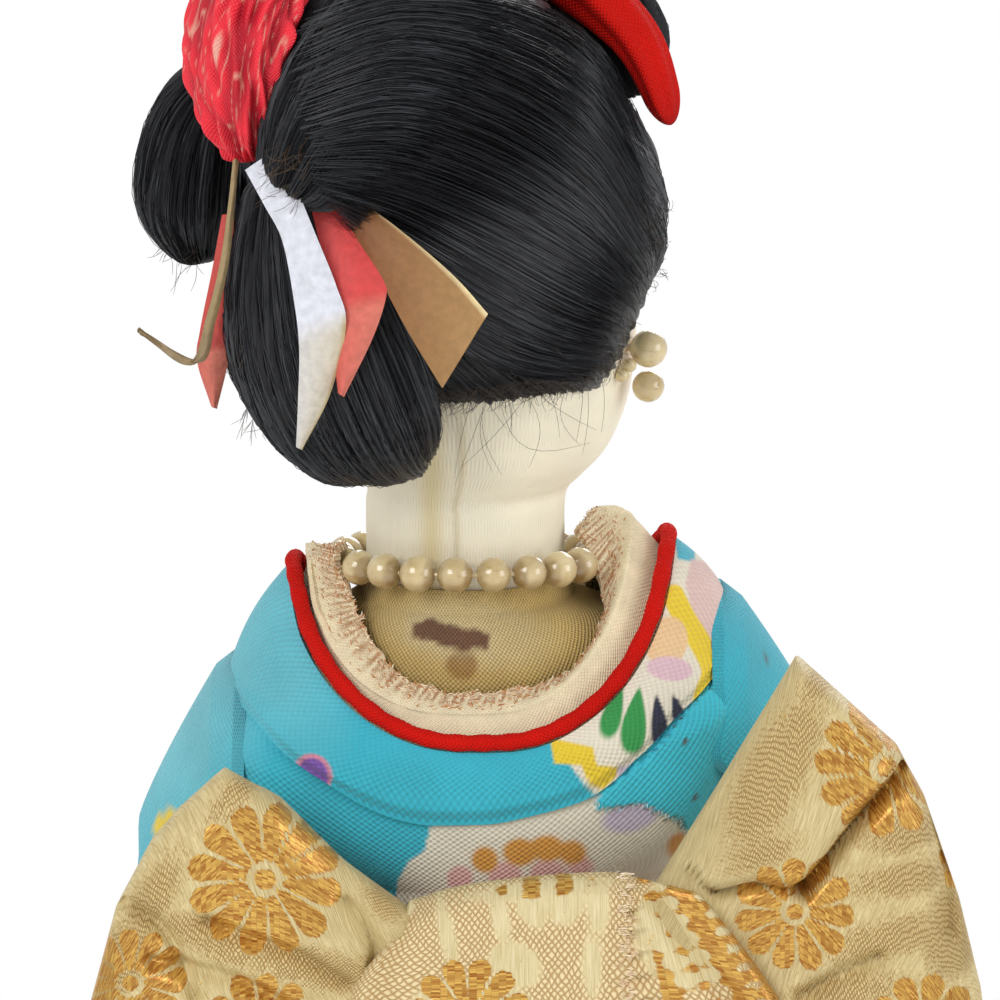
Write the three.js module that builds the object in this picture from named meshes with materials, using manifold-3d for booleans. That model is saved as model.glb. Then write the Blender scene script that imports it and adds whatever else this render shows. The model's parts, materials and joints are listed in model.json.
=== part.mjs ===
// A standing geisha doll on a lacquered base. A stuffed body on two leg wires wears a crepe kimono
// and a brocade sash tied in a wide bow. The head stands on a wooden peg and turns in the body, the
// arms turn on shoulder wires, the bead necklace slides round the neck and the ear drops swing.
//
// Millimetres, +Z up, the doll faces -Y and its left hand is at +X. The origin is the middle of the
// underside of the base.

import * as THREE from 'three';
import { mergeVertices } from 'three/addons/utils/BufferGeometryUtils.js';
import Module from 'manifold-3d';

const wasm = await Module();
wasm.setup();

// Clearances and sheet thicknesses.
const GAP = 0.35;
const CLOTH = 1.0;
const GAUZE = 0.8;
const COLLAR_CLOTH = 1.1;
const BROCADE = 2.0;
const PAPER = 0.5;

// Base and feet.
const BASE_WIDTH = 132;
const BASE_DEPTH = 118;
const BASE_HEIGHT = 18;
const BASE_CORNER = 12;
const BASE_BEVEL = 2.5;
const FOOT_SPREAD = 9.5;
const FOOT_FORWARD = 12;
const SANDAL_LENGTH = 34;
const SANDAL_WIDTH = 13;
const SANDAL_HEIGHT = 5;
const STRAP_RADIUS = 0.9;
const SOCK_LENGTH = 28;
const SOCK_WIDTH = 9.6;
const SOCK_TOE_HEIGHT = 4.6;
const SOCK_ANKLE_HEIGHT = 13;
const LEG_RADIUS = 4.2;
const LEG_WIRE_RADIUS = 1.4;
const LEG_WIRE_IN_BASE = 11;
const LEG_WIRE_IN_BODY = 24;

// Heights above the top of the base, and drops below the waist.
const WAIST_HEIGHT = 182;
const HIP_DROP = 45;
const KNEE_DROP = 112;
const HEM_CLEARANCE = 2.5;
const HEM_FRONT_LIFT = 12;

// Half sizes of the dressed body, seen from above. The body stands a little to its right.
const BODY_SHIFT = -1.5;
const WAIST_HALF_WIDTH = 24;
const WAIST_HALF_DEPTH = 17.8;
const HIP_HALF_WIDTH = 26;
const HIP_HALF_DEPTH = 20.5;
const KNEE_HALF_WIDTH = 24.5;
const KNEE_HALF_DEPTH = 19.5;
const HEM_HALF_WIDTH = 39;
const HEM_HALF_DEPTH = 34;
const HEM_TRAIL = 6;
const FOLD_COUNT = 9;
const FOLD_DEPTH = 2.2;
const SKIRT_COLUMNS = 4 * FOLD_COUNT;
const UNDERSKIRT_LIFT = 5;

// Shoulders and neckline, as heights above the waist. The right shoulder is raised with its arm.
const SEAM_LEFT = 28;
const SEAM_RIGHT = 31;
const SHOULDER_LEFT_Z = 44;
const SHOULDER_RIGHT_Z = 54;
const SHOULDER_BACK = 19.2;
const SHOULDER_BACK_Z = 39;
const SHOULDER_FRONT = 17.5;
const SHOULDER_FRONT_Z = 32;
const NECKLINE_LEFT = 18.9;
const NECKLINE_LEFT_Z = 60.4;
const NECKLINE_RIGHT = 22.8;
const NECKLINE_RIGHT_Z = 63.3;
const NECKLINE_BACK = 19;
const NECKLINE_BACK_Z = 44.3;
const NECKLINE_FRONT = 16.5;
const NECKLINE_FRONT_Z = 36;
const SHOULDER_SQUARE = 2.6;
const NECKLINE_SQUARE = 2.7;
const NECKLINE_DIP = 3;
const PIPING_RADIUS = 0.8;
const UNDER_COLLAR_RISE = 1.4;
const UNDER_COLLAR_FOOT = 2.5;
const CHEST_START = 0.25;

// Sash, bow, scarf and cord.
const SASH_BELOW_WAIST = 14;
const SASH_ABOVE_WAIST = 26;
const SCARF_RADIUS = 1.3;
const CORD_RADIUS = 1.2;
const CORD_Z = 5;
const BOW_SHIFT = -8;
const KNOT_HALF_WIDTH = 15;
const KNOT_DEPTH = 9;
const KNOT_TOP_Z = 30.5;
const KNOT_BOTTOM_Z = 8.5;
const PAD_DEPTH = 2.6;
const TAIL_WIDTH = 17;
const TAIL_LENGTH = 64;
const TAIL_SPREAD = 10;

// Arms, hands and hanging sleeves.
const JOINT_BELOW_LEFT = 13;
const JOINT_BELOW_RIGHT = 12;
const SLEEVE_HEAD_LEFT = 18;
const SLEEVE_HEAD_RIGHT = 15;
const SLEEVE_LEAN = 1.35;
const SLEEVE_RIM = 1.4;
const SLEEVE_CAP_CURVE = 1.2;
const ARM_RADIUS = 3.2;
const SLEEVE_CLOTH = 1.0;
const SLEEVE_BAG = 7;
const SHOULDER_WIRE_RADIUS = 1.1;
const SHOULDER_WIRE_IN_BODY = 17;
const HAND_LENGTH = 17;
const HAND_HALF_WIDTH = 3.4;
const HAND_HALF_DEPTH = 1.8;

// Neck, head and peg.
const HEAD_TURN = 40;
const NECK_RADIUS = 11.2;
const NECK_SINK = 4;
const NECK_BASE_Z = 58;
const CHIN_HEIGHT = 12;
const HEAD_HEIGHT = 48;
const HEAD_HALF_WIDTH = 18.2;
const HEAD_FRONT = 20.8;
const HEAD_BACK = 21;
const NOSE_RADIUS = 1.6;
const PEG_RADIUS = 3;
const PEG_IN_HEAD = 16;
const PEG_IN_BODY = 26;

// Hair.
const HAIR_THICKNESS = 6;
const HAIR_EDGE = 1.4;
const HAIR_GATHER = 9;
const HAIRLINE_NAPE_TILT = -31;
const HAIRLINE_BROW_TILT = 36;
const HAIRLINE_TEMPLE = 132;
const HAIRLINE_TEMPLE_SPREAD = 30;
const GATHER_TILT = 31;

// Beads.
const BEAD_RADIUS = 2;
const BEAD_STRING_RADIUS = 0.5;
const BEAD_SPACE = 0.12;
const NECKLACE_RISE = 3.7;
const NECKLACE_TILT = 5;
const EAR_ANGLE = 25;
const EAR_HEIGHT = 28.5;
const STUD_RADIUS = 2.1;
const DROP_RADIUS = 1.8;
const EAR_PIN_RADIUS = 0.45;
const EAR_PIN_LENGTH = 5;

// Materials, by what each piece is made of.
const finish = (color, roughness, metalness = 0) =>
  new THREE.MeshStandardMaterial({ color, roughness, metalness });
const LACQUER = finish(0x14100e, 0.25);
const STEEL = finish(0x8c8c8a, 0.4, 1);
const WOOD = finish(0xb08a5a, 0.7);
const STRAW = finish(0xc9ab6b, 0.9);
const WADDING = finish(0xe6ddc8, 0.95);
const GAUZE_CLOTH = finish(0xb89a66, 0.95);
const SILK_SKIN = finish(0xe9e1cd, 0.7);
const WHITE_COTTON = finish(0xece8de, 0.9);
const SANDAL_RED = finish(0x8f1d1d, 0.5);
const KIMONO_CREPE = finish(0x2fb0c9, 0.85);
const RED_CREPE = finish(0xcf1f26, 0.85);
const CREAM_BROCADE = finish(0xd9c9a3, 0.85);
const GOLD_BROCADE = finish(0xcda65a, 0.5, 0.2);
const HAIR = finish(0x0b0b0f, 0.45);
const WHITE_PAPER = finish(0xe4e4ea, 0.7);
const RED_PAPER = finish(0xc8414a, 0.65);
const GOLD_PAPER = finish(0xcf9f55, 0.5, 0.2);
const PEARL = finish(0xe6d9b4, 0.25);

const TURN = 2 * Math.PI;
const mix = THREE.MathUtils.lerp;
const radians = THREE.MathUtils.degToRad;
const vec = (x, y, z) => new THREE.Vector3(x, y, z);
const smooth = (t) => t * t * (3 - 2 * t);
const clamp01 = (t) => THREE.MathUtils.clamp(t, 0, 1);
const steps = (count) => Array.from({ length: count + 1 }, (_, i) => i / count);
const anglesRound = (count) => Array.from({ length: count }, (_, i) => (i / count) * TURN);
const signedPower = (x, p) => Math.sign(x) * Math.abs(x) ** p;
const valueAt = (value, angle) => (typeof value === 'function' ? value(angle) : value);

// Value at t of a list of evenly spaced values, joined by straight runs.
function listAt(values, t) {
  const place = clamp01(t) * (values.length - 1);
  const i = Math.min(Math.floor(place), values.length - 2);
  return mix(values[i], values[i + 1], place - i);
}

// A closed surface through rows of points, each row a closed ring. A chain of rows is capped at both
// ends, and a loop of rows joins its last row to its first. The faces are turned to point out.
function ringSurface(rows, loop = false) {
  const columns = rows[0].length;
  const points = rows.flat();
  const faces = [];
  const bands = loop ? rows.length : rows.length - 1;
  for (let r = 0; r < bands; r++) {
    const near = r * columns;
    const far = ((r + 1) % rows.length) * columns;
    for (let c = 0; c < columns; c++) {
      const next = (c + 1) % columns;
      faces.push(near + c, near + next, far + next, near + c, far + next, far + c);
    }
  }
  if (!loop) {
    const ends = [rows[0], rows[rows.length - 1]];
    ends.forEach((ring, end) => {
      const middle = points.push(ring.reduce((sum, p) => sum.add(p), vec(0, 0, 0)).divideScalar(columns)) - 1;
      const first = end === 0 ? 0 : (rows.length - 1) * columns;
      for (let c = 0; c < columns; c++) {
        const next = first + ((c + 1) % columns);
        faces.push(...(end === 0 ? [middle, next, first + c] : [middle, first + c, next]));
      }
    });
  }
  let volume = 0;
  for (let i = 0; i < faces.length; i += 3) {
    const [a, b, c] = faces.slice(i, i + 3).map((k) => points[k]);
    volume += a.dot(vec(0, 0, 0).crossVectors(b, c));
  }
  if (volume < 0) faces.reverse();
  const geometry = new THREE.BufferGeometry().setFromPoints(points);
  geometry.setIndex(faces);
  return geometry;
}

// Joins and cuts of closed geometry.
function toSolid(geometry) {
  const bare = geometry.clone();
  bare.deleteAttribute('normal');
  bare.deleteAttribute('uv');
  const merged = mergeVertices(bare, 1e-4);
  const vertProperties = new Float32Array(merged.attributes.position.array);
  const triVerts = new Uint32Array(merged.index.array);
  return new wasm.Manifold(new wasm.Mesh({ numProp: 3, vertProperties, triVerts }));
}

function toGeometry(solid) {
  const mesh = solid.getMesh();
  const geometry = new THREE.BufferGeometry();
  geometry.setAttribute('position', new THREE.BufferAttribute(new Float32Array(mesh.vertProperties), 3));
  geometry.setIndex(new THREE.BufferAttribute(new Uint32Array(mesh.triVerts), 1));
  return geometry;
}

function join(...geometries) {
  const [first, ...rest] = geometries.map(toSolid);
  return toGeometry(rest.reduce((sum, solid) => sum.add(solid), first));
}

// A cut may leave crumbs beside the piece, so the largest body is the one that is kept.
function cut(geometry, ...cutters) {
  const left = cutters.reduce((sum, cutter) => sum.subtract(toSolid(cutter)), toSolid(geometry));
  const bodies = left.decompose().sort((a, b) => b.volume() - a.volume());
  return toGeometry(bodies[0]);
}

// A point moved along a surface's outward normal. The surface is given by an angle round the body
// and a height v that rises.
function offsetFrom(surface, angle, v, distance) {
  const step = 1e-3;
  const around = surface(angle + step, v).sub(surface(angle - step, v));
  const along = surface(angle, v + step).sub(surface(angle, v - step));
  return surface(angle, v).addScaledVector(around.cross(along).normalize(), distance);
}

// A band of cloth on a surface, from one height to another and between two distances from it.
function clothBand(surface, { low, high, inside, outside, rows, columns }) {
  const angles = anglesRound(columns);
  const ring = (share, distance) =>
    angles.map((a) => offsetFrom(surface, a, mix(valueAt(low, a), valueAt(high, a), share), distance));
  const shares = steps(rows);
  const outer = shares.map((share) => ring(share, outside));
  const inner = shares.reverse().map((share) => ring(share, inside));
  return ringSurface([...outer, ...inner], true);
}

// A round cord laid along a closed curve.
function ringCord(pointAt, radius, columns, sides) {
  const rows = anglesRound(columns).map((a) => {
    const centre = pointAt(a);
    const tangent = pointAt(a + 1e-3).sub(pointAt(a - 1e-3)).normalize();
    const outward = vec(Math.cos(a), Math.sin(a), 0);
    outward.addScaledVector(tangent, -outward.dot(tangent)).normalize();
    const upward = tangent.clone().cross(outward);
    return anglesRound(sides).map((s) => {
      const [out, up] = [radius * Math.cos(s), radius * Math.sin(s)];
      return centre.clone().addScaledVector(outward, out).addScaledVector(upward, up);
    });
  });
  return ringSurface(rows, true);
}

// A lobe swept along a smooth path. Its oval section is wide[] along the side direction and deep[]
// across it, with one value for each even step of the path, and grow swells it all round.
function sweptLobe({ path, side, wide, deep, rows = 10, columns = 10 }, grow = 0) {
  const points = path.map((p) => vec(...p));
  const curve = new THREE.CatmullRomCurve3(points, false, 'centripetal');
  const last = points.length - 1;
  points[0].addScaledVector(curve.getTangentAt(0), -grow);
  points[last].addScaledVector(curve.getTangentAt(1), grow);
  const grown = new THREE.CatmullRomCurve3(points, false, 'centripetal');
  const sideways = vec(...side).normalize();
  return ringSurface(
    steps(rows).map((t) => {
      const centre = grown.getPointAt(t);
      const tangent = grown.getTangentAt(t);
      const across = sideways.clone().addScaledVector(tangent, -sideways.dot(tangent)).normalize();
      const through = tangent.clone().cross(across);
      const [w, d] = [listAt(wide, t) + grow, listAt(deep, t) + grow];
      return anglesRound(columns).map((a) =>
        centre.clone().addScaledVector(across, w * Math.cos(a)).addScaledVector(through, d * Math.sin(a)),
      );
    }),
  );
}

// A flat strip swept along a path, its width along the direction that across() gives at each t.
function strip({ path, across, width, thickness, rows = 10 }) {
  const curve = new THREE.CatmullRomCurve3(path.map((p) => vec(...p)), false, 'centripetal');
  return ringSurface(
    steps(rows).map((t) => {
      const centre = curve.getPointAt(t);
      const tangent = curve.getTangentAt(t);
      const wide = across(t).addScaledVector(tangent, -across(t).dot(tangent)).normalize();
      const through = tangent.clone().cross(wide);
      const corner = (w, d) =>
        centre.clone().addScaledVector(wide, (w * width) / 2).addScaledVector(through, (d * thickness) / 2);
      return [corner(1, 1), corner(-1, 1), corner(-1, -1), corner(1, -1)];
    }),
  );
}

// A straight round rod between two points.
function rod(from, to, radius, sides = 10) {
  const [start, end] = [vec(...from), vec(...to)];
  const geometry = new THREE.CylinderGeometry(radius, radius, start.distanceTo(end), sides);
  const upright = new THREE.Quaternion().setFromUnitVectors(vec(0, 1, 0), end.clone().sub(start).normalize());
  geometry.applyQuaternion(upright);
  const middle = start.add(end).multiplyScalar(0.5);
  return geometry.translate(middle.x, middle.y, middle.z);
}

function ball(x, y, z, radius, around = 10, down = 7) {
  return new THREE.SphereGeometry(radius, around, down).translate(x, y, z);
}

// The groups that carry the pieces: on the base, at the waist and at the neck.
const doll = new THREE.Group();
const figure = new THREE.Group();
figure.position.z = BASE_HEIGHT;
doll.add(figure);
const upper = new THREE.Group();
upper.position.z = WAIST_HEIGHT;
figure.add(upper);
const headGroup = new THREE.Group();
headGroup.position.z = NECK_BASE_Z;
headGroup.rotation.z = -radians(HEAD_TURN);
upper.add(headGroup);

function add(group, name, geometry, material) {
  const mesh = new THREE.Mesh(geometry, material);
  mesh.name = name;
  group.add(mesh);
}

// Base: a lacquered board with a bevelled edge and two holes for the leg wires.
function roundedRectangle(width, depth, corner) {
  const [x, y] = [width / 2, depth / 2];
  const shape = new THREE.Shape();
  shape.moveTo(corner - x, -y);
  shape.lineTo(x - corner, -y);
  shape.absarc(x - corner, corner - y, corner, -TURN / 4, 0);
  shape.lineTo(x, y - corner);
  shape.absarc(x - corner, y - corner, corner, 0, TURN / 4);
  shape.lineTo(corner - x, y);
  shape.absarc(corner - x, y - corner, corner, TURN / 4, TURN / 2);
  shape.lineTo(-x, corner - y);
  shape.absarc(corner - x, corner - y, corner, TURN / 2, (3 * TURN) / 4);
  return shape;
}

const baseBoard = new THREE.ExtrudeGeometry(
  roundedRectangle(BASE_WIDTH - 2 * BASE_BEVEL, BASE_DEPTH - 2 * BASE_BEVEL, BASE_CORNER - BASE_BEVEL),
  {
    depth: BASE_HEIGHT - 2 * BASE_BEVEL,
    bevelSize: BASE_BEVEL,
    bevelThickness: BASE_BEVEL,
    bevelSegments: 2,
    curveSegments: 3,
  },
).translate(0, 0, BASE_BEVEL);
const legHole = (x, radius, low, high) => rod([x, 0, low], [x, 0, high], radius);
const wireClearance = LEG_WIRE_RADIUS + GAP;
const wireFoot = BASE_HEIGHT - LEG_WIRE_IN_BASE;
add(
  doll,
  'base_board',
  cut(
    baseBoard,
    ...[-FOOT_SPREAD, FOOT_SPREAD].map((x) =>
      legHole(x, wireClearance, wireFoot - GAP, BASE_HEIGHT + GAP),
    ),
  ),
  LACQUER,
);

// Dressed body below the waist: oval sections at waist, sash, hip, knee and hem, joined smoothly,
// with fluted folds that open from the knee to the hem.
const HEM_DROP = WAIST_HEIGHT - HEM_CLEARANCE;
const SKIRT_STATIONS = [
  [0, WAIST_HALF_WIDTH, WAIST_HALF_DEPTH, 0],
  [SASH_BELOW_WAIST, WAIST_HALF_WIDTH, WAIST_HALF_DEPTH, 0],
  [HIP_DROP, HIP_HALF_WIDTH, HIP_HALF_DEPTH, 0],
  [KNEE_DROP, KNEE_HALF_WIDTH, KNEE_HALF_DEPTH, 0],
  [HEM_DROP, HEM_HALF_WIDTH, HEM_HALF_DEPTH, HEM_TRAIL],
];

function skirtSection(drop) {
  const i = SKIRT_STATIONS.findIndex(([at], k) => k > 0 && drop <= at);
  const k = i < 0 ? SKIRT_STATIONS.length - 1 : i;
  const [from, to] = [SKIRT_STATIONS[k - 1], SKIRT_STATIONS[k]];
  const t = (drop - from[0]) / (to[0] - from[0]);
  const eased = k === SKIRT_STATIONS.length - 1 ? t ** 1.6 : smooth(t);
  return from.map((value, n) => mix(value, to[n], eased));
}

const hemDropAt = (angle) => HEM_DROP - HEM_FRONT_LIFT * Math.max(0, -Math.sin(angle)) ** 4;

function skirtPoint(angle, v) {
  const [c, s] = [Math.cos(angle), Math.sin(angle)];
  const drop = mix(GAP, hemDropAt(angle), 1 - v);
  const [, width, depth, trail] = skirtSection(drop);
  const open = smooth(clamp01((drop - KNEE_DROP) / (HEM_DROP - KNEE_DROP)));
  const fold = FOLD_DEPTH * open * Math.sin(FOLD_COUNT * angle);
  return vec(BODY_SHIFT + (width + fold) * c, trail + (depth + fold) * s, -drop);
}

// Dressed body above the waist: the sash holds it to a straight oval, then it fills out to the
// shoulder ring and closes over the shoulders to the neckline, low at the nape and at the front.
// Across the back a ring may be squarer than an oval, and its dip there wider than a plain curve.
function bodyRing(angle, ring) {
  const { left, right, back, front, leftZ, rightZ, backZ, frontZ, square = 2, dip = 2 } = ring;
  const [c, s] = [Math.cos(angle), Math.sin(angle)];
  const behind = s > 0;
  const squared = behind ? (Math.abs(c) ** square + s ** square) ** (1 / square) : 1;
  const middleZ = behind ? backZ : frontZ;
  const z = middleZ + ((c > 0 ? leftZ : rightZ) - middleZ) * Math.abs(c) ** (behind ? dip : 2);
  const x = (left - right) / 2 + (((left + right) / 2) * c) / squared;
  return vec(x, ((behind ? back : front) * s) / squared, z);
}

const level = (width, depth, z) => ({
  left: width + BODY_SHIFT,
  right: width - BODY_SHIFT,
  back: depth,
  front: depth,
  leftZ: z,
  rightZ: z,
  backZ: z,
  frontZ: z,
});
const WAIST_RING = level(WAIST_HALF_WIDTH, WAIST_HALF_DEPTH, GAP);
const SASH_TOP_RING = level(WAIST_HALF_WIDTH, WAIST_HALF_DEPTH, SASH_ABOVE_WAIST + SCARF_RADIUS);
const SHOULDER_RING = {
  left: SEAM_LEFT,
  right: SEAM_RIGHT,
  back: SHOULDER_BACK,
  front: SHOULDER_FRONT,
  leftZ: SHOULDER_LEFT_Z,
  rightZ: SHOULDER_RIGHT_Z,
  backZ: SHOULDER_BACK_Z,
  frontZ: SHOULDER_FRONT_Z,
  square: SHOULDER_SQUARE,
};
const NECKLINE_RING = {
  left: NECKLINE_LEFT,
  right: NECKLINE_RIGHT,
  back: NECKLINE_BACK,
  front: NECKLINE_FRONT,
  leftZ: NECKLINE_LEFT_Z,
  rightZ: NECKLINE_RIGHT_Z,
  backZ: NECKLINE_BACK_Z,
  frontZ: NECKLINE_FRONT_Z,
  square: NECKLINE_SQUARE,
  dip: NECKLINE_DIP,
};

// v is 0 at the waist, 1 at the top of the sash, 2 at the shoulder ring and 3 at the neckline.
function bodicePoint(angle, v) {
  if (v < 1) return bodyRing(angle, WAIST_RING).lerp(bodyRing(angle, SASH_TOP_RING), v);
  const rings = v < 2 ? [SASH_TOP_RING, SHOULDER_RING] : [SHOULDER_RING, NECKLINE_RING];
  const [low, high] = rings.map((ring) => bodyRing(angle, ring));
  const t = v < 2 ? v - 1 : v - 2;
  const chest = clamp01((t - CHEST_START) / (1 - CHEST_START));
  const spread = v < 2 ? 1 - (1 - chest) ** 2.2 : t ** 1.35;
  const rise = v < 2 ? t : t ** 0.85;
  return vec(mix(low.x, high.x, spread), mix(low.y, high.y, spread), mix(low.z, high.z, rise));
}

// Gauze skin of the stuffed torso: it closes from the shoulders to the foot of the neck and lies
// well inside the kimono, whose collar stands away from it at the nape.
const SKIN_INSET = CLOTH + GAP + GAUZE;
const COLLAR_ROOM = 3.2;
const SHOULDER_ROOM = 2;
const SKIN_WAIST_RING = level(WAIST_HALF_WIDTH - SKIN_INSET, WAIST_HALF_DEPTH - SKIN_INSET, GAP);
const SKIN_CHEST_RING = level(
  WAIST_HALF_WIDTH - SKIN_INSET,
  WAIST_HALF_DEPTH - SKIN_INSET,
  SASH_ABOVE_WAIST + SCARF_RADIUS,
);
const SKIN_SHOULDER_RING = {
  left: SEAM_LEFT - SKIN_INSET - SHOULDER_ROOM,
  right: SEAM_RIGHT - SKIN_INSET - SHOULDER_ROOM,
  back: SHOULDER_BACK - SKIN_INSET - COLLAR_ROOM,
  front: SHOULDER_FRONT - SKIN_INSET - COLLAR_ROOM,
  leftZ: SHOULDER_LEFT_Z - SHOULDER_ROOM,
  rightZ: SHOULDER_RIGHT_Z - SHOULDER_ROOM,
  backZ: SHOULDER_BACK_Z,
  frontZ: SHOULDER_FRONT_Z,
};
const SKIN_NECK_RADIUS = NECK_RADIUS + GAP + GAUZE;
const SKIN_NECK_RING = {
  ...level(SKIN_NECK_RADIUS, SKIN_NECK_RADIUS, NECK_BASE_Z),
  left: SKIN_NECK_RADIUS,
  right: SKIN_NECK_RADIUS,
};

function skinPoint(angle, v) {
  if (v < 1) return bodyRing(angle, SKIN_WAIST_RING).lerp(bodyRing(angle, SKIN_CHEST_RING), v);
  const rings = v < 2 ? [SKIN_CHEST_RING, SKIN_SHOULDER_RING] : [SKIN_SHOULDER_RING, SKIN_NECK_RING];
  const [low, high] = rings.map((ring) => bodyRing(angle, ring));
  const t = v < 2 ? v - 1 : v - 2;
  const spread = v < 2 ? smooth(t) : t ** 1.15;
  const rise = v < 2 ? t : 1 - signedPower(1 - t, 1.35);
  return vec(mix(low.x, high.x, spread), mix(low.y, high.y, spread), mix(low.z, high.z, rise));
}

// Shoulder joints: where each arm's wire leaves the body. The sleeves hang clear of the shoulder
// seams, of the hips and of the cord round the sash. An outline runs down the hanging sleeve from its
// round head: [rear y, rear z, front y, front z], from the joint.
const SASH_OUTSIDE = GAP + BROCADE;
const CORD_OUTSIDE = SASH_OUTSIDE + GAP + 2 * CORD_RADIUS;
const sleeveSide = (sign, seam) =>
  Math.max(seam, sign * BODY_SHIFT + Math.max(HIP_HALF_WIDTH, WAIST_HALF_WIDTH + CORD_OUTSIDE)) + GAP;
const armAxis = (sign, seam) => sleeveSide(sign, seam) + SLEEVE_CLOTH + GAP + ARM_RADIUS;
const ARM_SETS = [
  {
    side: 'left',
    sign: 1,
    seam: SEAM_LEFT,
    below: JOINT_BELOW_LEFT,
    head: SLEEVE_HEAD_LEFT,
    pivotZ: SHOULDER_LEFT_Z - JOINT_BELOW_LEFT,
    arm: [[0, 0, 0], [0, -2, -22], [0, -6, -44], [0, -17, -58], [0, -28, -70]],
    hand: [-0.05, -0.8, -0.6],
    outline: [
      [13, -14, -14, -14],
      [8, -30, -13, -30],
      [7.5, -52, -24, -48],
      [7, -70, -35, -62],
      [6.5, -90, -37, -86],
      [6, -112, -36, -110],
      [4, -115, -34, -113],
    ],
  },
  {
    side: 'right',
    sign: -1,
    seam: SEAM_RIGHT,
    below: JOINT_BELOW_RIGHT,
    head: SLEEVE_HEAD_RIGHT,
    pivotZ: SHOULDER_RIGHT_Z - JOINT_BELOW_RIGHT,
    arm: [[0, 0, 0], [0, -6, -17], [0, -15, -33], [0, -26, -28], [0, -39, -20]],
    hand: [0.35, -0.75, 0.65],
    outline: [
      [11, -8, -27, -6.5],
      [7.5, -16, -43, -13],
      [7, -34, -44, -32],
      [5, -62, -43, -60],
      [3, -106, -41, -102],
      [1, -109, -39, -105],
    ],
  },
];
const shoulderWire = ({ sign, seam, pivotZ }, radius, extra) =>
  rod(
    [sign * (seam - SHOULDER_WIRE_IN_BODY - extra), 0, pivotZ],
    [sign * (armAxis(sign, seam) + ARM_RADIUS / 2 + extra), 0, pivotZ],
    radius,
  );
const shoulderHoles = ARM_SETS.map((set) => shoulderWire(set, SHOULDER_WIRE_RADIUS + GAP, GAP));

// Stuffed core: a straw bundle from the knees to the neck, with sockets for the neck, its peg and
// the wires of the arms and legs.
const CORE_COLUMNS = 24;
const coreAngles = anglesRound(CORE_COLUMNS);
const CORE_INSET = CLOTH + GAP + 0.6;
const CORE_FOOT_DROP = KNEE_DROP - 2;
const coreBelow = steps(5).map((t) => {
  const drop = mix(CORE_FOOT_DROP, GAP, t);
  const [, width, depth] = skirtSection(drop);
  return coreAngles.map((a) =>
    vec(BODY_SHIFT + (width - CORE_INSET) * Math.cos(a), (depth - CORE_INSET) * Math.sin(a), -drop),
  );
});
const SKIN_LOW = 1.05;
const SKIN_ROWS = 6;
const coreAbove = steps(SKIN_ROWS).map((t) =>
  coreAngles.map((a) => offsetFrom(skinPoint, a, mix(SKIN_LOW, 3, t), -GAUZE - 2 * GAP)),
);
const neckSocket = rod(
  [0, 0, NECK_BASE_Z - NECK_SINK - GAP],
  [0, 0, NECK_BASE_Z + NECK_SINK],
  NECK_RADIUS + GAP,
  24,
);
const pegSocket = rod([0, 0, NECK_BASE_Z - PEG_IN_BODY - GAP], [0, 0, NECK_BASE_Z], PEG_RADIUS + GAP, 16);
const LEG_WIRE_TOP = WAIST_HEIGHT - CORE_FOOT_DROP + LEG_WIRE_IN_BODY;
const coreLegHoles = [-FOOT_SPREAD, FOOT_SPREAD].map((x) =>
  legHole(x, wireClearance, -CORE_FOOT_DROP - GAP, LEG_WIRE_TOP - WAIST_HEIGHT + GAP),
);
add(
  upper,
  'straw_core',
  cut(ringSurface([...coreBelow, ...coreAbove]), neckSocket, pegSocket, ...shoulderHoles, ...coreLegHoles),
  STRAW,
);
add(
  upper,
  'torso_gauze',
  cut(
    clothBand(skinPoint, {
      low: SKIN_LOW,
      high: 3,
      inside: -GAUZE,
      outside: 0,
      rows: SKIN_ROWS,
      columns: CORE_COLUMNS,
    }),
    neckSocket,
    ...shoulderHoles,
  ),
  GAUZE_CLOTH,
);

// Legs, socks, sandals and their straps, threaded on the leg wires.
function sockShape() {
  const arc = steps(6).map((t) => (t * TURN) / 2);
  const rows = steps(7).map((t) => {
    const heel = Math.sin(Math.min(1, t * 4 + 0.25) * (TURN / 4));
    const toe = Math.sin(Math.min(1, (1 - t) * 3 + 0.3) * (TURN / 4));
    const half = (SOCK_WIDTH / 2) * heel * toe;
    const instepShare = smooth(clamp01((t - 0.25) / 0.5));
    const height = mix(SOCK_ANKLE_HEIGHT, SOCK_TOE_HEIGHT, instepShare) * (0.4 + 0.6 * toe);
    return arc.map((a) => vec(half * Math.cos(a), mix(5, 5 - SOCK_LENGTH, t), height * Math.sin(a) ** 0.8));
  });
  return ringSurface(rows);
}

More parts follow.
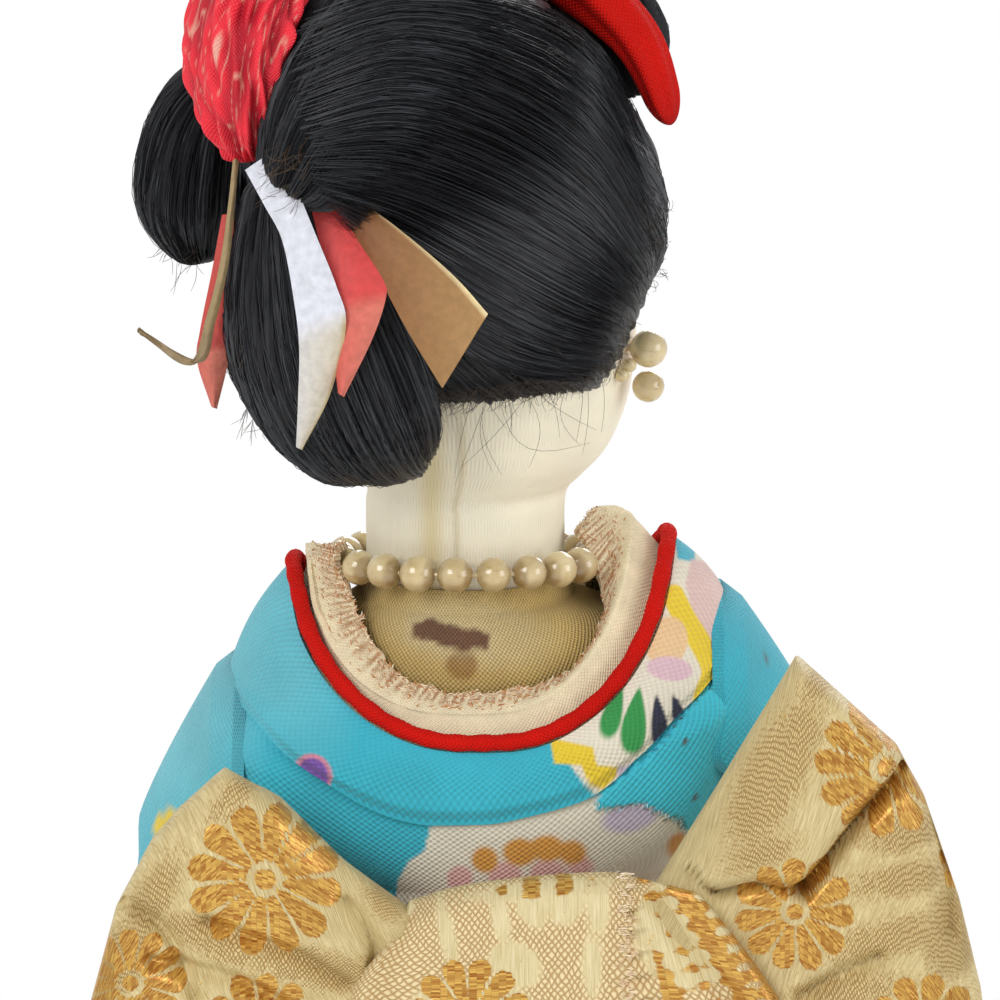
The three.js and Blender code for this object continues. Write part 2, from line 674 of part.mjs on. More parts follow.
const SOLE_Z = GAP + SANDAL_HEIGHT + GAP;
for (const [side, x] of [['left', FOOT_SPREAD], ['right', -FOOT_SPREAD]]) {
  const wireHole = legHole(0, wireClearance, -BASE_HEIGHT, LEG_WIRE_TOP);
  const foot = new THREE.Group();
  foot.position.x = x;
  figure.add(foot);
  const soleOutline = roundedRectangle(SANDAL_WIDTH, SANDAL_LENGTH, SANDAL_WIDTH / 2 - 0.1);
  const sole = new THREE.ExtrudeGeometry(soleOutline, {
    depth: SANDAL_HEIGHT,
    bevelEnabled: false,
    curveSegments: 4,
  }).translate(0, -FOOT_FORWARD, GAP);
  const sock = sockShape().translate(0, 0, SOLE_Z);
  const instep = SOLE_Z + SOCK_TOE_HEIGHT + STRAP_RADIUS + 2 * GAP;
  const strapHalf = SOCK_WIDTH / 2 + STRAP_RADIUS + GAP;
  const strap = sweptLobe({
    path: [
      [strapHalf, -8, SOLE_Z + STRAP_RADIUS],
      [strapHalf * 0.8, -12, instep],
      [0, -18, instep],
      [-strapHalf * 0.8, -12, instep],
      [-strapHalf, -8, SOLE_Z + STRAP_RADIUS],
    ],
    side: [0, 1, 0],
    wide: [STRAP_RADIUS, STRAP_RADIUS],
    deep: [STRAP_RADIUS, STRAP_RADIUS],
    rows: 10,
    columns: 6,
  });
  add(foot, `${side}_sandal`, cut(sole, wireHole), SANDAL_RED);
  add(foot, `${side}_sock_foot`, cut(sock, wireHole), WHITE_COTTON);
  const sockRoom = sockShape().scale(1.08, 1.05, 1.1).translate(0, 0, SOLE_Z);
  add(foot, `${side}_sandal_strap`, cut(strap, sockRoom), RED_CREPE);
  const ankle = SOLE_Z + SOCK_ANKLE_HEIGHT + GAP;
  const legTop = WAIST_HEIGHT - CORE_FOOT_DROP - GAP;
  add(foot, `${side}_leg`, cut(rod([0, 0, ankle], [0, 0, legTop], LEG_RADIUS), wireHole), WADDING);
  add(foot, `${side}_leg_wire`, rod([0, 0, -LEG_WIRE_IN_BASE], [0, 0, LEG_WIRE_TOP], LEG_WIRE_RADIUS), STEEL);
}

// Underskirt: a wad of padding that fills the kimono skirt below the knees, with room for the feet.
const UNDERSKIRT_INSET = CLOTH + 2 * GAP;
const shareAbove = (angle, drop) => 1 - (drop - GAP) / (hemDropAt(angle) - GAP);
const underskirtRows = steps(4).map((t) =>
  anglesRound(SKIRT_COLUMNS).map((a) => {
    const drop = mix(hemDropAt(a) - UNDERSKIRT_LIFT, KNEE_DROP + UNDERSKIRT_INSET, t);
    return offsetFrom(skirtPoint, a, shareAbove(a, drop), -UNDERSKIRT_INSET);
  }),
);
const footRoom = [-FOOT_SPREAD, FOOT_SPREAD].map((x) => {
  const roomWidth = SANDAL_WIDTH + 4 * GAP;
  const roomHeight = SOLE_Z + SOCK_ANKLE_HEIGHT + GAP;
  const room = new THREE.BoxGeometry(roomWidth, SANDAL_LENGTH + 4 * GAP, roomHeight);
  return join(
    room.translate(x, -FOOT_FORWARD, roomHeight / 2 - WAIST_HEIGHT),
    legHole(x, LEG_RADIUS + GAP, -WAIST_HEIGHT, -CORE_FOOT_DROP),
  );
});
add(upper, 'underskirt', cut(ringSurface(underskirtRows), ...footRoom), RED_CREPE);

// Kimono: skirt, bodice, collar band, red piping and the cream under-collar that lines it.
add(
  upper,
  'kimono_skirt',
  clothBand(skirtPoint, { low: 0, high: 1, inside: -CLOTH, outside: 0, rows: 9, columns: SKIRT_COLUMNS }),
  KIMONO_CREPE,
);
add(
  upper,
  'kimono_bodice',
  cut(
    clothBand(bodicePoint, { low: 0, high: 2.92, inside: -CLOTH, outside: 0, rows: 7, columns: 28 }),
    ...shoulderHoles,
  ),
  KIMONO_CREPE,
);
const COLLAR_TOP = 2.97;
const collarEdge = (angle) => 2.3 - 0.6 * Math.max(0, Math.sin(angle)) ** 2;
const aboveCollar = (angle, distance) =>
  COLLAR_TOP + (0.1 * distance) / bodicePoint(angle, 3).distanceTo(bodicePoint(angle, 2.9));
add(
  upper,
  'kimono_collar',
  clothBand(bodicePoint, {
    low: collarEdge,
    high: COLLAR_TOP,
    inside: GAP,
    outside: GAP + COLLAR_CLOTH,
    rows: 3,
    columns: 28,
  }),
  KIMONO_CREPE,
);
const pipingAt = (angle) =>
  offsetFrom(bodicePoint, angle, aboveCollar(angle, PIPING_RADIUS + GAP), PIPING_RADIUS + GAP);
add(upper, 'collar_piping', ringCord(pipingAt, PIPING_RADIUS, 28, 5), RED_CREPE);

// The under-collar stands inside the bodice and rolls inwards over a crest to its cut edge.
const UNDER_COLLAR_CREST = {
  left: 17.8,
  right: 18.4,
  back: 16.6,
  front: 15.4,
  leftZ: 63.3,
  rightZ: 66.2,
  backZ: 48.0,
  frontZ: 43.5,
  square: NECKLINE_SQUARE,
  dip: NECKLINE_DIP,
};
const UNDER_COLLAR_EDGE = {
  left: 16.4,
  right: 16.9,
  back: 14.3,
  front: 14.6,
  leftZ: 60.2,
  rightZ: 61.5,
  backZ: 48.9,
  frontZ: 42.0,
  square: NECKLINE_SQUARE,
  dip: NECKLINE_DIP,
};
const underCollarOutside = -CLOTH - GAP;
const underCollarRows = [
  (a) => offsetFrom(bodicePoint, a, UNDER_COLLAR_FOOT, underCollarOutside),
  (a) => offsetFrom(bodicePoint, a, aboveCollar(a, UNDER_COLLAR_RISE), underCollarOutside),
  (a) => bodyRing(a, UNDER_COLLAR_CREST),
  (a) => bodyRing(a, UNDER_COLLAR_EDGE),
  (a) => offsetFrom(bodicePoint, a, UNDER_COLLAR_FOOT, underCollarOutside - COLLAR_CLOTH),
].map((pointAt) => anglesRound(28).map(pointAt));
add(upper, 'under_collar', ringSurface(underCollarRows, true), CREAM_BROCADE);

// Sash round the waist, the scarf that shows above it and the cord tied round its middle.
const sashWall = (inside, outside) => {
  const oval = (grow, z) =>
    anglesRound(28).map((a) =>
      vec(BODY_SHIFT + (WAIST_HALF_WIDTH + grow) * Math.cos(a), (WAIST_HALF_DEPTH + grow) * Math.sin(a), z),
    );
  const [low, high] = [-SASH_BELOW_WAIST, SASH_ABOVE_WAIST];
  return ringSurface([oval(outside, low), oval(outside, high), oval(inside, high), oval(inside, low)], true);
};
add(upper, 'sash_band', sashWall(GAP, SASH_OUTSIDE), GOLD_BROCADE);
const ovalAt = (grow, z) => (a) =>
  vec(BODY_SHIFT + (WAIST_HALF_WIDTH + grow) * Math.cos(a), (WAIST_HALF_DEPTH + grow) * Math.sin(a), z);
const scarfAt = ovalAt(GAP + SCARF_RADIUS, SASH_ABOVE_WAIST + GAP + SCARF_RADIUS);
add(upper, 'sash_scarf', ringCord(scarfAt, SCARF_RADIUS, 24, 5), RED_CREPE);
const cordAt = ovalAt(SASH_OUTSIDE + GAP + CORD_RADIUS, CORD_Z);
add(upper, 'sash_cord', ringCord(cordAt, CORD_RADIUS, 24, 5), RED_CREPE);

// Bow at the back: a pad on the sash, a wide knot over it, two wings and two hanging tails. Each
// wing is a row of upright ovals: [distance from the knot, top, bottom, half thickness].
const PAD_BACK = WAIST_HALF_DEPTH + SASH_OUTSIDE + GAP + PAD_DEPTH;
const KNOT_FRONT = PAD_BACK + GAP;
const knotMiddle = (KNOT_TOP_Z + KNOT_BOTTOM_Z) / 2;
const knotHalfHeight = (KNOT_TOP_Z - KNOT_BOTTOM_Z) / 2;
const PAD_HALF_WIDTH = KNOT_HALF_WIDTH * 0.8;
const PAD_HALF_HEIGHT = knotHalfHeight * 0.6;
const PAD_Z = knotMiddle + 3;
const boxLobe = (halfWidth, y, halfDepth, z, halfHeight) =>
  sweptLobe({
    path: [[BOW_SHIFT - halfWidth, y, z], [BOW_SHIFT, y, z], [BOW_SHIFT + halfWidth, y, z]],
    side: [0, 0, 1],
    wide: [0.86, 0.97, 1, 1, 0.97, 0.86].map((share) => share * halfHeight),
    deep: [0.7, 0.95, 1, 1, 0.95, 0.7].map((share) => share * halfDepth),
    rows: 6,
    columns: 14,
  });
add(
  upper,
  'bow_pad',
  cut(
    boxLobe(PAD_HALF_WIDTH, PAD_BACK - PAD_DEPTH / 2, PAD_DEPTH / 2, PAD_Z, PAD_HALF_HEIGHT),
    sashWall(0, SASH_OUTSIDE + GAP),
  ),
  WADDING,
);
add(
  upper,
  'bow_knot',
  boxLobe(KNOT_HALF_WIDTH, KNOT_FRONT + KNOT_DEPTH / 2, KNOT_DEPTH / 2, knotMiddle, knotHalfHeight),
  GOLD_BROCADE,
);

const WING_BACK = KNOT_FRONT + KNOT_DEPTH / 2;
const BOW_WINGS = [
  {
    name: 'bow_wing_left',
    sign: 1,
    rows: [
      [GAP, 27, 12, 3],
      [6, 34, 4, 4.2],
      [13, 41, -3, 5],
      [19, 44.6, -8, 5],
      [24, 40, -10, 5],
      [27, 36.5, -10, 4.6],
      [31, 29, -9, 4],
      [34, 18, -7, 3],
      [36, 7, -3, 1.4],
    ],
  },
  {
    name: 'bow_wing_right',
    sign: -1,
    rows: [
      [GAP, 30, 12, 3],
      [6, 45, 4, 4.2],
      [13, 57, -4, 5],
      [18, 52.5, -8, 5.2],
      [24, 47, -10, 5.2],
      [27, 41.5, -10, 5],
      [31, 30, -8, 4.2],
      [33.5, 20, -6, 3],
      [35, 8, -3, 1.4],
    ],
  },
];
for (const { name, sign, rows } of BOW_WINGS) {
  const rings = rows.map(([out, top, bottom, half]) => {
    const x = BOW_SHIFT + sign * (KNOT_HALF_WIDTH + out);
    const [z, height] = [(top + bottom) / 2, (top - bottom) / 2];
    return anglesRound(16).map((a) =>
      vec(x, WING_BACK + half * signedPower(Math.cos(a), 0.8), z + height * signedPower(Math.sin(a), 0.8)),
    );
  });
  add(upper, name, ringSurface(rings), GOLD_BROCADE);
}
for (const [name, sign] of [['bow_tail_left', 1], ['bow_tail_right', -1]]) {
  const x = BOW_SHIFT + sign * TAIL_SPREAD;
  const top = KNOT_BOTTOM_Z - 2 * GAP;
  add(
    upper,
    name,
    strip({
      path: [
        [x - sign, KNOT_FRONT + 2, top],
        [x, KNOT_FRONT + 3, top - TAIL_LENGTH * 0.35],
        [x + 2 * sign, KNOT_FRONT + 2, top - TAIL_LENGTH],
      ],
      across: () => vec(1, 0, 0),
      width: TAIL_WIDTH,
      thickness: BROCADE,
    }),
    GOLD_BROCADE,
  );
}

// Arms: a wrapped limb that turns on its shoulder wire, a hand, and a long sleeve whose flat bag
// hangs from the arm. The sleeve's head is a round cap about the joint: outside it falls away to a
// thin rim, and its body side leans in over the slope of the shoulder, so it turns with the arm.
const HEAD_ROW_ANGLES = [75, 50, 25, 0];
for (const { side, sign, seam, below, head, pivotZ, arm, hand, outline } of ARM_SETS) {
  const axis = armAxis(sign, seam);
  const limb = new THREE.Group();
  limb.position.z = pivotZ;
  upper.add(limb);
  const path = arm.map(([, y, z]) => [sign * axis, y, z]);
  const roundArm = [ARM_RADIUS, ARM_RADIUS];
  const limbShape = (grow) =>
    sweptLobe({ path, side: [1, 0, 0], wide: roundArm, deep: roundArm, rows: 8, columns: 8 }, grow);
  const wrist = path[path.length - 1];
  const ahead = vec(...path[path.length - 1]).sub(vec(...path[path.length - 2])).normalize();
  const tunnel = join(
    limbShape(GAP),
    ball(sign * axis, 0, 0, ARM_RADIUS + GAP),
    rod(wrist, vec(...wrist).addScaledVector(ahead, 3 * ARM_RADIUS).toArray(), ARM_RADIUS + GAP),
  );
  const wireHole = shoulderWire({ sign, seam, pivotZ: 0 }, SHOULDER_WIRE_RADIUS + GAP, GAP);
  const shoulderBall = ball(sign * axis, 0, 0, ARM_RADIUS);
  add(limb, `${side}_arm`, cut(join(limbShape(0), shoulderBall), wireHole), WADDING);
  add(limb, `${side}_shoulder_wire`, shoulderWire({ sign, seam, pivotZ: 0 }, SHOULDER_WIRE_RADIUS, 0), STEEL);

  const handStart = vec(...wrist).addScaledVector(ahead, ARM_RADIUS * 0.2 + GAP);
  const pointing = vec(...hand).normalize();
  const along = (distance, turn) => {
    const heading = ahead.clone().lerp(pointing, turn);
    return handStart.clone().addScaledVector(heading, distance);
  };
  const handShape = {
    path: [0, 0.3, 0.65, 1].map((share) => along(share * HAND_LENGTH, share).toArray()),
    side: [0, 0.55, 0.85],
    wide: [0.5, 0.75, 1, 0.95, 0.7, 0.25].map((share) => share * HAND_HALF_WIDTH),
    deep: [1, 1, 1, 0.85, 0.6, 0.35].map((share) => share * HAND_HALF_DEPTH),
  };
  add(limb, `${side}_hand`, sweptLobe(handShape), SILK_SKIN);

  const armWidth = 2 * (SLEEVE_CLOTH + GAP + ARM_RADIUS);
  const curve = new THREE.CatmullRomCurve3(path.map((p) => vec(...p)));
  const armPoints = curve.getPoints(24);
  const bulge = (y, z) => {
    const near = Math.min(...armPoints.map((p) => Math.hypot(p.y - y, p.z - z)));
    return mix(SLEEVE_BAG, armWidth, Math.exp(-((near / (2.4 * ARM_RADIUS)) ** 4)));
  };
  const bodySide = sleeveSide(sign, seam);
  const fromJoint = (y, z, start) => clamp01((Math.hypot(y, z) - start) / (head - start));
  const capFall = armWidth + SLEEVE_LEAN - SLEEVE_RIM;
  const outerSide = (y, z, rounded) =>
    bodySide + (z < 0 ? bulge(y, z) * rounded : armWidth - capFall * fromJoint(y, z, 0) ** SLEEVE_CAP_CURVE);
  const innerSide = (y, z) => bodySide - (z < 0 ? 0 : SLEEVE_LEAN * fromJoint(y, z, below) ** 2);
  const headRows = HEAD_ROW_ANGLES.map(radians).map((a) => {
    const [y, z] = [head * Math.cos(a), head * Math.sin(a)];
    return [y, z, -y, z];
  });
  const rows = [...headRows, ...outline].map(([rearY, rearZ, frontY, frontZ]) => {
    const shares = steps(5);
    const at = (share) => [mix(rearY, frontY, share), mix(rearZ, frontZ, share)];
    const outer = shares.map((share) => {
      const [y, z] = at(share);
      const rounded = share === 0 || share === 1 ? 0.55 : 1;
      return vec(sign * outerSide(y, z, rounded), y, z);
    });
    const inner = shares.reverse().map((share) => vec(sign * innerSide(...at(share)), ...at(share)));
    return [...outer, ...inner];
  });
  const throughHole = rod([sign * (seam - 2), 0, 0], [sign * axis, 0, 0], SHOULDER_WIRE_RADIUS + GAP);
  const handRoom = sweptLobe(handShape, GAP);
  add(limb, `${side}_sleeve`, cut(ringSurface(rows), tunnel, throughHole, handRoom), KIMONO_CREPE);
}

// Head and neck: rings from the foot of the neck to the crown. Each row of the profile gives a
// height share from the chin to the crown, then shares of the half width, the front and the back.
const HEAD_PROFILE = [
  [0, 0.6, 0.62, 0.52],
  [0.03, 0.66, 0.74, 0.55],
  [0.09, 0.78, 0.9, 0.6],
  [0.2, 0.91, 0.985, 0.7],
  [0.33, 0.98, 1, 0.82],
  [0.5, 1, 0.985, 0.95],
  [0.67, 0.985, 0.95, 1],
  [0.8, 0.88, 0.82, 0.92],
  [0.91, 0.64, 0.58, 0.7],
  [0.98, 0.3, 0.26, 0.4],
];

function headShape(grow = 0) {
  const oval = (half, front, back, z) =>
    anglesRound(20).map((a) => {
      const [c, s] = [Math.cos(a), Math.sin(a)];
      return vec((half + grow) * c, (s > 0 ? back + grow : front + grow) * s, z);
    });
  const neck = [-NECK_SINK - grow, CHIN_HEIGHT * 0.5, CHIN_HEIGHT * 0.9].map((z) =>
    oval(NECK_RADIUS, NECK_RADIUS, NECK_RADIUS, z),
  );
  const skull = HEAD_PROFILE.map(([share, half, front, back]) =>
    oval(
      half * HEAD_HALF_WIDTH,
      front * HEAD_FRONT,
      Math.max(back * HEAD_BACK, NECK_RADIUS),
      CHIN_HEIGHT + share * (HEAD_HEIGHT + grow),
    ),
  );
  return ringSurface([...neck, ...skull]);
}

const nose = sweptLobe({
  path: [
    [0, -HEAD_FRONT * 0.97, CHIN_HEIGHT + HEAD_HEIGHT * 0.48],
    [0, -HEAD_FRONT * 1.0, CHIN_HEIGHT + HEAD_HEIGHT * 0.38],
    [0, -HEAD_FRONT * 1.02, CHIN_HEIGHT + HEAD_HEIGHT * 0.31],
  ],
  side: [1, 0, 0],
  wide: [0.5, 0.7, 1, 0.7].map((share) => share * NOSE_RADIUS),
  deep: [0.5, 0.8, 1.1, 0.7].map((share) => share * NOSE_RADIUS),
  rows: 6,
  columns: 8,
});
const headPegHole = rod([0, 0, -NECK_SINK - 1], [0, 0, PEG_IN_HEAD + GAP], PEG_RADIUS + GAP, 16);
const EAR_SIDES = [['left', 1], ['right', -1]].map(([side, sign]) => {
  const share = (EAR_HEIGHT - CHIN_HEIGHT) / HEAD_HEIGHT;
  const row = HEAD_PROFILE.findIndex(([at]) => at >= share);
  const [low, high] = [HEAD_PROFILE[row - 1], HEAD_PROFILE[row]];
  const [, half, front] = low.map((value, n) => mix(value, high[n], (share - low[0]) / (high[0] - low[0])));
  const turn = radians(EAR_ANGLE);
  const sideways = sign * half * HEAD_HALF_WIDTH * Math.cos(turn);
  const skin = vec(sideways, -front * HEAD_FRONT * Math.sin(turn), EAR_HEIGHT);
  const outward = vec(sign * Math.cos(turn), -Math.sin(turn), 0);
  return { side, skin, outward };
});
const earPin = ({ skin, outward }, radius, extra) =>
  rod(
    skin.clone().addScaledVector(outward, -EAR_PIN_LENGTH - extra).toArray(),
    skin.clone().addScaledVector(outward, STUD_RADIUS).toArray(),
    radius,
    8,
  );
const studMiddle = ({ skin, outward }) => skin.clone().addScaledVector(outward, STUD_RADIUS + GAP);
const studShape = (ear, grow) =>
  join(
    ball(...studMiddle(ear).toArray(), STUD_RADIUS + grow),
    earPin(ear, EAR_PIN_RADIUS + grow, grow),
  );
const earHoles = EAR_SIDES.map((ear) => earPin(ear, EAR_PIN_RADIUS + GAP, GAP));
add(headGroup, 'head', cut(join(headShape(), nose), headPegHole, ...earHoles), SILK_SKIN);
add(headGroup, 'neck_peg', rod([0, 0, -PEG_IN_BODY], [0, 0, PEG_IN_HEAD], PEG_RADIUS, 16), WOOD);

// Ear studs, each a pearl on a pin in the head, and the drops that hang and swing under them.
for (const ear of EAR_SIDES) {
  add(headGroup, `${ear.side}_ear_stud`, studShape(ear, 0), PEARL);
  const drop = studMiddle(ear);
  drop.z -= STUD_RADIUS + GAP + DROP_RADIUS;
  add(headGroup, `${ear.side}_ear_drop`, ball(...drop.toArray(), DROP_RADIUS), PEARL);
}

// Hair cap: combed from the hairline to a gather at the back of the head. The hairline is low round
// the nape and the ears and rises at the temples to the brow. A point of the cap lies on the arc from
// a hairline direction to the gather direction, at the distance of the swollen skull.
const SKULL_MIDDLE = vec(0, (HEAD_BACK - HEAD_FRONT) / 2, CHIN_HEIGHT + HEAD_HEIGHT * 0.53);
const SKULL_RADII = vec(HEAD_HALF_WIDTH, (HEAD_BACK + HEAD_FRONT) / 2, HEAD_HEIGHT * 0.48);
const gatherWay = vec(0, Math.cos(radians(GATHER_TILT)), Math.sin(radians(GATHER_TILT)));

function hairPoint(u, angle, grow) {
  const fromBack = Math.abs(angle > TURN / 2 ? angle - TURN : angle);
  const rise = smooth(clamp01((fromBack - radians(HAIRLINE_TEMPLE)) / radians(HAIRLINE_TEMPLE_SPREAD) + 0.5));
  const tilt = radians(mix(HAIRLINE_NAPE_TILT, HAIRLINE_BROW_TILT, rise));
  const level = Math.cos(tilt);
  const start = vec(-level * Math.sin(angle), level * Math.cos(angle), Math.sin(tilt));
  const arc = start.angleTo(gatherWay);
  const way = start
    .multiplyScalar(Math.sin((1 - u) * arc))
    .addScaledVector(gatherWay, Math.sin(u * arc))
    .divideScalar(Math.sin(arc));
  const swell = mix(HAIR_EDGE, HAIR_THICKNESS, Math.sin(Math.min(1, u * 2.2) * (TURN / 4)));
  const pulled = HAIR_GATHER * smooth(clamp01((u - 0.7) / 0.3));
  const thick = swell + pulled + grow;
  const radii = SKULL_RADII.clone().addScalar(thick);
  const reach = 1 / Math.hypot(way.x / radii.x, way.y / radii.y, way.z / radii.z);
  return SKULL_MIDDLE.clone().addScaledVector(way, reach);
}

const hairCap = (grow) =>
  ringSurface(
    steps(8).map((t) => anglesRound(24).map((angle) => hairPoint(mix(0, 0.985, t), angle, grow))),
  );

// Locks of hair and their ties, each cut by those that are already on the head.
const HAIR_PIECES = [
  ['hair_cap', HAIR, hairCap],
  [
    'hair_topknot',
    HAIR,
    (grow) =>
      sweptLobe(
        {
          path: [[0, -6, 66], [0, 2, 67], [0, 12, 68], [0, 24, 65], [0, 30, 60]],
          side: [1, 0, 0],
          wide: [7, 13, 16.5, 17, 14, 7],
          deep: [3, 8, 11, 11, 8, 3.5],
        },
        grow,
      ),
  ],
  [
    'hair_front_puff',
    HAIR,
    (grow) =>
      sweptLobe(
        {
          path: [[-13, -14, 56], [-8, -17, 62], [0, -18, 64.5], [8, -17, 62], [13, -14, 56]],
          side: [0, -0.6, 0.8],
          wide: [1.5, 5, 6.5, 6.5, 5, 1.5],
          deep: [1.5, 4.5, 5.5, 5.5, 4.5, 1.5],
        },
        grow,
      ),
  ],
  [
    'hair_nape_loop',
    HAIR,
    (grow) =>
      sweptLobe(
        {
          path: [[-2, 32.5, 52], [-3.2, 31.5, 42], [-3.4, 27.8, 31], [-3.6, 22, 22], [-4, 15.5, 18.4]],
          side: [1, 0, 0],
          wide: [4, 8.5, 11.5, 12.5, 11, 5],
          deep: [2, 4.5, 6.5, 7, 6, 2.5],
        },
        grow,
      ),
  ],
  [
    'hair_side_loop_left',
    HAIR,
    (grow) =>
      sweptLobe(
        {
          path: [[8.3, 28.6, 62], [13.3, 28.6, 55], [16.3, 27.1, 46], [16.3, 25.6, 39]],
          side: [1, 0, 0],
          wide: [2, 4.6, 5.6, 5.4, 2],
          deep: [2, 4.6, 5.8, 5.6, 2],
        },
        grow,
      ),
  ],
  [
    'hair_side_loop_right',
    HAIR,
    (grow) =>
      sweptLobe(
        {
          path: [[-13, 12, 75], [-14, 26, 66], [-11, 33.5, 58], [-7.6, 37.8, 49.6]],
          side: [0.6, 0.5, 0.62],
          wide: [3, 7.5, 8.5, 7.5, 3.5],
          deep: [2, 4.6, 5.6, 5, 2],
        },
        grow,
      ),
  ],
  [
    'red_crepe_tie',
    RED_CREPE,
    (grow) =>
      sweptLobe(
        {
          path: [[0.2, 30.5, 75], [-0.3, 35.5, 71], [-0.6, 38, 64.5], [-0.9, 37.6, 57.8], [-1.2, 36, 53.2]],
          side: [1, 0, 0],
          wide: [3, 6, 6.4, 5.8, 4.8, 2],
          deep: [1.5, 3.2, 3.8, 3.6, 3, 1.2],
        },
        grow,
      ),
  ],
  [
    'red_head_band',
    RED_CREPE,
    (grow) =>
      sweptLobe(
        {
          path: [[-17.5, -15, 53], [-14, -11, 64], [0, -7, 73], [14, -11, 64], [17.5, -15, 53]],
          side: [0, -0.8, 0.2],
          wide: [2, 3.2, 3.4, 3.4, 3.2, 2],
          deep: [1, 2.2, 4, 4, 2.2, 1],
          rows: 14,
        },
        grow,
      ),
  ],
];
const onHead = [headShape(GAP), ...EAR_SIDES.map((ear) => studShape(ear, GAP))];
for (const [name, material, shape] of HAIR_PIECES) {
  add(headGroup, name, cut(shape(0), ...onHead), material);
  onHead.push(shape(GAP));
}

// Paper ribbons that hang from the crepe tie over the nape loop, three to its right and two to its left.
const RIBBONS = [
  [
    'ribbon_white',
    WHITE_PAPER,
    5.5,
    [1, 0.25, 0],
    [[-4, 38, 52], [-6.5, 39.5, 44], [-8, 38.5, 34], [-7, 36, 25]],
  ],
  [
    'ribbon_red',
    RED_PAPER,
    6,
    [1, 0.5, 0],
    [[-9, 35.8, 51], [-12.5, 36.5, 44], [-15, 35, 37], [-13, 32.5, 29]],
  ],
  [
    'ribbon_gold',
    GOLD_PAPER,
    8,
    [0.55, 0.25, 0.8],
    [[-12, 31.5, 50], [-17, 32, 46], [-22, 30.5, 40], [-25, 29, 36]],
  ],
  [
    'ribbon_gold_far',
    GOLD_PAPER,
    5,
    [-0.64, 0.77, 0],
    [[-1.6, 41.6, 55], [-0.3, 43.1, 45], [1.7, 44.2, 33], [6.3, 48.3, 36]],
  ],
  [
    'ribbon_red_far',
    RED_PAPER,
    6,
    [0.5, 0.9, 0],
    [[6, 36.5, 47], [11.5, 33.5, 40], [14, 30.5, 33], [14.5, 28, 26]],
  ],
];
for (const [name, material, width, across, path] of RIBBONS) {
  const ribbon = strip({ path, across: () => vec(...across), width, thickness: PAPER });
  add(headGroup, name, cut(ribbon, ...onHead), material);
}

// Necklace: pearls threaded on a string, loose round the foot of the neck.
const necklaceRadius = NECK_RADIUS + 3 * GAP + BEAD_RADIUS;
const beadCount = Math.floor((TURN * necklaceRadius) / (2 * BEAD_RADIUS + BEAD_SPACE));
const string = new THREE.TorusGeometry(necklaceRadius, BEAD_STRING_RADIUS, 4, beadCount);
const beads = anglesRound(beadCount).map((a) =>
  ball(necklaceRadius * Math.cos(a), necklaceRadius * Math.sin(a), 0, BEAD_RADIUS, 6, 5),
);
const necklace = new THREE.Group();
necklace.position.z = NECK_BASE_Z + NECKLACE_RISE;
necklace.rotation.x = radians(NECKLACE_TILT);
upper.add(necklace);
add(necklace, 'pearl_necklace', join(string, ...beads), PEARL);

export default doll;
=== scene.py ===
import json

import bpy
import numpy as np
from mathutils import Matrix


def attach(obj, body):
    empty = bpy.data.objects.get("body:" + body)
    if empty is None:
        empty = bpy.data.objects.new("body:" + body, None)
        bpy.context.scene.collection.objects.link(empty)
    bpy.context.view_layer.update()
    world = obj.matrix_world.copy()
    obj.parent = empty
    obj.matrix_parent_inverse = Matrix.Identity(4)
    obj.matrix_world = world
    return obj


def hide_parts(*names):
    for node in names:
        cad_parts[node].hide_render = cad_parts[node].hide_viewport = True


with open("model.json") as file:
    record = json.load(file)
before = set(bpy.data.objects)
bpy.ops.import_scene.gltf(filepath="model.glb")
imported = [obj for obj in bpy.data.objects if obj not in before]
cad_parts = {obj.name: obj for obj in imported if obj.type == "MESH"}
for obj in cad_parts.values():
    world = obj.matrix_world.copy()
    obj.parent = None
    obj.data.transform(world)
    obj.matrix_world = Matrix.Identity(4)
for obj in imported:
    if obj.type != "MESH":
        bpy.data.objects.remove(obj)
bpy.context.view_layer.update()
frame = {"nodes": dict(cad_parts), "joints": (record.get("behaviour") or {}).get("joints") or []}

# The studio: a pale floor that fades into a white surround, two soft lamps and the camera.
# The camera stands behind the doll and a little above, close enough to see only head and bow.
MM = 0.001
TURN = 2 * np.pi
PICTURE_PIXELS = 1000
PIXELS_PER_MM = 9.0
VIEW_ELEVATION = np.radians(12)
VIEW_DISTANCE = 600.0
VIEW_CENTRE = np.array([-3.9, 8.27, 270.15])
VIEW_BACK = np.array([0, np.cos(VIEW_ELEVATION), np.sin(VIEW_ELEVATION)])
VIEW_UP = np.array([0, -np.sin(VIEW_ELEVATION), np.cos(VIEW_ELEVATION)])
VIEW_RIGHT = np.array([-1.0, 0, 0])
SENSOR = 36.0
FLOOR_HALF = 3000.0
FLOOR_FADE = (260.0, 620.0)
AMBIENT = 0.62
LAMPS = {
    "key_lamp": ((700, 950, 950), 9.0, 0.7),
    "side_lamp": ((-900, 500, 500), 3.5, 0.6),
    "front_lamp": ((-250, -1100, 800), 7.0, 0.8),
}


def photo_place(points):
    """Picture coordinates of points in mm: offsets along the picture's axes, divided by the depth."""
    away = points - (VIEW_CENTRE + VIEW_DISTANCE * VIEW_BACK)
    scale = PIXELS_PER_MM * VIEW_DISTANCE / -(away @ VIEW_BACK)
    middle = PICTURE_PIXELS / 2
    return middle + scale * (away @ VIEW_RIGHT), middle - scale * (away @ VIEW_UP)


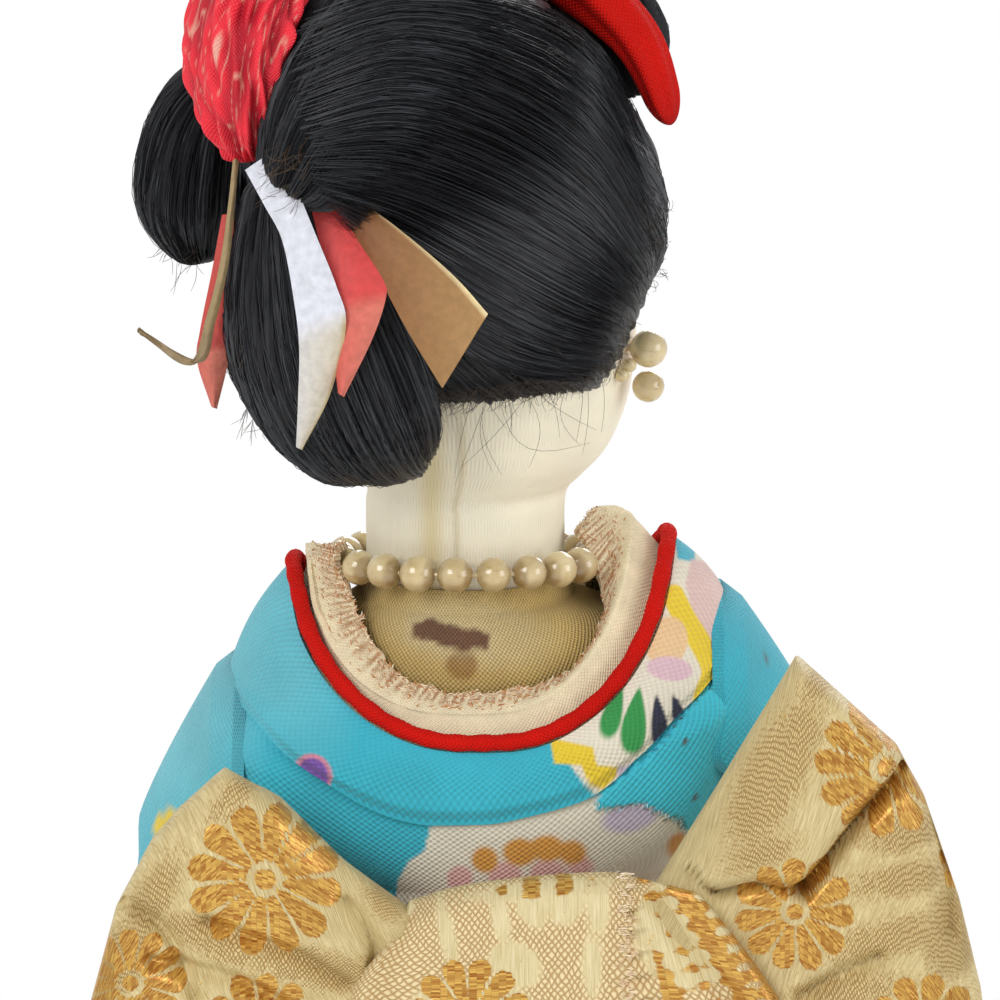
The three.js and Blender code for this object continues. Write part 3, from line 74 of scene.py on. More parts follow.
def photo_point(across, down, depth):
    """Points in mm on the upright plane Y = depth that the picture shows at these coordinates."""
    reach = PIXELS_PER_MM * VIEW_DISTANCE
    middle = PICTURE_PIXELS / 2
    sight = np.multiply.outer((np.asarray(across) - middle) / reach, VIEW_RIGHT)
    sight = sight + np.multiply.outer((middle - np.asarray(down)) / reach, VIEW_UP) - VIEW_BACK
    eye = VIEW_CENTRE + VIEW_DISTANCE * VIEW_BACK
    return eye + sight * ((np.asarray(depth) - eye[1]) / sight[..., 1])[..., None]


def linear(hex_colour):
    """Linear red, green, blue and alpha of an sRGB hex colour."""
    value = np.array([int(hex_colour[i:i + 2], 16) for i in (1, 3, 5)]) / 255
    return (*np.where(value <= 0.04045, value / 12.92, ((value + 0.055) / 1.055) ** 2.4), 1.0)


def add_node(tree, kind, inputs=None, **settings):
    """Adds one shader node, sets its properties, and sets or links each of the inputs named."""
    node = tree.nodes.new("ShaderNode" + kind)
    for name, value in settings.items():
        setattr(node, name, value)
    for name, value in (inputs or {}).items():
        if isinstance(value, bpy.types.NodeSocket):
            tree.links.new(value, node.inputs[name])
        else:
            node.inputs[name].default_value = value
    return node


def ranged(tree, value, low=0.0, high=1.0, to_low=0.0, to_high=1.0):
    """A value carried from one range onto another, and held inside it."""
    limits = {"From Min": low, "From Max": high, "To Min": to_low, "To Max": to_high}
    return add_node(tree, "MapRange", {"Value": value, **limits}).outputs[0]


def new_material(name, colour, roughness, **sockets):
    """A material with one principled shader whose constant sockets are set by name."""
    material = bpy.data.materials.new(name)
    material.use_nodes = True
    made = material.node_tree.nodes["Principled BSDF"]
    made.inputs["Base Color"].default_value = linear(colour)
    made.inputs["Roughness"].default_value = roughness
    for socket, value in sockets.items():
        made.inputs[socket.replace("_", " ")].default_value = value
    return material, material.node_tree, made


scene = bpy.context.scene
scene.view_settings.view_transform = "Standard"
camera = bpy.data.objects.new("camera", bpy.data.cameras.new("camera"))
camera.location = MM * (VIEW_CENTRE + VIEW_DISTANCE * VIEW_BACK)
camera.rotation_euler = (np.pi / 2 - VIEW_ELEVATION, 0, np.pi)
camera.data.sensor_width = SENSOR
camera.data.lens = SENSOR * VIEW_DISTANCE * PIXELS_PER_MM / PICTURE_PIXELS
camera.data.clip_start = 0.01
scene.collection.objects.link(camera)
scene.camera = camera

for name, (place, power, size) in LAMPS.items():
    lamp = bpy.data.objects.new(name, bpy.data.lights.new(name, "AREA"))
    lamp.data.energy = power
    lamp.data.size = size
    lamp.location = MM * np.array(place)
    aim = VIEW_CENTRE - np.array(place)
    tilt = np.arccos(-aim[2] / np.linalg.norm(aim))
    lamp.rotation_euler = (tilt, 0, np.arctan2(aim[1], aim[0]) - np.pi / 2)
    scene.collection.objects.link(lamp)

surround = bpy.data.worlds.new("surround")
surround.use_nodes = True
scene.world = surround
sky = surround.node_tree
rays = add_node(sky, "LightPath")
level = ranged(sky, rays.outputs["Is Camera Ray"], to_low=AMBIENT)
sky.links.new(level, sky.nodes["Background"].inputs["Strength"])
sky.nodes["Background"].inputs["Color"].default_value = (1, 1, 1, 1)

floor_mesh = bpy.data.meshes.new("floor")
corner = FLOOR_HALF * MM
floor_corners = [(-corner, -corner, 0), (corner, -corner, 0), (corner, corner, 0), (-corner, corner, 0)]
floor_mesh.from_pydata(floor_corners, [], [(0, 1, 2, 3)])
floor = bpy.data.objects.new("floor", floor_mesh)
scene.collection.objects.link(floor)
paint, tree, shader = new_material("pale_matt_paint", "#f4f3f0", 0.9)
place = add_node(tree, "TexCoord")
away = add_node(tree, "VectorMath", {0: place.outputs["Object"]}, operation="LENGTH")
mix_share = ranged(tree, away.outputs["Value"], FLOOR_FADE[0] * MM, FLOOR_FADE[1] * MM)
rays = add_node(tree, "LightPath")
mix_share = add_node(tree, "Math", {0: mix_share, 1: rays.outputs["Is Camera Ray"]}, operation="MULTIPLY")
white = add_node(tree, "Emission", {"Strength": 1.0})
mixed = add_node(tree, "MixShader", {0: mix_share.outputs[0], 1: shader.outputs[0], 2: white.outputs[0]})
tree.links.new(mixed.outputs[0], tree.nodes["Material Output"].inputs["Surface"])
floor_mesh.materials.append(paint)

# The base: a wooden board in black lacquer, rubbed brown along its edges.
# It is sawn with round corners, bevelled, lacquered and polished; the leg wires stand in it.
BASE_HALF = (66.0, 59.0)
BASE_HEIGHT = 18.0
BASE_CORNER = 12.0
BASE_BEVEL = 2.5
EDGE_WEAR = np.array([0.2, 0, 0, 0.2, 0.5, 0.8, 0.5, 0.2, 0, 0])


def add_mesh(name, points, corners, sizes, uv=None, layers=None):
    """A mesh object from points in mm, the corner points of its faces in turn and the faces' sizes."""
    mesh = bpy.data.meshes.new(name)
    mesh.vertices.add(len(points))
    mesh.vertices.foreach_set("co", np.ravel(points * MM).astype(np.float32))
    mesh.loops.add(len(corners))
    mesh.loops.foreach_set("vertex_index", corners.astype(np.int32))
    mesh.polygons.add(len(sizes))
    mesh.polygons.foreach_set("loop_start", (np.cumsum(sizes) - sizes).astype(np.int32))
    mesh.update(calc_edges=True)
    if uv is not None:
        mesh.uv_layers.new(name="UVMap").data.foreach_set("uv", np.ravel(uv).astype(np.float32))
    for layer, values in (layers or {}).items():
        if values.ndim == 2:
            rgba = np.concatenate([values, np.ones((len(values), 1))], axis=1)
            attribute = mesh.attributes.new(layer, "FLOAT_COLOR", "POINT")
            attribute.data.foreach_set("color", np.ravel(rgba).astype(np.float32))
        else:
            attribute = mesh.attributes.new(layer, "FLOAT", "POINT")
            attribute.data.foreach_set("value", values.astype(np.float32))
    mesh.shade_smooth()
    mesh.set_sharp_from_angle(angle=np.radians(50))
    piece = bpy.data.objects.new(name, mesh)
    scene.collection.objects.link(piece)
    return piece


def dress(piece, material, body, slot, *nodes):
    """Gives a piece its material, hangs it on the empty of the body it rides on, and hides the nodes it
    stands for.
    """
    piece.data.materials.append(material)
    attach(piece, body)
    if nodes:
        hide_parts(*nodes)
    return piece


def add_surface(name, grid, loop=False, layers=None):
    """A closed skin over a grid of points whose columns run round; its rows run round too, or end in
    two flat caps. The UV map gives mean lengths in mm, across the columns and along the rows."""
    rows, columns = grid.shape[:2]
    r, c = np.meshgrid(np.arange(rows if loop else rows - 1), np.arange(columns), indexing="ij")
    corner_r = np.stack([r, r, r + 1, r + 1], -1).reshape(-1, 4)
    corner_c = np.stack([c, c + 1, c + 1, c], -1).reshape(-1, 4)
    quads = (corner_r % rows) * columns + corner_c % columns
    points = grid.reshape(-1, 3)
    p = points[quads] - points.mean(0)
    volume = np.einsum("ij,ij->", p[:, 0], np.cross(p[:, 1], p[:, 2]) + np.cross(p[:, 2], p[:, 3]))
    order = [0, 1, 2, 3] if volume > 0 else [3, 2, 1, 0]
    step_c = np.linalg.norm(np.roll(grid, -1, 1) - grid, axis=2).mean(0)
    step_r = np.linalg.norm(np.roll(grid, -1, 0) - grid, axis=2).mean(1)
    u = np.concatenate([[0], np.cumsum(step_c)])
    v = np.concatenate([[0], np.cumsum(step_r)])
    uv = np.stack([u[corner_c], v[corner_r]], -1)[:, order].reshape(-1, 2)
    corners = quads[:, order].ravel()
    sizes = np.full(len(quads), 4)
    if not loop:
        first = np.arange(columns)
        last = first + (rows - 1) * columns
        caps = [first[::-1], last] if volume > 0 else [first, last[::-1]]
        corners = np.concatenate([corners, *caps])
        sizes = np.concatenate([sizes, [columns, columns]])
        uv = np.concatenate([uv, np.zeros((2 * columns, 2))])
    flat = {key: values.reshape(len(points), *values.shape[2:]) for key, values in (layers or {}).items()}
    return add_mesh(name, points, corners, sizes, uv, flat)


def rounded_rectangle(half_x, half_y, corner_radius, per_corner):
    """Outline of a rectangle with quarter-circle corners, turning left from its +X side."""
    quarter = np.repeat(np.arange(4), per_corner)
    angle = (quarter + np.tile(np.linspace(0, 1, per_corner), 4)) * TURN / 4
    sign_x = np.where((quarter == 0) | (quarter == 3), 1, -1)
    sign_y = np.where(quarter < 2, 1, -1)
    x = sign_x * (half_x - corner_radius) + corner_radius * np.cos(angle)
    y = sign_y * (half_y - corner_radius) + corner_radius * np.sin(angle)
    return x, y


def board_grid(half_x, half_y, corner_radius, bottom, top, bevel, per_corner=12):
    """A rounded rectangle carried up a profile: a small foot bevel, an upright side, a round top edge."""
    arc = np.linspace(0, TURN / 4, 7)
    inset = np.concatenate([[bevel * 0.4, 0], bevel * (1 - np.cos(arc)), [min(half_x, half_y) * 0.5]])
    height = np.concatenate([[bottom, bottom + bevel * 0.4], top - bevel + bevel * np.sin(arc), [top]])
    rings = [
        np.stack([*rounded_rectangle(half_x - i, half_y - i, max(corner_radius - i, 0.2), per_corner)], -1)
        for i in inset
    ]
    z = np.broadcast_to(height[:, None, None], (len(height), 4 * per_corner, 1))
    return np.concatenate([np.array(rings), z], -1)


def noise(tree, pitch, detail):
    """A soft noise over the object's own coordinates, with a pitch in mm."""
    place = add_node(tree, "TexCoord").outputs["Object"]
    inputs = {"Vector": place, "Scale": 1 / (pitch * MM), "Detail": detail}
    return add_node(tree, "TexNoise", inputs).outputs[0]


def blended(tree, share, one, two, kind="MIX"):
    """Two colours, each a hex colour or a socket, joined by a share."""
    one, two = (linear(colour) if isinstance(colour, str) else colour for colour in (one, two))
    inputs = {"Fac": share, "Color1": one, "Color2": two}
    return add_node(tree, "MixRGB", inputs, blend_type=kind).outputs[0]


def painted(tree, layer, output="Fac"):
    """The value, or the colour, of a layer painted on the points."""
    return add_node(tree, "Attribute", attribute_name=layer).outputs[output]


def feed(tree, shader, **sockets):
    """Links values to the shader's sockets, whose names are written with underscores."""
    for name, value in sockets.items():
        tree.links.new(value, shader.inputs[name.replace("_", " ")])


def emboss(tree, shader, height, depth, strength=1.0):
    """Lets a height field, raised by a depth in mm, turn the shader's normal."""
    bump = add_node(tree, "Bump", {"Height": height, "Distance": depth * MM, "Strength": strength})
    feed(tree, shader, Normal=bump.outputs[0])


# Urushi lacquer: a deep gloss over near-black brown, with faint polishing scratches and dust.
lacquer, tree, shader = new_material(
    "black_urushi_lacquer", "#15100e", 0.2, Coat_Weight=0.5, Coat_Roughness=0.08
)
brown = blended(tree, painted(tree, "worn"), "#15100e", "#4a2a1c")
dusty = ranged(tree, noise(tree, 4.0, 6.0), 0.5, 0.75, 0.16, 0.34)
feed(tree, shader, Base_Color=brown, Roughness=dusty)
board = board_grid(*BASE_HALF, BASE_CORNER, 0.0, BASE_HEIGHT, BASE_BEVEL)
worn = np.repeat(EDGE_WEAR[:, None], board.shape[1], axis=1)
base = add_surface("base_board_lacquered", board, False, {"worn": worn})
dress(base, lacquer, "figure", "lacquer", "base_board")

# The sandals: flat wooden soles in dull red lacquer with a paler edge, one under each foot.
# The straps are stuffed tubes of red crepe that run from the heel sides to the toe cleft.
FOOT_SPREAD = 9.5
FOOT_FORWARD = 12.0
SANDAL_HALF = (6.5, 17.0)
SANDAL_HEIGHT = 5.0
STRAP_RADIUS = 0.9
GAP = 0.35
SOLE_Z = BASE_HEIGHT + 2 * GAP + SANDAL_HEIGHT
SOCK_LENGTH = 28.0
SOCK_HALF_WIDTH = 4.8


def spline(values, count):
    """A Catmull-Rom curve through evenly stepped values, at count even places."""
    points = np.asarray(values, float).reshape(len(values), -1)
    run = np.concatenate([2 * points[:1] - points[1:2], points, 2 * points[-1:] - points[-2:-1]])
    t = np.linspace(0, len(points) - 1, count)
    i = np.minimum(t.astype(int), len(points) - 2)
    f = (t - i)[:, None]
    a, b, c, d = (run[i + k] for k in range(4))
    bends = (2 * a - 5 * b + 4 * c - d) * f**2 + (3 * b - a - 3 * c + d) * f**3
    curve = 0.5 * (2 * b + (c - a) * f + bends)
    return curve if np.ndim(values) > 1 else curve[:, 0]


def round_angles(count):
    """Even angles once round."""
    return np.linspace(0, TURN, count, endpoint=False)


def unit(vectors):
    """Vectors at length one."""
    return vectors / np.maximum(np.linalg.norm(vectors, axis=-1, keepdims=True), 1e-12)


def run_along(points):
    """Length from the first of a line of points to each of them."""
    return np.concatenate([[0], np.cumsum(np.linalg.norm(np.diff(points, axis=0), axis=1))])


def lobe_shares(rows):
    """Shares along a lobe at which its rows lie: close at both rounded ends, wide apart between."""
    return 0.5 - 0.5 * np.cos(np.pi * np.linspace(0.004, 0.996, rows))


def lobe(path, side, wide, deep, rows, columns, relief=None, tip=0.12):
    """An oval carried along a smooth path: wide[] along the side direction and deep[] across it. A relief
    in mm, a function of share and angle, swells it, and both ends are rounded over the tip share."""
    share = lobe_shares(rows)
    fine = spline(path, 400)
    length = run_along(fine)
    middle = np.stack([np.interp(share * length[-1], length, fine[:, k]) for k in range(3)], -1)
    tangent = unit(np.gradient(middle, share, axis=0))
    across = np.asarray(side, float) - (tangent @ np.asarray(side, float))[:, None] * tangent
    across = unit(across)
    through = np.cross(tangent, across)
    over = np.clip((np.abs(2 * share - 1) - (1 - tip)) / tip, 0, 1)
    closing = np.sqrt(np.clip(1 - over**2, 0.0009, 1))
    w = np.interp(share, np.linspace(0, 1, 200), np.maximum(spline(wide, 200), 0.2)) * closing
    d = np.interp(share, np.linspace(0, 1, 200), np.maximum(spline(deep, 200), 0.2)) * closing
    angle = round_angles(columns)
    swell = np.zeros((rows, columns))
    if relief:
        swell = relief(share[:, None], angle[None, :]) * closing[:, None]
    out = (w[:, None] + swell)[..., None] * np.cos(angle)[None, :, None] * across[:, None, :]
    up = (d[:, None] + swell)[..., None] * np.sin(angle)[None, :, None] * through[:, None, :]
    return middle[:, None, :] + out + up


def weave(tree, across, along, wobble=0.0, cells=False):
    """Height of a plain weave on the UV map, -1 to 1: a sine across the threads times one along them.
    A wobble in mm shifts each thread a little by a soft noise. In cells it is how far the two sines
    differ, 0 to 2: lozenges between thin sunk lines."""
    uv = add_node(tree, "UVMap", uv_map="UVMap").outputs[0]
    if wobble:
        sway = add_node(tree, "TexNoise", {"Vector": uv, "Scale": 0.7, "Detail": 2.0}).outputs["Color"]
        shift = add_node(tree, "VectorMath", {0: sway, "Scale": wobble}, operation="SCALE")
        uv = add_node(tree, "VectorMath", {0: uv, 1: shift.outputs[0]}).outputs[0]
    parts = add_node(tree, "SeparateXYZ", {0: uv})
    waves = []
    for axis, pitch in ((0, across), (1, along)):
        turn = add_node(tree, "Math", {0: parts.outputs[axis], 1: TURN / pitch}, operation="MULTIPLY")
        waves.append(add_node(tree, "Math", {0: turn.outputs[0]}, operation="SINE"))
    kind = "SUBTRACT" if cells else "MULTIPLY"
    joined = add_node(tree, "Math", {0: waves[0].outputs[0], 1: waves[1].outputs[0]}, operation=kind)
    if cells:
        joined = add_node(tree, "Math", {0: joined.outputs[0]}, operation="ABSOLUTE")
    return joined.outputs[0]


def cloth_material(
    name, colour, across, along, depth, roughness, shade=0.35, mottle=6.0, layer=None, **sockets
):
    """A woven cloth: its colour, or a painted layer, darkens in the gaps of the weave and in soft
    mottles, and the weave is raised by depth in mm."""
    material, tree, shader = new_material(name, colour, roughness, **sockets)
    height = weave(tree, across, along)
    gaps = ranged(tree, height, -1.0, 1.0, 1 - shade)
    blots = ranged(tree, noise(tree, mottle, 5.0), 0.3, 0.7, 0.86)
    dark = add_node(tree, "Math", {0: gaps, 1: blots}, operation="MULTIPLY").outputs[0]
    ground = painted(tree, layer, "Color") if layer else colour
    feed(tree, shader, Base_Color=blended(tree, 1.0, ground, dark, "MULTIPLY"))
    emboss(tree, shader, height, depth)
    return material


# Red crepe: hard-twisted silk with a fine pebbled crinkle, matt and a little uneven in its dye.
red_crepe = cloth_material(
    "red_silk_crepe", "#e5170b", 0.5, 0.5, 0.1, 0.85, shade=0.22, Specular_IOR_Level=0.15
)
# Dull red lacquer on the soles, and plain white cotton for the socks.
sandal_red, tree, shader = new_material("dull_red_lacquer", "#8f1d1d", 0.38, Coat_Weight=0.2)
feed(tree, shader, Base_Color=blended(tree, noise(tree, 2.0, 4.0), "#7c1517", "#a3282a"))
cotton = cloth_material("white_cotton_twill", "#ece8de", 0.4, 0.4, 0.05, 0.9, shade=0.12)


def sock_grid(rows=48, columns=40):
    """A foot seen from heel to toe: half ovals on a flat sole, high at the ankle and low at the toes,
    with a cleft beside the big toe."""
    t = np.linspace(0, 1, rows)[:, None]
    heel = np.sin(np.minimum(1, t * 4 + 0.25) * TURN / 4)
    toe = np.sin(np.minimum(1, (1 - t) * 3 + 0.15) * TURN / 4)
    instep = np.clip((t - 0.25) / 0.5, 0, 1)
    height = 13 + (4.6 - 13) * instep**2 * (3 - 2 * instep)
    height = height * (0.4 + 0.6 * toe)
    angle = round_angles(columns)[None, :]
    x = SOCK_HALF_WIDTH * heel * toe * np.cos(angle)
    cleft = 1.6 * np.clip((t - 0.72) / 0.2, 0, 1) * np.exp(-(((x - 1.4) / 0.6) ** 2))
    z = np.where(np.sin(angle) > 0, (height - cleft) * np.abs(np.sin(angle)) ** 0.8, 0.25 * np.sin(angle))
    y = np.broadcast_to(5 - SOCK_LENGTH * t, x.shape)
    return np.stack([x, y, z + SOLE_Z], -1)


for side, x in (("left", FOOT_SPREAD), ("right", -FOOT_SPREAD)):
    shift = np.array([x, 0, 0])
    sole_low = BASE_HEIGHT + GAP
    sole = board_grid(*SANDAL_HALF, SANDAL_HALF[0] - 0.2, sole_low, sole_low + SANDAL_HEIGHT, 0.9)
    sole_piece = add_surface(f"{side}_sandal_sole", sole + shift - [0, FOOT_FORWARD, 0])
    dress(sole_piece, sandal_red, "figure", "sandal_red", f"{side}_sandal")
    sock = add_surface(f"{side}_split_toe_sock", sock_grid() * [1 if x > 0 else -1, 1, 1] + shift)
    dress(sock, cotton, "figure", "white_cotton", f"{side}_sock_foot")
    strap_path = [
        (5.9, -8, SOLE_Z + 0.6), (5.2, -12, SOLE_Z + 4.6), (1.3, -19, SOLE_Z + 6.0),
        (-5.2, -12, SOLE_Z + 4.6), (-5.9, -8, SOLE_Z + 0.6),
    ]
    strap = lobe(strap_path, (0, 1, 0), [STRAP_RADIUS] * 3, [STRAP_RADIUS] * 3, 60, 16) + shift
    strap_piece = add_surface(f"{side}_crepe_sandal_strap", strap)
    dress(strap_piece, red_crepe, "figure", "red_crepe", f"{side}_sandal_strap")

# The inner frame: two steel wires in the base, legs of paper-wound wadding on them, and a straw bundle
# for the body. All of it is under the clothes and is tied and glued together.
LEG_RADIUS = 4.2
WAIST_Z = 200.0
KNEE_Z = 90.0
LEG_FOOT_Z = SOLE_Z + 13 + GAP
WRAP_PITCH = 6.0
STRAW_STALKS = 46
CORE_ROWS = 20
CORE_COLUMNS = 230
CORE_STATIONS = [KNEE_Z, 155, 190, 226]
CORE_HALF_WIDTHS = [22.4, 23.8, 21.5, 20.5]
CORE_HALF_DEPTHS = [17.4, 18.4, 15.5, 14.5]
BODY_SHIFT = -1.5

# Drawn steel wire keeps its grey mill finish; the peg is plain turned softwood with straight grain.
wire_steel, tree, shader = new_material("drawn_steel_wire", "#8c8c8a", 0.38, Metallic=1.0)
feed(tree, shader, Roughness=ranged(tree, noise(tree, 1.0, 3.0), to_low=0.3, to_high=0.5))
softwood, tree, shader = new_material("turned_softwood", "#b08a5a", 0.7)
place = add_node(tree, "TexCoord").outputs["Object"]
stretch = add_node(tree, "Mapping", {"Vector": place, "Scale": (1 / MM, 1 / MM, 0.06 / MM)})
grain = add_node(tree, "TexNoise", {"Vector": stretch.outputs[0], "Scale": 1.0, "Detail": 4.0})
feed(tree, shader, Base_Color=blended(tree, grain.outputs[0], "#94693c", "#c6a270"))
for name in ("left_leg_wire", "right_leg_wire", "left_shoulder_wire", "right_shoulder_wire"):
    frame["nodes"][name].data.materials.clear()
    frame["nodes"][name].data.materials.append(wire_steel)
frame["nodes"]["neck_peg"].data.materials.clear()
frame["nodes"]["neck_peg"].data.materials.append(softwood)

wadding = cloth_material("paper_wound_wadding", "#e6ddc8", 0.9, 0.9, 0.1, 0.95, shade=0.15)
straw = cloth_material("bound_rice_straw", "#c9ab6b", 0.8, 30.0, 0.2, 0.85, shade=0.4)
for side, x in (("left", FOOT_SPREAD), ("right", -FOOT_SPREAD)):
    leg = lobe(
        [(x, 0, LEG_FOOT_Z), (x, 0, (LEG_FOOT_Z + KNEE_Z) / 2), (x, 0, KNEE_Z - 0.6)],
        (1, 0, 0), [LEG_RADIUS] * 3, [LEG_RADIUS] * 3, 70, 24,
        lambda t, a: 0.12 * np.sin(a + t * TURN * (KNEE_Z - LEG_FOOT_Z) / WRAP_PITCH), tip=0.05,
    )
    leg_piece = add_surface(f"{side}_wound_leg", leg)
    dress(leg_piece, wadding, "figure", "wadding", f"{side}_leg")

# The body: straw inside, and over it a skin of open cotton gauze that shows inside the collar.
# The gauze is drawn up to the neck and glued; a smear of old glue and a water stain are left on it.
WAIST_HALF = (24.0, 17.8)
SASH_TOP = 27.3
SKIN_INSET = 2.15
NECK_Z = 58.0
SKIN_SHOULDER = dict(left=23.85, right=26.85, back=13.85, front=12.15, heights=(42, 52, 39, 32))
SKIN_NECK_RADIUS = 12.35
NECK_STAND = 2.6
NECK_DRAW = 0.04
GAUZE_ROWS = 76
GAUZE_COLUMNS = 340
GLUE_SMEAR = [(413, 624), (430, 619), (490, 634), (488, 649), (460, 650), (412, 637)]


def body_ring(angle, left, right, back, front, heights, square=2.0, dip=2.0):
    """An oval round the body, wider or higher on one side: angle 0 is the doll's left, a quarter turn
    its back; heights are those of left, right, back and front above the waist. Across the back a square
    power above 2 fills the corners as a superellipse does, and a dip power above 2 widens the low part."""
    c, s = np.cos(angle), np.sin(angle)
    left_z, right_z, back_z, front_z = heights
    middle_z = np.where(s > 0, back_z, front_z)
    z = middle_z + (np.where(c > 0, left_z, right_z) - middle_z) * np.abs(c) ** np.where(s > 0, dip, 2.0)
    power = 2 + (square - 2) * np.clip(2 * s, 0, 1)
    fill = (np.abs(c) ** power + np.abs(s) ** power) ** (1 / power)
    x = (left - right) / 2 + (left + right) / 2 * c / fill
    y = np.where(s > 0, back, front) * s / fill
    return np.stack([x, y, z], -1)


def level_ring(angle, half_width, half_depth, height):
    """A level oval round the body's own middle."""
    return body_ring(
        angle, half_width + BODY_SHIFT, half_width - BODY_SHIFT, half_depth, half_depth, (height,) * 4
    )


def eased(t):
    """A share that starts and ends level."""
    return t * t * (3 - 2 * t)


def between(low, high, spread, rise):
    """Points from one ring to another: the plan follows spread, the height follows rise."""
    plan = low[..., :2] + (high - low)[..., :2] * spread[..., None]
    height = low[..., 2] + (high - low)[..., 2] * rise
    return np.concatenate([plan, height[..., None]], -1) + [0, 0, WAIST_Z]


def gauze_skin(angle, v):
    """The torso under the kimono: v 1 at the sash, 2 at the shoulders, 3 at the foot of the neck. Past 3
    it stands up round the neck and draws in."""
    angle, v = np.broadcast_arrays(angle, v)
    sash = level_ring(angle, WAIST_HALF[0] - SKIN_INSET, WAIST_HALF[1] - SKIN_INSET, SASH_TOP)
    shoulder = body_ring(angle, **SKIN_SHOULDER)
    neck = body_ring(angle, *(SKIN_NECK_RADIUS,) * 4, (NECK_Z,) * 4)
    low = between(sash, shoulder, eased(np.clip(v - 1, 0, 1)), np.clip(v - 1, 0, 1))
    t = np.clip(v - 2, 0, 1)
    high = between(shoulder, neck, t**1.15, 1 - (1 - t) ** 1.35)
    stand = np.clip((v - 3) / 0.15, 0, 1)[..., None]
    high = high * (1 - stand * [NECK_DRAW, NECK_DRAW, 0]) + stand * [0, 0, NECK_STAND]
    return np.where((v < 2)[..., None], low, high)


def raised(surface, angle, v, distance):
    """Points moved off a surface along its outward normal, found from small steps round and up it."""
    step = 1e-3
    angle, v = np.broadcast_arrays(angle, v)
    round_it = surface(angle + step, v) - surface(angle - step, v)
    up_it = surface(angle, v + step) - surface(angle, v - step)
    return surface(angle, v) + unit(np.cross(round_it, up_it)) * np.asarray(distance)[..., None]


def lining_rows(grid):
    """The rows of a cloth's hidden inner side, last to first: one for every four outer ones."""
    return grid[np.rint(np.linspace(len(grid) - 1, 0, len(grid) // 4)).astype(int)]


def both_sides(layer):
    """A painted layer for a cloth's outer side and, by its lining's rows, for its inner side."""
    return np.concatenate([layer, lining_rows(layer)])


def cover(x, y, middle, size, turn=0.0, scallops=0, taper=0.0, soft=1.2):
    """How far places lie inside an oval, 0 to 1. The oval may be turned in degrees, scalloped like a
    blossom, or tapered to a point at the end of its first axis."""
    turn = np.radians(turn)
    along = ((x - middle[0]) * np.cos(turn) + (y - middle[1]) * np.sin(turn)) / size[0]
    across = ((y - middle[1]) * np.cos(turn) - (x - middle[0]) * np.sin(turn)) / size[1]
    across = across / np.clip(1 - taper * along, 0.05, 2)
    rim = 1 + 0.1 * np.abs(np.sin(scallops / 2 * np.arctan2(across, along))) if scallops else 1.0
    return np.clip((rim - np.hypot(along, across)) * min(size) / soft + 0.5, 0, 1)


def patch(x, y, corners, soft):
    """How far places lie inside a polygon, 0 to 1: the distance to its nearest side, with a sign for
    the inside, over a soft edge."""
    inside = np.zeros(np.shape(x), bool)
    nearest = np.full(np.shape(x), 1e9)
    for (ax, ay), (bx, by) in zip(corners, corners[1:] + corners[:1]):
        t = np.clip(((x - ax) * (bx - ax) + (y - ay) * (by - ay)) / ((bx - ax) ** 2 + (by - ay) ** 2), 0, 1)
        nearest = np.minimum(nearest, np.hypot(x - ax - t * (bx - ax), y - ay - t * (by - ay)))
        if ay != by:
            inside ^= ((ay > y) != (by > y)) & (x < (bx - ax) * (y - ay) / (by - ay) + ax)
    return np.clip(np.where(inside, nearest, -nearest) / soft + 0.5, 0, 1)


def lay(ground, colour, amount):
    """Paint of one hex colour laid over a ground, as far as the amount covers it."""
    return ground + (np.array(linear(colour)[:3]) - ground) * np.asarray(amount)[..., None]


def even_dye(colour, grid):
    """One hex colour over all the points of a grid."""
    return np.broadcast_to(np.array(linear(colour)[:3]), grid.shape)


core_angle = round_angles(CORE_COLUMNS)
core_drop = np.linspace(KNEE_Z + 2.5, WAIST_Z + 26, CORE_ROWS)[:, None]
core_width = np.interp(core_drop, CORE_STATIONS, CORE_HALF_WIDTHS)
core_depth = np.interp(core_drop, CORE_STATIONS, CORE_HALF_DEPTHS)
stalks = 0.3 * np.sin(STRAW_STALKS * core_angle)
core = np.stack(
    [
        BODY_SHIFT + (core_width - 0.4 + stalks) * np.cos(core_angle),
        (core_depth - 0.4 + stalks) * np.sin(core_angle),
        np.broadcast_to(core_drop, (CORE_ROWS, CORE_COLUMNS)),
    ],
    -1,
)
core_v = np.linspace(1.08, 2.98, CORE_ROWS)[:, None]
core_top = raised(gauze_skin, core_angle, core_v, np.full((CORE_ROWS, CORE_COLUMNS), -1.6) + stalks * 0.4)
core_piece = add_surface("bound_straw_core", np.concatenate([core, core_top]))
dress(core_piece, straw, "figure", "straw", "straw_core")

# Cotton gauze: slack brown-grey threads with open holes, 0.3 mm apart, drawn with strong shade between.
gauze = cloth_material(
    "open_cotton_gauze", "#d6b56c", 0.6, 0.6, 0.1, 0.95, shade=0.55, mottle=5.0, layer="stain",
    Sheen_Weight=0.1,
)
angle = round_angles(GAUZE_COLUMNS)
v = np.linspace(1.05, 3.15, GAUZE_ROWS)[:, None]
outer = gauze_skin(angle, v)
across, down = photo_place(outer)
stain = even_dye("#eecb7c", outer)
# Painted shade: the gauze is darker downwards and towards the left, where it lies in shade.
shadowed = np.clip((down - 640) / 60, 0, 1) * 0.5 + np.clip((430 - across) / 60, 0, 1) * 0.35
stain = lay(stain, "#96773f", np.clip(shadowed, 0, 0.7))
stain = lay(stain, "#ead6a2", 0.6 * cover(across, down, (470, 632), (80, 34), 8, soft=18))
stain = lay(stain, "#9a6420", 0.65 * cover(across, down, (462, 665), (15, 14), scallops=3, soft=5))
ragged = 0.8 * np.sin(across * 0.12 + 0.5) + 0.9 * np.sin(across * 0.29 + 2) + 0.5 * np.sin(across * 0.8)
glued = lay(stain, "#efe0b8", 0.5 * patch(across, down + ragged, GLUE_SMEAR, 22))
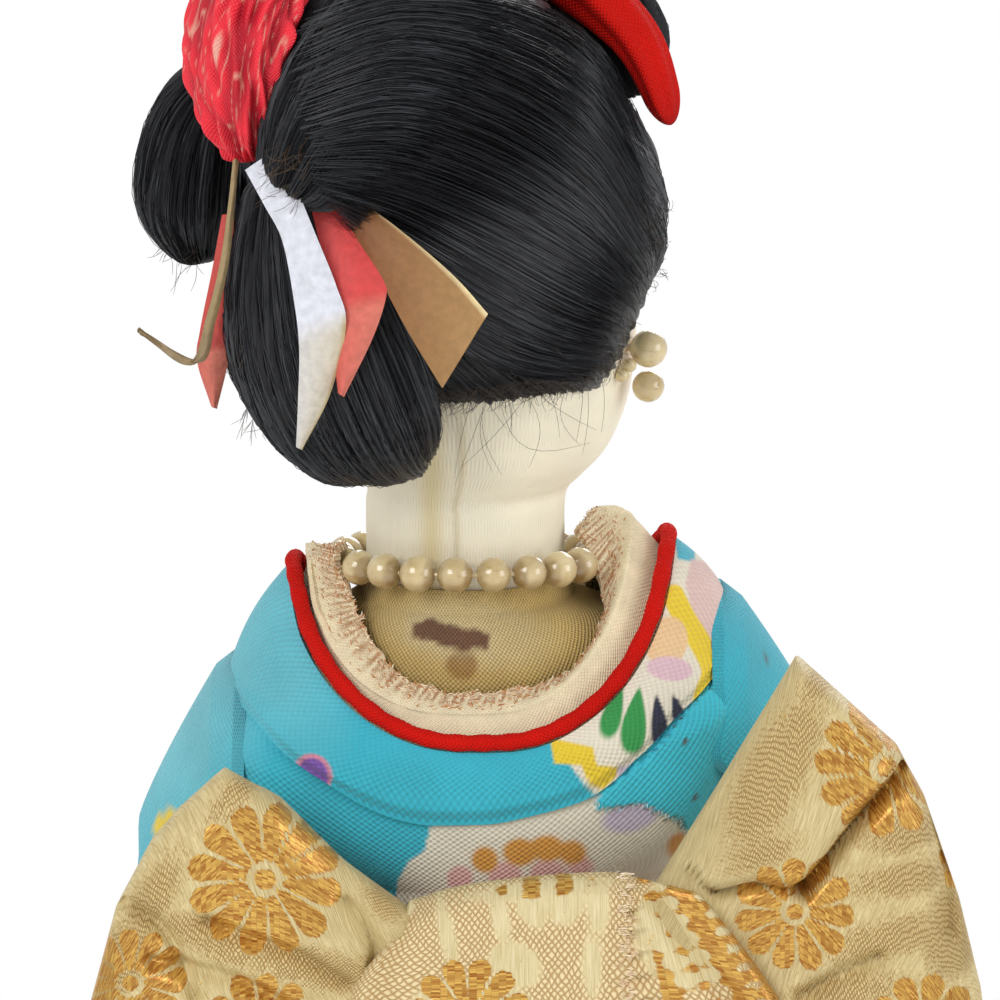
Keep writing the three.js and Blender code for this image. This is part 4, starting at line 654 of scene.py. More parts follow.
glued = lay(glued, "#7a4f38", 0.95 * patch(across, down + ragged, GLUE_SMEAR, 4))
stain = np.where((outer[..., 1] > 0)[..., None], glued, stain)
inner = raised(gauze_skin, angle, v, np.full((GAUZE_ROWS, GAUZE_COLUMNS), -0.5))
skin = add_surface(
    "torso_gauze_skin", np.concatenate([outer, lining_rows(inner)]), True,
    {"stain": both_sides(stain)},
)
dress(skin, gauze, "figure", "gauze", "torso_gauze")

# The head: a moulded form covered in cream silk, with the neck in one piece and a seam down the nape.
# Eyes, brows and mouth are painted on the silk. A wooden peg in the neck lets the head turn.
HEAD_TURN = np.radians(40)
NECK_WORLD = np.array(next(j for j in frame["joints"] if j["name"] == "head_turn")["pos_m"]) / MM
NECK_RADIUS = 11.2
NECK_SINK = 4.0
CHIN = 12.0
HEAD_HEIGHT = 48.0
HEAD_HALF_WIDTH = 18.2
HEAD_FRONT = 20.8
HEAD_BACK = 21.0
HEAD_SHAPE = [
    (0, 0.6, 0.62, 0.52), (0.03, 0.66, 0.74, 0.55), (0.09, 0.78, 0.9, 0.6), (0.2, 0.91, 0.985, 0.7),
    (0.33, 0.98, 1, 0.82), (0.5, 1, 0.985, 0.95), (0.67, 0.985, 0.95, 1), (0.8, 0.88, 0.82, 0.92),
    (0.91, 0.64, 0.58, 0.7), (0.98, 0.3, 0.26, 0.4), (1.0, 0.02, 0.02, 0.02),
]
HEAD_ROWS = 160
HEAD_COLUMNS = 300


def on_head(points):
    """Head points, facing -Y from the foot of the neck, turned and set on the body."""
    x, y = points[..., 0], points[..., 1]
    c, s = np.cos(HEAD_TURN), np.sin(HEAD_TURN)
    return np.stack([x * c + y * s, y * c - x * s, points[..., 2]], -1) + NECK_WORLD


neck_heights = (-NECK_SINK, CHIN * 0.2, CHIN * 0.5, CHIN * 0.86)
stations = [(z, NECK_RADIUS, NECK_RADIUS, NECK_RADIUS) for z in neck_heights]
stations += [
    (
        CHIN + share * HEAD_HEIGHT, half * HEAD_HALF_WIDTH, front * HEAD_FRONT,
        max(back * HEAD_BACK, NECK_RADIUS * (share < 0.9)),
    )
    for share, half, front, back in HEAD_SHAPE
]
height, half, front, back = (column[:, None] for column in spline(stations, HEAD_ROWS).T)
spin = round_angles(HEAD_COLUMNS)[None, :]
spin = spin + 0.35 * np.cos(spin)
c, s = np.cos(spin), np.sin(spin)
x, y = half * c, np.where(s > 0, back, front) * s
facing = np.clip(-s, 0, 1)


def knoll(middle_x, middle_z, size_x, size_z):
    """A soft round rise on the face, 1 at its middle, the same on both sides of it."""
    away = ((np.abs(x) - middle_x) / size_x) ** 2 + ((height - middle_z) / size_z) ** 2
    return np.exp(-away) * facing**2


relief = 1.9 * np.exp(-((x / 1.5) ** 2)) * np.exp(-(((height - 29.2) / 2.6) ** 2)) * facing
relief += 1.0 * np.exp(-((x / 1.3) ** 2)) * np.exp(-(((height - 33.5) / 3.4) ** 2)) * facing
# Nostrils, eye sockets and eyelids, then the two lips, the chin and the line between the lips.
for rise, *knoll_place in (
    (0.7, 1.5, 28.2, 0.9, 1.0), (-0.9, 6.6, 34.2, 3.8, 2.4), (0.45, 6.6, 33.9, 2.8, 1.4),
    (0.5, 0, 22.6, 2.2, 0.8), (0.55, 0, 20.6, 2.0, 0.9), (0.6, 0, 15.5, 4.0, 2.4),
    (-0.35, 0, 21.6, 2.6, 0.35),
):
    relief += rise * knoll(*knoll_place)
seam_place = np.exp(-(((spin - TURN / 4 - 0.62) / 0.035) ** 2)) * np.clip((26 - height) / 6, 0, 1)
relief = relief + 0.16 * seam_place * (0.6 + 0.4 * np.sin(height * 5))
head_grid = np.stack([x + relief * c, y + relief * s, np.broadcast_to(height, x.shape)], -1)

silk = even_dye("#fbf3db", head_grid)
yellowed = np.exp(-(((spin - TURN / 4 - 0.36) / 0.13) ** 2)) * np.clip((28 - height) / 10, 0, 1)
silk = lay(silk, "#e3d19a", 0.75 * yellowed)
silk = lay(silk, "#d5c69f", 0.6 * seam_place)
silk = lay(silk, "#d8c490", 0.55 * np.clip((2.5 - height) / 5, 0, 1) * np.ones_like(x))
on_face = np.broadcast_to(s < -0.3, x.shape)
side_x = np.abs(x)
tall = np.broadcast_to(height, x.shape)
lid = tall + 0.05 * (side_x - 6.6) ** 2
lash_z = 35.4 - 0.045 * (side_x - 6.4) ** 2
brow_z = 40.6 - 0.04 * (side_x - 6.5) ** 2
# Cheeks, whites, irises, glints, lashes, brows, upper lip, lower lip and the line between the lips.
for colour, amount, across, up, middle, size, turn, soft in (
    ("#e8b0a0", 0.45, side_x, tall, (9.5, 26.5), (5.5, 4.5), 0, 6),
    ("#fbf8f2", 1, side_x, lid, (6.6, 34.3), (2.9, 1.05), 4, 0.4),
    ("#2a1a14", 1, side_x, lid, (6.4, 34.4), (1.15, 1.1), 0, 0.35),
    ("#f8f6f2", 1, side_x, lid, (6.0, 34.9), (0.3, 0.3), 0, 0.3),
    ("#17110f", 1, side_x, tall, (6.8, lash_z), (3.5, 0.38), 0, 0.35),
    ("#3a2a24", 0.9, side_x, tall, (7.4, brow_z), (4.2, 0.5), 0, 0.5),
    ("#b3202a", 1, side_x, tall, (0.75, 22.5), (1.7, 0.75), -14, 0.4),
    ("#b3202a", 1, x, tall, (0, 20.9), (1.9, 0.95), 0, 0.4),
    ("#6e1218", 0.8, x, tall, (0, 21.7), (2.1, 0.22), 0, 0.3),
):
    silk = lay(silk, colour, on_face * amount * cover(across, up, middle, size, turn, soft=soft))

# Stretched silk: a satin cream with a fine upright weave; the threads are drawn 0.4 mm apart to show.
silk_looks = dict(
    shade=0.06, mottle=9.0, Sheen_Weight=0.12,
    Subsurface_Weight=0.08, Subsurface_Radius=(0.002, 0.0012, 0.0008),
)
skin_silk = cloth_material(
    "stretched_cream_silk", "#fbf3db", 0.42, 6.0, 0.02, 0.7, layer="paint", **silk_looks
)
bare_silk = cloth_material("stretched_plain_silk", "#f3ebd4", 0.42, 6.0, 0.02, 0.7, **silk_looks)
head_piece = add_surface("silk_covered_head", on_head(head_grid), False, {"paint": silk})
dress(head_piece, skin_silk, "head", "silk_skin", "head")

# The pearls: glass beads dipped in pearl lacquer. A string of them lies round the foot of the neck,
# and each ear has one on a pin with two seed pearls and another that swings below.
BEAD_RADIUS = 2.0
BEAD_COUNT = 21
NECKLACE_RADIUS = 14.25
NECKLACE_RISE = 3.7
NECKLACE_TILT = np.radians(5)
STRING_RADIUS = 0.3
EAR_TURN = np.radians(25)
EAR_HEIGHT = 28.5
STUD_RADIUS = 2.1
DROP_RADIUS = 1.8
SEED_RADIUS = 0.8


def ball_grid(middle, radius, rows=20, columns=28):
    """A sphere as rings from pole to pole."""
    down = np.linspace(0.02, np.pi - 0.02, rows)[:, None]
    around = round_angles(columns)[None, :]
    ring = np.sin(down)
    height = np.broadcast_to(np.cos(down), (rows, columns))
    return middle + radius * np.stack([ring * np.cos(around), ring * np.sin(around), height], -1)


def join(pieces, name):
    """Several pieces made one, under one name."""
    with bpy.context.temp_override(active_object=pieces[0], selected_editable_objects=pieces):
        bpy.ops.object.join()
    pieces[0].name = name
    return pieces[0]


# Pearl lacquer: an even soft gloss with a pale core glow, gone champagne and scuffed with age.
pearl, tree, shader = new_material(
    "champagne_pearl_lacquer", "#d9c697", 0.3, Coat_Weight=0.9, Coat_Roughness=0.07,
    Subsurface_Weight=0.12, Subsurface_Radius=(0.0012, 0.0009, 0.0005),
)
tones = blended(tree, noise(tree, 3.5, 2.0), "#a8884c", "#f1e2b6")
scuffed = ranged(tree, noise(tree, 0.5, 3.0), 0.62, 0.72, 0.0, 0.5)
aged = blended(tree, scuffed, tones, "#79602f")
# Each bead is darker round its string holes, with dirt and painted shade where it meets its neighbours, and
# with painted shade on its underside.
dirty_and_shaded = blended(tree, painted(tree, "grime"), aged, "#7b5a24")
feed(tree, shader, Base_Color=dirty_and_shaded, Roughness=ranged(tree, scuffed, to_low=0.22, to_high=0.6))

tilt_c, tilt_s = np.cos(NECKLACE_TILT), np.sin(NECKLACE_TILT)
beads = []
for k in range(BEAD_COUNT):
    around = k * TURN / BEAD_COUNT
    x, y = NECKLACE_RADIUS * np.cos(around), NECKLACE_RADIUS * np.sin(around)
    middle = NECK_WORLD + [x, y * tilt_c, NECKLACE_RISE + y * tilt_s]
    bead = ball_grid(middle, BEAD_RADIUS * (1 + 0.03 * np.sin(5 * k)))
    facing = unit(bead - middle)
    # Grime and painted shade: darker where the bead meets its neighbours at the string holes, and on its
    # underside.
    at_hole = np.abs(facing @ np.array([-np.sin(around), np.cos(around), 0]))
    grime = np.clip((at_hole - 0.5) / 0.4, 0, 0.45) + 0.6 * np.clip(-facing[..., 2], 0, 1)
    grime = grime + 0.15 * np.sin(3 * k)
    beads.append(add_surface(f"bead_{k}", bead, False, {"grime": np.clip(grime, 0, 0.9)}))
around = round_angles(120)
ring = np.stack([np.cos(around), np.sin(around) * tilt_c, np.sin(around) * tilt_s], -1)
fold = round_angles(8)
reach = NECKLACE_RADIUS + STRING_RADIUS * np.cos(fold)
string = NECK_WORLD + [0, 0, NECKLACE_RISE] + ring[:, None] * reach[None, :, None]
string = string + STRING_RADIUS * np.sin(fold)[None, :, None] * np.array([0, -tilt_s, tilt_c])
beads.append(add_surface("bead_string", string, True))
dress(join(beads, "pearl_bead_necklace"), pearl, "necklace", "pearl", "pearl_necklace")

share = (EAR_HEIGHT - CHIN) / HEAD_HEIGHT
shares, halves, fronts = list(zip(*HEAD_SHAPE))[:3]
ear_half = np.interp(share, shares, halves) * HEAD_HALF_WIDTH
ear_front = np.interp(share, shares, fronts) * HEAD_FRONT
for side, sign in (("left", 1), ("right", -1)):
    aside = np.array([sign * np.cos(EAR_TURN), -np.sin(EAR_TURN), 0])
    skin_place = np.array([sign * ear_half * np.cos(EAR_TURN), -ear_front * np.sin(EAR_TURN), EAR_HEIGHT])
    stud = skin_place + aside * (STUD_RADIUS + GAP)
    rear = np.array([0, 1, 0])
    seeds = [stud + rear * 2.6 - aside * 0.5 - [0, 0, 1.5], stud + rear * 3.1 - aside * 1.0 - [0, 0, 2.6]]
    pin = lobe([stud - aside * 6, stud - aside * 3, stud], (0, 0, 1), [0.4] * 3, [0.4] * 3, 12, 10)
    balls = [ball_grid(stud, STUD_RADIUS), pin, *(ball_grid(seed, SEED_RADIUS) for seed in seeds)]
    studs = [add_surface(f"{side}_stud_{k}", on_head(ball)) for k, ball in enumerate(balls)]
    dress(join(studs, f"{side}_ear_stud_pearl"), pearl, "head", "pearl", f"{side}_ear_stud")
    lower = stud - [0, 0, STUD_RADIUS + GAP + DROP_RADIUS]
    drop = add_surface(f"{side}_ear_drop_pearl", on_head(ball_grid(lower, DROP_RADIUS)))
    dress(drop, pearl, f"{side}_ear_drop", "pearl", f"{side}_ear_drop")

# The hair: combed black silk thread over paper forms, dressed as a cap with five padded loops.
# The threads lie close and shine along their length; old ends curl loose at the nape and the tips.
HAIR_MIDDLE = np.array([0, 0.1, 37.44])
HAIR_RADII = np.array([18.2, 20.9, 23.04])
NAPE_TILT = np.radians(-31)
BROW_TILT = np.radians(36)
GATHER_TILT = np.radians(31)
TEMPLE = np.radians(144)
TEMPLE_BLEND = np.radians(22)
EAR_SHAVE = np.radians([94, 130])
EAR_LIFT = np.radians(24)
CAP_ROWS = 56
CAP_COLUMNS = 760
THREAD_RADIUS = 0.055
THREAD_TONES = (0.1, 1.1)
CAP_THREADS = 1500
CURL_POINTS = 6
LOOP_ROWS = 44
LOOP_COLUMNS = 320
HAIR_LOOPS = {
    "hair_topknot": (
        [(0, -6, 66), (0, 2, 67), (0, 12, 68), (0, 24, 65), (0, 30, 60)], (1, 0, 0),
        [7, 13, 16.5, 17, 14, 7], [3, 8, 11, 11, 8, 3.5], 700,
    ),
    "hair_front_puff": (
        [(-13, -14, 56), (-8, -17, 62), (0, -18, 64.5), (8, -17, 62), (13, -14, 56)], (0, -0.6, 0.8),
        [1.5, 5, 6.5, 6.5, 5, 1.5], [1.5, 4.5, 5.5, 5.5, 4.5, 1.5], 350,
    ),
    "hair_nape_loop": (
        [(-2, 32.5, 52), (-3.2, 31.5, 42), (-3.4, 27.8, 31), (-3.6, 22, 22), (-4, 15.5, 18.4)], (1, 0, 0),
        [4, 8.5, 11.5, 12.5, 11, 5], [2, 4.5, 6.5, 7, 6, 2.5], 900,
    ),
    "hair_side_loop_left": (
        [(8.3, 28.6, 62), (13.3, 28.6, 55), (16.3, 27.1, 46), (16.3, 25.6, 39)], (1, 0, 0),
        [2, 4.6, 5.6, 5.4, 2], [2, 4.6, 5.8, 5.6, 2], 450,
    ),
    "hair_side_loop_right": (
        [(-13, 12, 75), (-14, 26, 66), (-11, 33.5, 58), (-7.6, 37.8, 49.6)], (0.6, 0.5, 0.62),
        [3, 7.5, 8.5, 7.5, 3.5], [2, 4.6, 5.6, 5, 2], 700,
    ),
}
DEPTH_CELL = 8.0
HAIRLINE = [(430, 400), (468, 396), (514, 391), (582, 380), (612, 362), (626, 345)]
SWEPT_GUIDES = [
    [(300, 20), (400, -10), (520, 0), (600, 50), (650, 150)],
    [(290, 80), (400, 40), (520, 70), (600, 130), (656, 230)],
    [(300, 130), (400, 110), (500, 140), (590, 200), (650, 280)],
    [(310, 170), (400, 180), (490, 215), (580, 265), (642, 305)],
    [(320, 195), (400, 228), (480, 275), (560, 318), (628, 340)],
    [(335, 210), (410, 268), (470, 318), (540, 352), (614, 364)],
    [(350, 225), (420, 298), (465, 348), (520, 374), (592, 380)],
]
SWEPT_COUNT = 1500
DOWN_COUNT = 420
STRAY_COUNT = 16
# Loose ends: the lock, the picture's corners of the field, count, seed, reach, fall in mm and turns.
FRIZZ = (
    ("cap", (430, 140), (600, 215), 90, 151, 1.2, (0, 0.8, -0.8), 3.2),
    ("cap", (460, 255), (600, 330), 110, 171, 1.2, (0, 0.8, -0.8), 3.2),
    ("cap", (470, 350), (605, 372), 40, 101, 1.2, (0, 0.8, -0.8), 3.2),
    ("cap", (640, 200), (668, 290), 60, 72, 0.9, (-0.7, 0, 0.2), 3.6),
    ("hair_side_loop_right", (278, 130), (318, 205), 60, 73, 1.6, (2.5, 1, -2.5), 3.0),
    ("hair_side_loop_left", (165, 235), (205, 275), 26, 74, 1.2, (1, 1, -2.0), 2.6),
    ("hair_nape_loop", (226, 330), (250, 450), 22, 75, 1.4, (1.0, 0, -3.0), 2.0),
)


def combed(seed, lowest, highest, size, count=40):
    """A relief of combed threads: sines of many whole frequencies round the lock, of seeded heights and
    phases, each drifting a little along it."""
    draw = np.random.default_rng(seed)
    waves = draw.integers(lowest, highest, count)
    phases = draw.uniform(0, TURN, count)
    drifts = draw.uniform(-2.5, 2.5, count)
    heights = size * draw.uniform(0.4, 1, count) / np.sqrt(count)
    parts = list(zip(waves, phases, drifts, heights))
    return lambda share, angle: sum(h * np.sin(w * angle + p + d * share) for w, p, d, h in parts)


def cap_point(angle, share, relief):
    """The hair cap: from the hairline, along great circles of an oval, to the gather behind the crown.
    It swells from the hairline and again at the gather."""
    front = eased(np.clip((np.abs(angle) - TEMPLE) / TEMPLE_BLEND + 0.5, 0, 1))
    behind_ear = eased(np.clip((np.abs(angle) - EAR_SHAVE[0]) / (EAR_SHAVE[1] - EAR_SHAVE[0]), 0, 1))
    tilt = NAPE_TILT + EAR_LIFT * behind_ear
    tilt = tilt + (BROW_TILT - tilt) * front
    start = np.stack([-np.cos(tilt) * np.sin(angle), np.cos(tilt) * np.cos(angle), np.sin(tilt)], -1)
    gather = np.array([0, np.cos(GATHER_TILT), np.sin(GATHER_TILT)])
    arc = np.arccos(np.clip(start @ gather, -1, 1))
    away = (np.sin((1 - share) * arc) / np.sin(arc))[..., None] * start
    away = away + (np.sin(share * arc) / np.sin(arc))[..., None] * gather
    gathered = eased(np.clip((share - 0.7) / 0.3, 0, 1))
    thick = 1.4 + 4.6 * np.sin(np.minimum(1, 2.2 * share) * TURN / 4) + 9 * gathered
    thick = (thick + relief) * np.clip(share / 0.03, 0.02, 1) ** 0.5
    return HAIR_MIDDLE + away * (HAIR_RADII + thick[..., None])


def sample(grid, row, column):
    """Values of a grid at broken rows and columns, mixed from the four nearest; columns run round."""
    rows, columns = grid.shape[:2]
    row = np.clip(row, 0, rows - 1.001)
    r, c = row.astype(int), np.floor(column).astype(int)
    fr, fc = (row - r)[..., None], (column - c)[..., None]
    near = grid[r, c % columns] * (1 - fc) + grid[r, (c + 1) % columns] * fc
    far = grid[r + 1, c % columns] * (1 - fc) + grid[r + 1, (c + 1) % columns] * fc
    return near * (1 - fr) + far * fr


def outward(grid):
    """Unit normals of a grid whose columns run round, pointing away from its middle."""
    normal = unit(np.cross(np.roll(grid, -1, 1) - np.roll(grid, 1, 1), np.gradient(grid, axis=0)))
    return normal * np.sign(np.mean(np.sum(normal * (grid - grid.mean((0, 1))), -1)))


def threads_over(grid, count, seed, points=12, lift=0.4, wander=0.012):
    """Lines of points along a grid's rows: each keeps near one column, sways slowly to the side, and
    rises off the surface in its middle by a seeded lift in mm."""
    draw = np.random.default_rng(seed)
    rows, columns = grid.shape[:2]
    t = np.linspace(0, 1, points)[None, :]
    start, end = draw.uniform(0, 0.3, (count, 1)), draw.uniform(0.7, 1, (count, 1))
    sway = np.sin(TURN * (t * draw.uniform(0.3, 1.1, (count, 1)) + draw.random((count, 1))))
    column = columns * (draw.random((count, 1)) + wander * draw.uniform(-1, 1, (count, 1)) * sway)
    row = (rows - 1) * (start + (end - start) * t)
    height = lift * draw.random((count, 1)) ** 2 * np.sin(np.pi * t) ** 0.5
    return sample(grid, row, column) + sample(outward(grid), row, column) * height[..., None]


def add_threads(name, lines, radius, tones):
    """Three-sided threads along lines of points, thinner at both ends; a tone for each in a layer."""
    count, points = lines.shape[:2]
    tangent = unit(np.gradient(lines, axis=1))
    side = unit(np.cross(tangent, np.array([0.31, 0.52, 0.79])))
    up = np.cross(tangent, side)
    thin = radius * (0.35 + 0.65 * np.sin(np.pi * np.linspace(0.08, 0.92, points)))[None, :, None, None]
    spin = np.arange(3) * TURN / 3
    ring = side[:, :, None] * np.cos(spin)[:, None] + up[:, :, None] * np.sin(spin)[:, None]
    tubes = lines[:, :, None] + thin * ring
    k, i, j = np.meshgrid(np.arange(count), np.arange(points - 1), np.arange(3), indexing="ij")
    base, following = (k * points + i) * 3, (j + 1) % 3
    quads = np.stack([base + j, base + following, base + 3 + following, base + 3 + j], -1).reshape(-1, 4)
    first = (np.arange(count) * points * 3)[:, None]
    ends = np.concatenate([first + [2, 1, 0], first + (points - 1) * 3 + [0, 1, 2]])
    corners = np.concatenate([quads.ravel(), ends.ravel()])
    sizes = np.concatenate([np.full(len(quads), 4), np.full(len(ends), 3)])
    layers = {"tone": np.repeat(tones, points * 3)}
    return add_mesh(name, tubes.reshape(-1, 3), corners, sizes, None, layers)


def thread_material(name, colour, roughness, dark, pale):
    """Loose threads of one kind, each between two colours by its own tone."""
    material, tree, shader = new_material(name, colour, roughness)
    feed(tree, shader, Base_Color=blended(tree, painted(tree, "tone"), dark, pale))
    return material


# Combed floss silk: near black, each thread a slightly different shade, with a cool sheen along it.
hair_silk, tree, shader = new_material(
    "combed_black_floss_silk", "#08080a", 0.42, Specular_IOR_Level=0.25
)
uv = add_node(tree, "UVMap", uv_map="UVMap").outputs[0]
stretch = add_node(tree, "Mapping", {"Vector": uv, "Scale": (1 / 0.35, 1 / 14, 1)}).outputs[0]
streak = add_node(tree, "TexNoise", {"Vector": stretch, "Scale": 1.0, "Detail": 3.0}).outputs[0]
lit = add_node(tree, "Math", {0: streak, 1: painted(tree, "tone")}, operation="MULTIPLY")
feed(tree, shader, Base_Color=blended(tree, lit.outputs[0], "#060607", "#53555b"))
emboss(tree, shader, streak, 0.15, 0.8)
# Loose silk ends have lost their dye and curl up brown.
brown_ends = thread_material("faded_brown_silk_ends", "#4a3826", 0.5, "#141110", "#5a4430")


def lay_hair(name, lines, tones, radius=THREAD_RADIUS, material=hair_silk):
    """Threads of hair along lines of points, as a piece that rides on the head."""
    dress(add_threads(name, lines, radius, tones), material, "head", "hair_silk")


cap_angle = np.linspace(-np.pi, np.pi, CAP_COLUMNS, endpoint=False)[None, :]
ragged = 0.006 * combed(11, 30, 160, 1.0)(0, cap_angle)
cap_share = ragged + (0.985 - ragged) * np.linspace(0, 1, CAP_ROWS)[:, None] ** 1.1
cap_relief = combed(12, 40, 230, 0.34)(cap_share * 3, cap_angle)
cap_relief = cap_relief + combed(13, 6, 24, 0.5, 12)(cap_share, cap_angle)
cap = on_head(cap_point(np.broadcast_to(cap_angle, cap_share.shape), np.abs(cap_share), cap_relief))
# Painted sheen: the combed ridges of the relief take a higher tone, and so paler streaks, while the hollows
# between them stay dark.
cap_tone = np.clip(0.5 + 0.5 * cap_relief, 0.1, 1.0)
cap_piece = add_surface("combed_hair_cap", cap, False, {"tone": cap_tone})
dress(cap_piece, hair_silk, "head", "hair_silk", "hair_cap")
draw = np.random.default_rng(21)
cap_lines = threads_over(cap, CAP_THREADS, 22, 10)
lay_hair("hair_cap_threads", cap_lines, draw.uniform(*THREAD_TONES, CAP_THREADS))
grids = {"cap": cap}
for order, (name, (path, side, wide, deep, count)) in enumerate(HAIR_LOOPS.items()):
    strands = combed(31 + order, 20, 110, 0.35)
    locks = combed(41 + order, 3, 12, 0.45, 10)
    relief = lambda share, angle: strands(share * 3, angle) + locks(share, angle)
    share = lobe_shares(LOOP_ROWS)[:, None]
    # Painted sheen: as on the cap, the raised threads of each loop take a higher tone, and so paler
    # streaks.
    tone = np.clip(0.5 + 0.6 * relief(share, round_angles(LOOP_COLUMNS)[None, :]), 0.1, 1.0)
    grids[name] = on_head(lobe(path, side, wide, deep, LOOP_ROWS, LOOP_COLUMNS, relief))
    piece = add_surface(name + "_combed", grids[name], False, {"tone": tone})
    dress(piece, hair_silk, "head", "hair_silk", name)
    lines = threads_over(grids[name], count, 51 + order, 9)
    lay_hair(name + "_threads", lines, draw.uniform(*THREAD_TONES, count))


def curls(starts, seed, reach, fall, turns):
    """Loose curled ends from points: arcs of a seeded radius and plane that also fall a seeded way."""
    draw = np.random.default_rng(seed)
    count = len(starts)
    t = np.linspace(0, 1, CURL_POINTS)[None, :, None]
    one = unit(draw.normal(size=(count, 1, 3)))
    two = unit(np.cross(one, draw.normal(size=(count, 1, 3))))
    radius = reach * draw.uniform(0.3, 1, (count, 1, 1))
    sweep = draw.uniform(0.4, 1, (count, 1, 1)) * turns * t
    drift = np.array(fall) * draw.uniform(0.2, 1, (count, 1, 1)) * t
    return starts[:, None] + radius * (np.sin(sweep) * one + (1 - np.cos(sweep)) * two) + drift


def nearest_seen(grid, across, down):
    """The grid points, on the side towards the picture, that fall nearest to picture places."""
    points = grid.reshape(-1, 3)
    seen = (outward(grid) @ VIEW_BACK).ravel() > 0
    points = points[seen]
    px, py = photo_place(points)
    return points[[np.argmin((px - a) ** 2 + (py - d) ** 2) for a, d in zip(across, down)]]


def seen_depth(grids, across, down):
    """The Y that surfaces reach at picture places: that of the foremost point in each cell of a few
    pixels, or in the cells round it."""
    points = np.concatenate([grid.reshape(-1, 3) for grid in grids])
    points = points[np.argsort(points @ VIEW_BACK)]
    cells = 1 + int(1.4 * PICTURE_PIXELS / DEPTH_CELL)
    margin = 0.2 * PICTURE_PIXELS
    cell_of = lambda place: np.clip((place + margin) / DEPTH_CELL, 0, cells - 1).astype(int)
    px, py = photo_place(points)
    field = np.full((cells, cells), -99.0)
    field[cell_of(py), cell_of(px)] = points[:, 1]
    field = np.max([np.roll(field, (i, j), (0, 1)) for i in (-1, 0, 1) for j in (-1, 0, 1)], axis=0)
    return field[cell_of(down), cell_of(across)]


def drawn_strands(guides, grids, count, seed, lift):
    """Hairs drawn in the picture: each lies between two neighbouring guide curves, covers a seeded part
    of their length, and rests on the foremost surface, evened along the hair."""
    draw = np.random.default_rng(seed)
    curves = np.stack([spline(guide, 60) for guide in guides])
    pick = draw.random((count, 1)) * (len(guides) - 1.001)
    start, end = draw.uniform(0, 0.35, (count, 1)), draw.uniform(0.6, 1, (count, 1))
    along = np.rint(59 * (start + (end - start) * np.linspace(0, 1, 11))).astype(int)
    low = pick.astype(int)
    line = curves[low, along] + (curves[low + 1, along] - curves[low, along]) * (pick - low)[..., None]
    line = line + draw.normal(0, 2.5, (count, 1, 2))
    depth = seen_depth(grids, line[..., 0], line[..., 1])
    for _ in range(3):
        depth[:, 1:-1] = np.maximum(depth[:, 1:-1], (depth[:, :-2] + depth[:, 2:]) / 2)
    return photo_point(line[..., 0], line[..., 1], depth + lift * draw.random((count, 1)))


for part, first, last in (("upper", 0, 4), ("lower", 3, 7)):
    under = [cap, grids["hair_side_loop_right"]]
    swept = drawn_strands(SWEPT_GUIDES[first:last], under, SWEPT_COUNT, 63 + first, 0.5)
    lay_hair(f"swept_back_hair_{part}", swept, draw.uniform(*THREAD_TONES, SWEPT_COUNT) ** 1.5)
down_roots = draw.uniform((430, 0), (622, 0), (DOWN_COUNT, 2))
roots = np.concatenate([down_roots, draw.uniform((470, 0), (600, 0), (STRAY_COUNT, 2))])
roots[:, 1] = np.interp(roots[:, 0], *zip(*HAIRLINE)) + draw.uniform(-10, 3, len(roots))
down_falls = draw.normal((-6, 12), (9, 7), (DOWN_COUNT, 2))
falls = np.concatenate([down_falls, draw.normal((10, 62), (34, 22), (STRAY_COUNT, 2))])
t = np.linspace(0, 1, 10)[None, :, None]
bow = draw.normal(0, 0.16, (len(roots), 1, 1)) * falls[:, None, ::-1] * [1, -1]
nape = roots[:, None] + falls[:, None] * t + bow * np.sin(np.pi * t)
nape_depth = seen_depth([cap, on_head(head_grid)], nape[..., 0], nape[..., 1])
nape_depth = np.minimum(nape_depth, nape_depth[:, :1]) + 0.3
nape_lines = photo_point(nape[..., 0], nape[..., 1], nape_depth)
lay_hair("fine_nape_hairs", nape_lines, draw.uniform(0, 0.5, len(nape)), 0.03, brown_ends)
frizz = []
for lock, low, high, count, seed, reach, fall, turns in FRIZZ:
    spots = draw.uniform(low, high, (count, 2))
    frizz.append(curls(nearest_seen(grids[lock], *spots.T), seed, reach, fall, turns))
frizz = np.concatenate(frizz)
lay_hair("loose_hair_ends", frizz, draw.uniform(0, 1, len(frizz)), THREAD_RADIUS * 0.6, brown_ends)

# The red crepe in the hair: a dappled length gathered into a tie behind the crown, and a plain band
# folded across the head behind the front puff. Both are pinned through the hair.
TIE_PATH = [(0.2, 30.5, 75), (-0.3, 35.5, 71), (-0.6, 38, 64.5), (-0.9, 37.6, 57.8), (-1.2, 36, 53.2)]
TIE_WIDE = [3, 6, 6.4, 5.8, 4.8, 2]
TIE_DEEP = [1.5, 3.2, 3.8, 3.6, 3, 1.2]
TIE_ROWS = 80
TIE_COLUMNS = 270
BAND_PATH = [(-17.5, -15, 53), (-14, -11, 64), (0, -7, 73), (14, -11, 64), (17.5, -15, 53)]
BAND_WIDE = [2, 3.2, 3.4, 3.4, 3.2, 2]
BAND_DEEP = [1, 2.2, 4, 4, 2.2, 1]
BAND_ROWS = 84
BAND_COLUMNS = 110

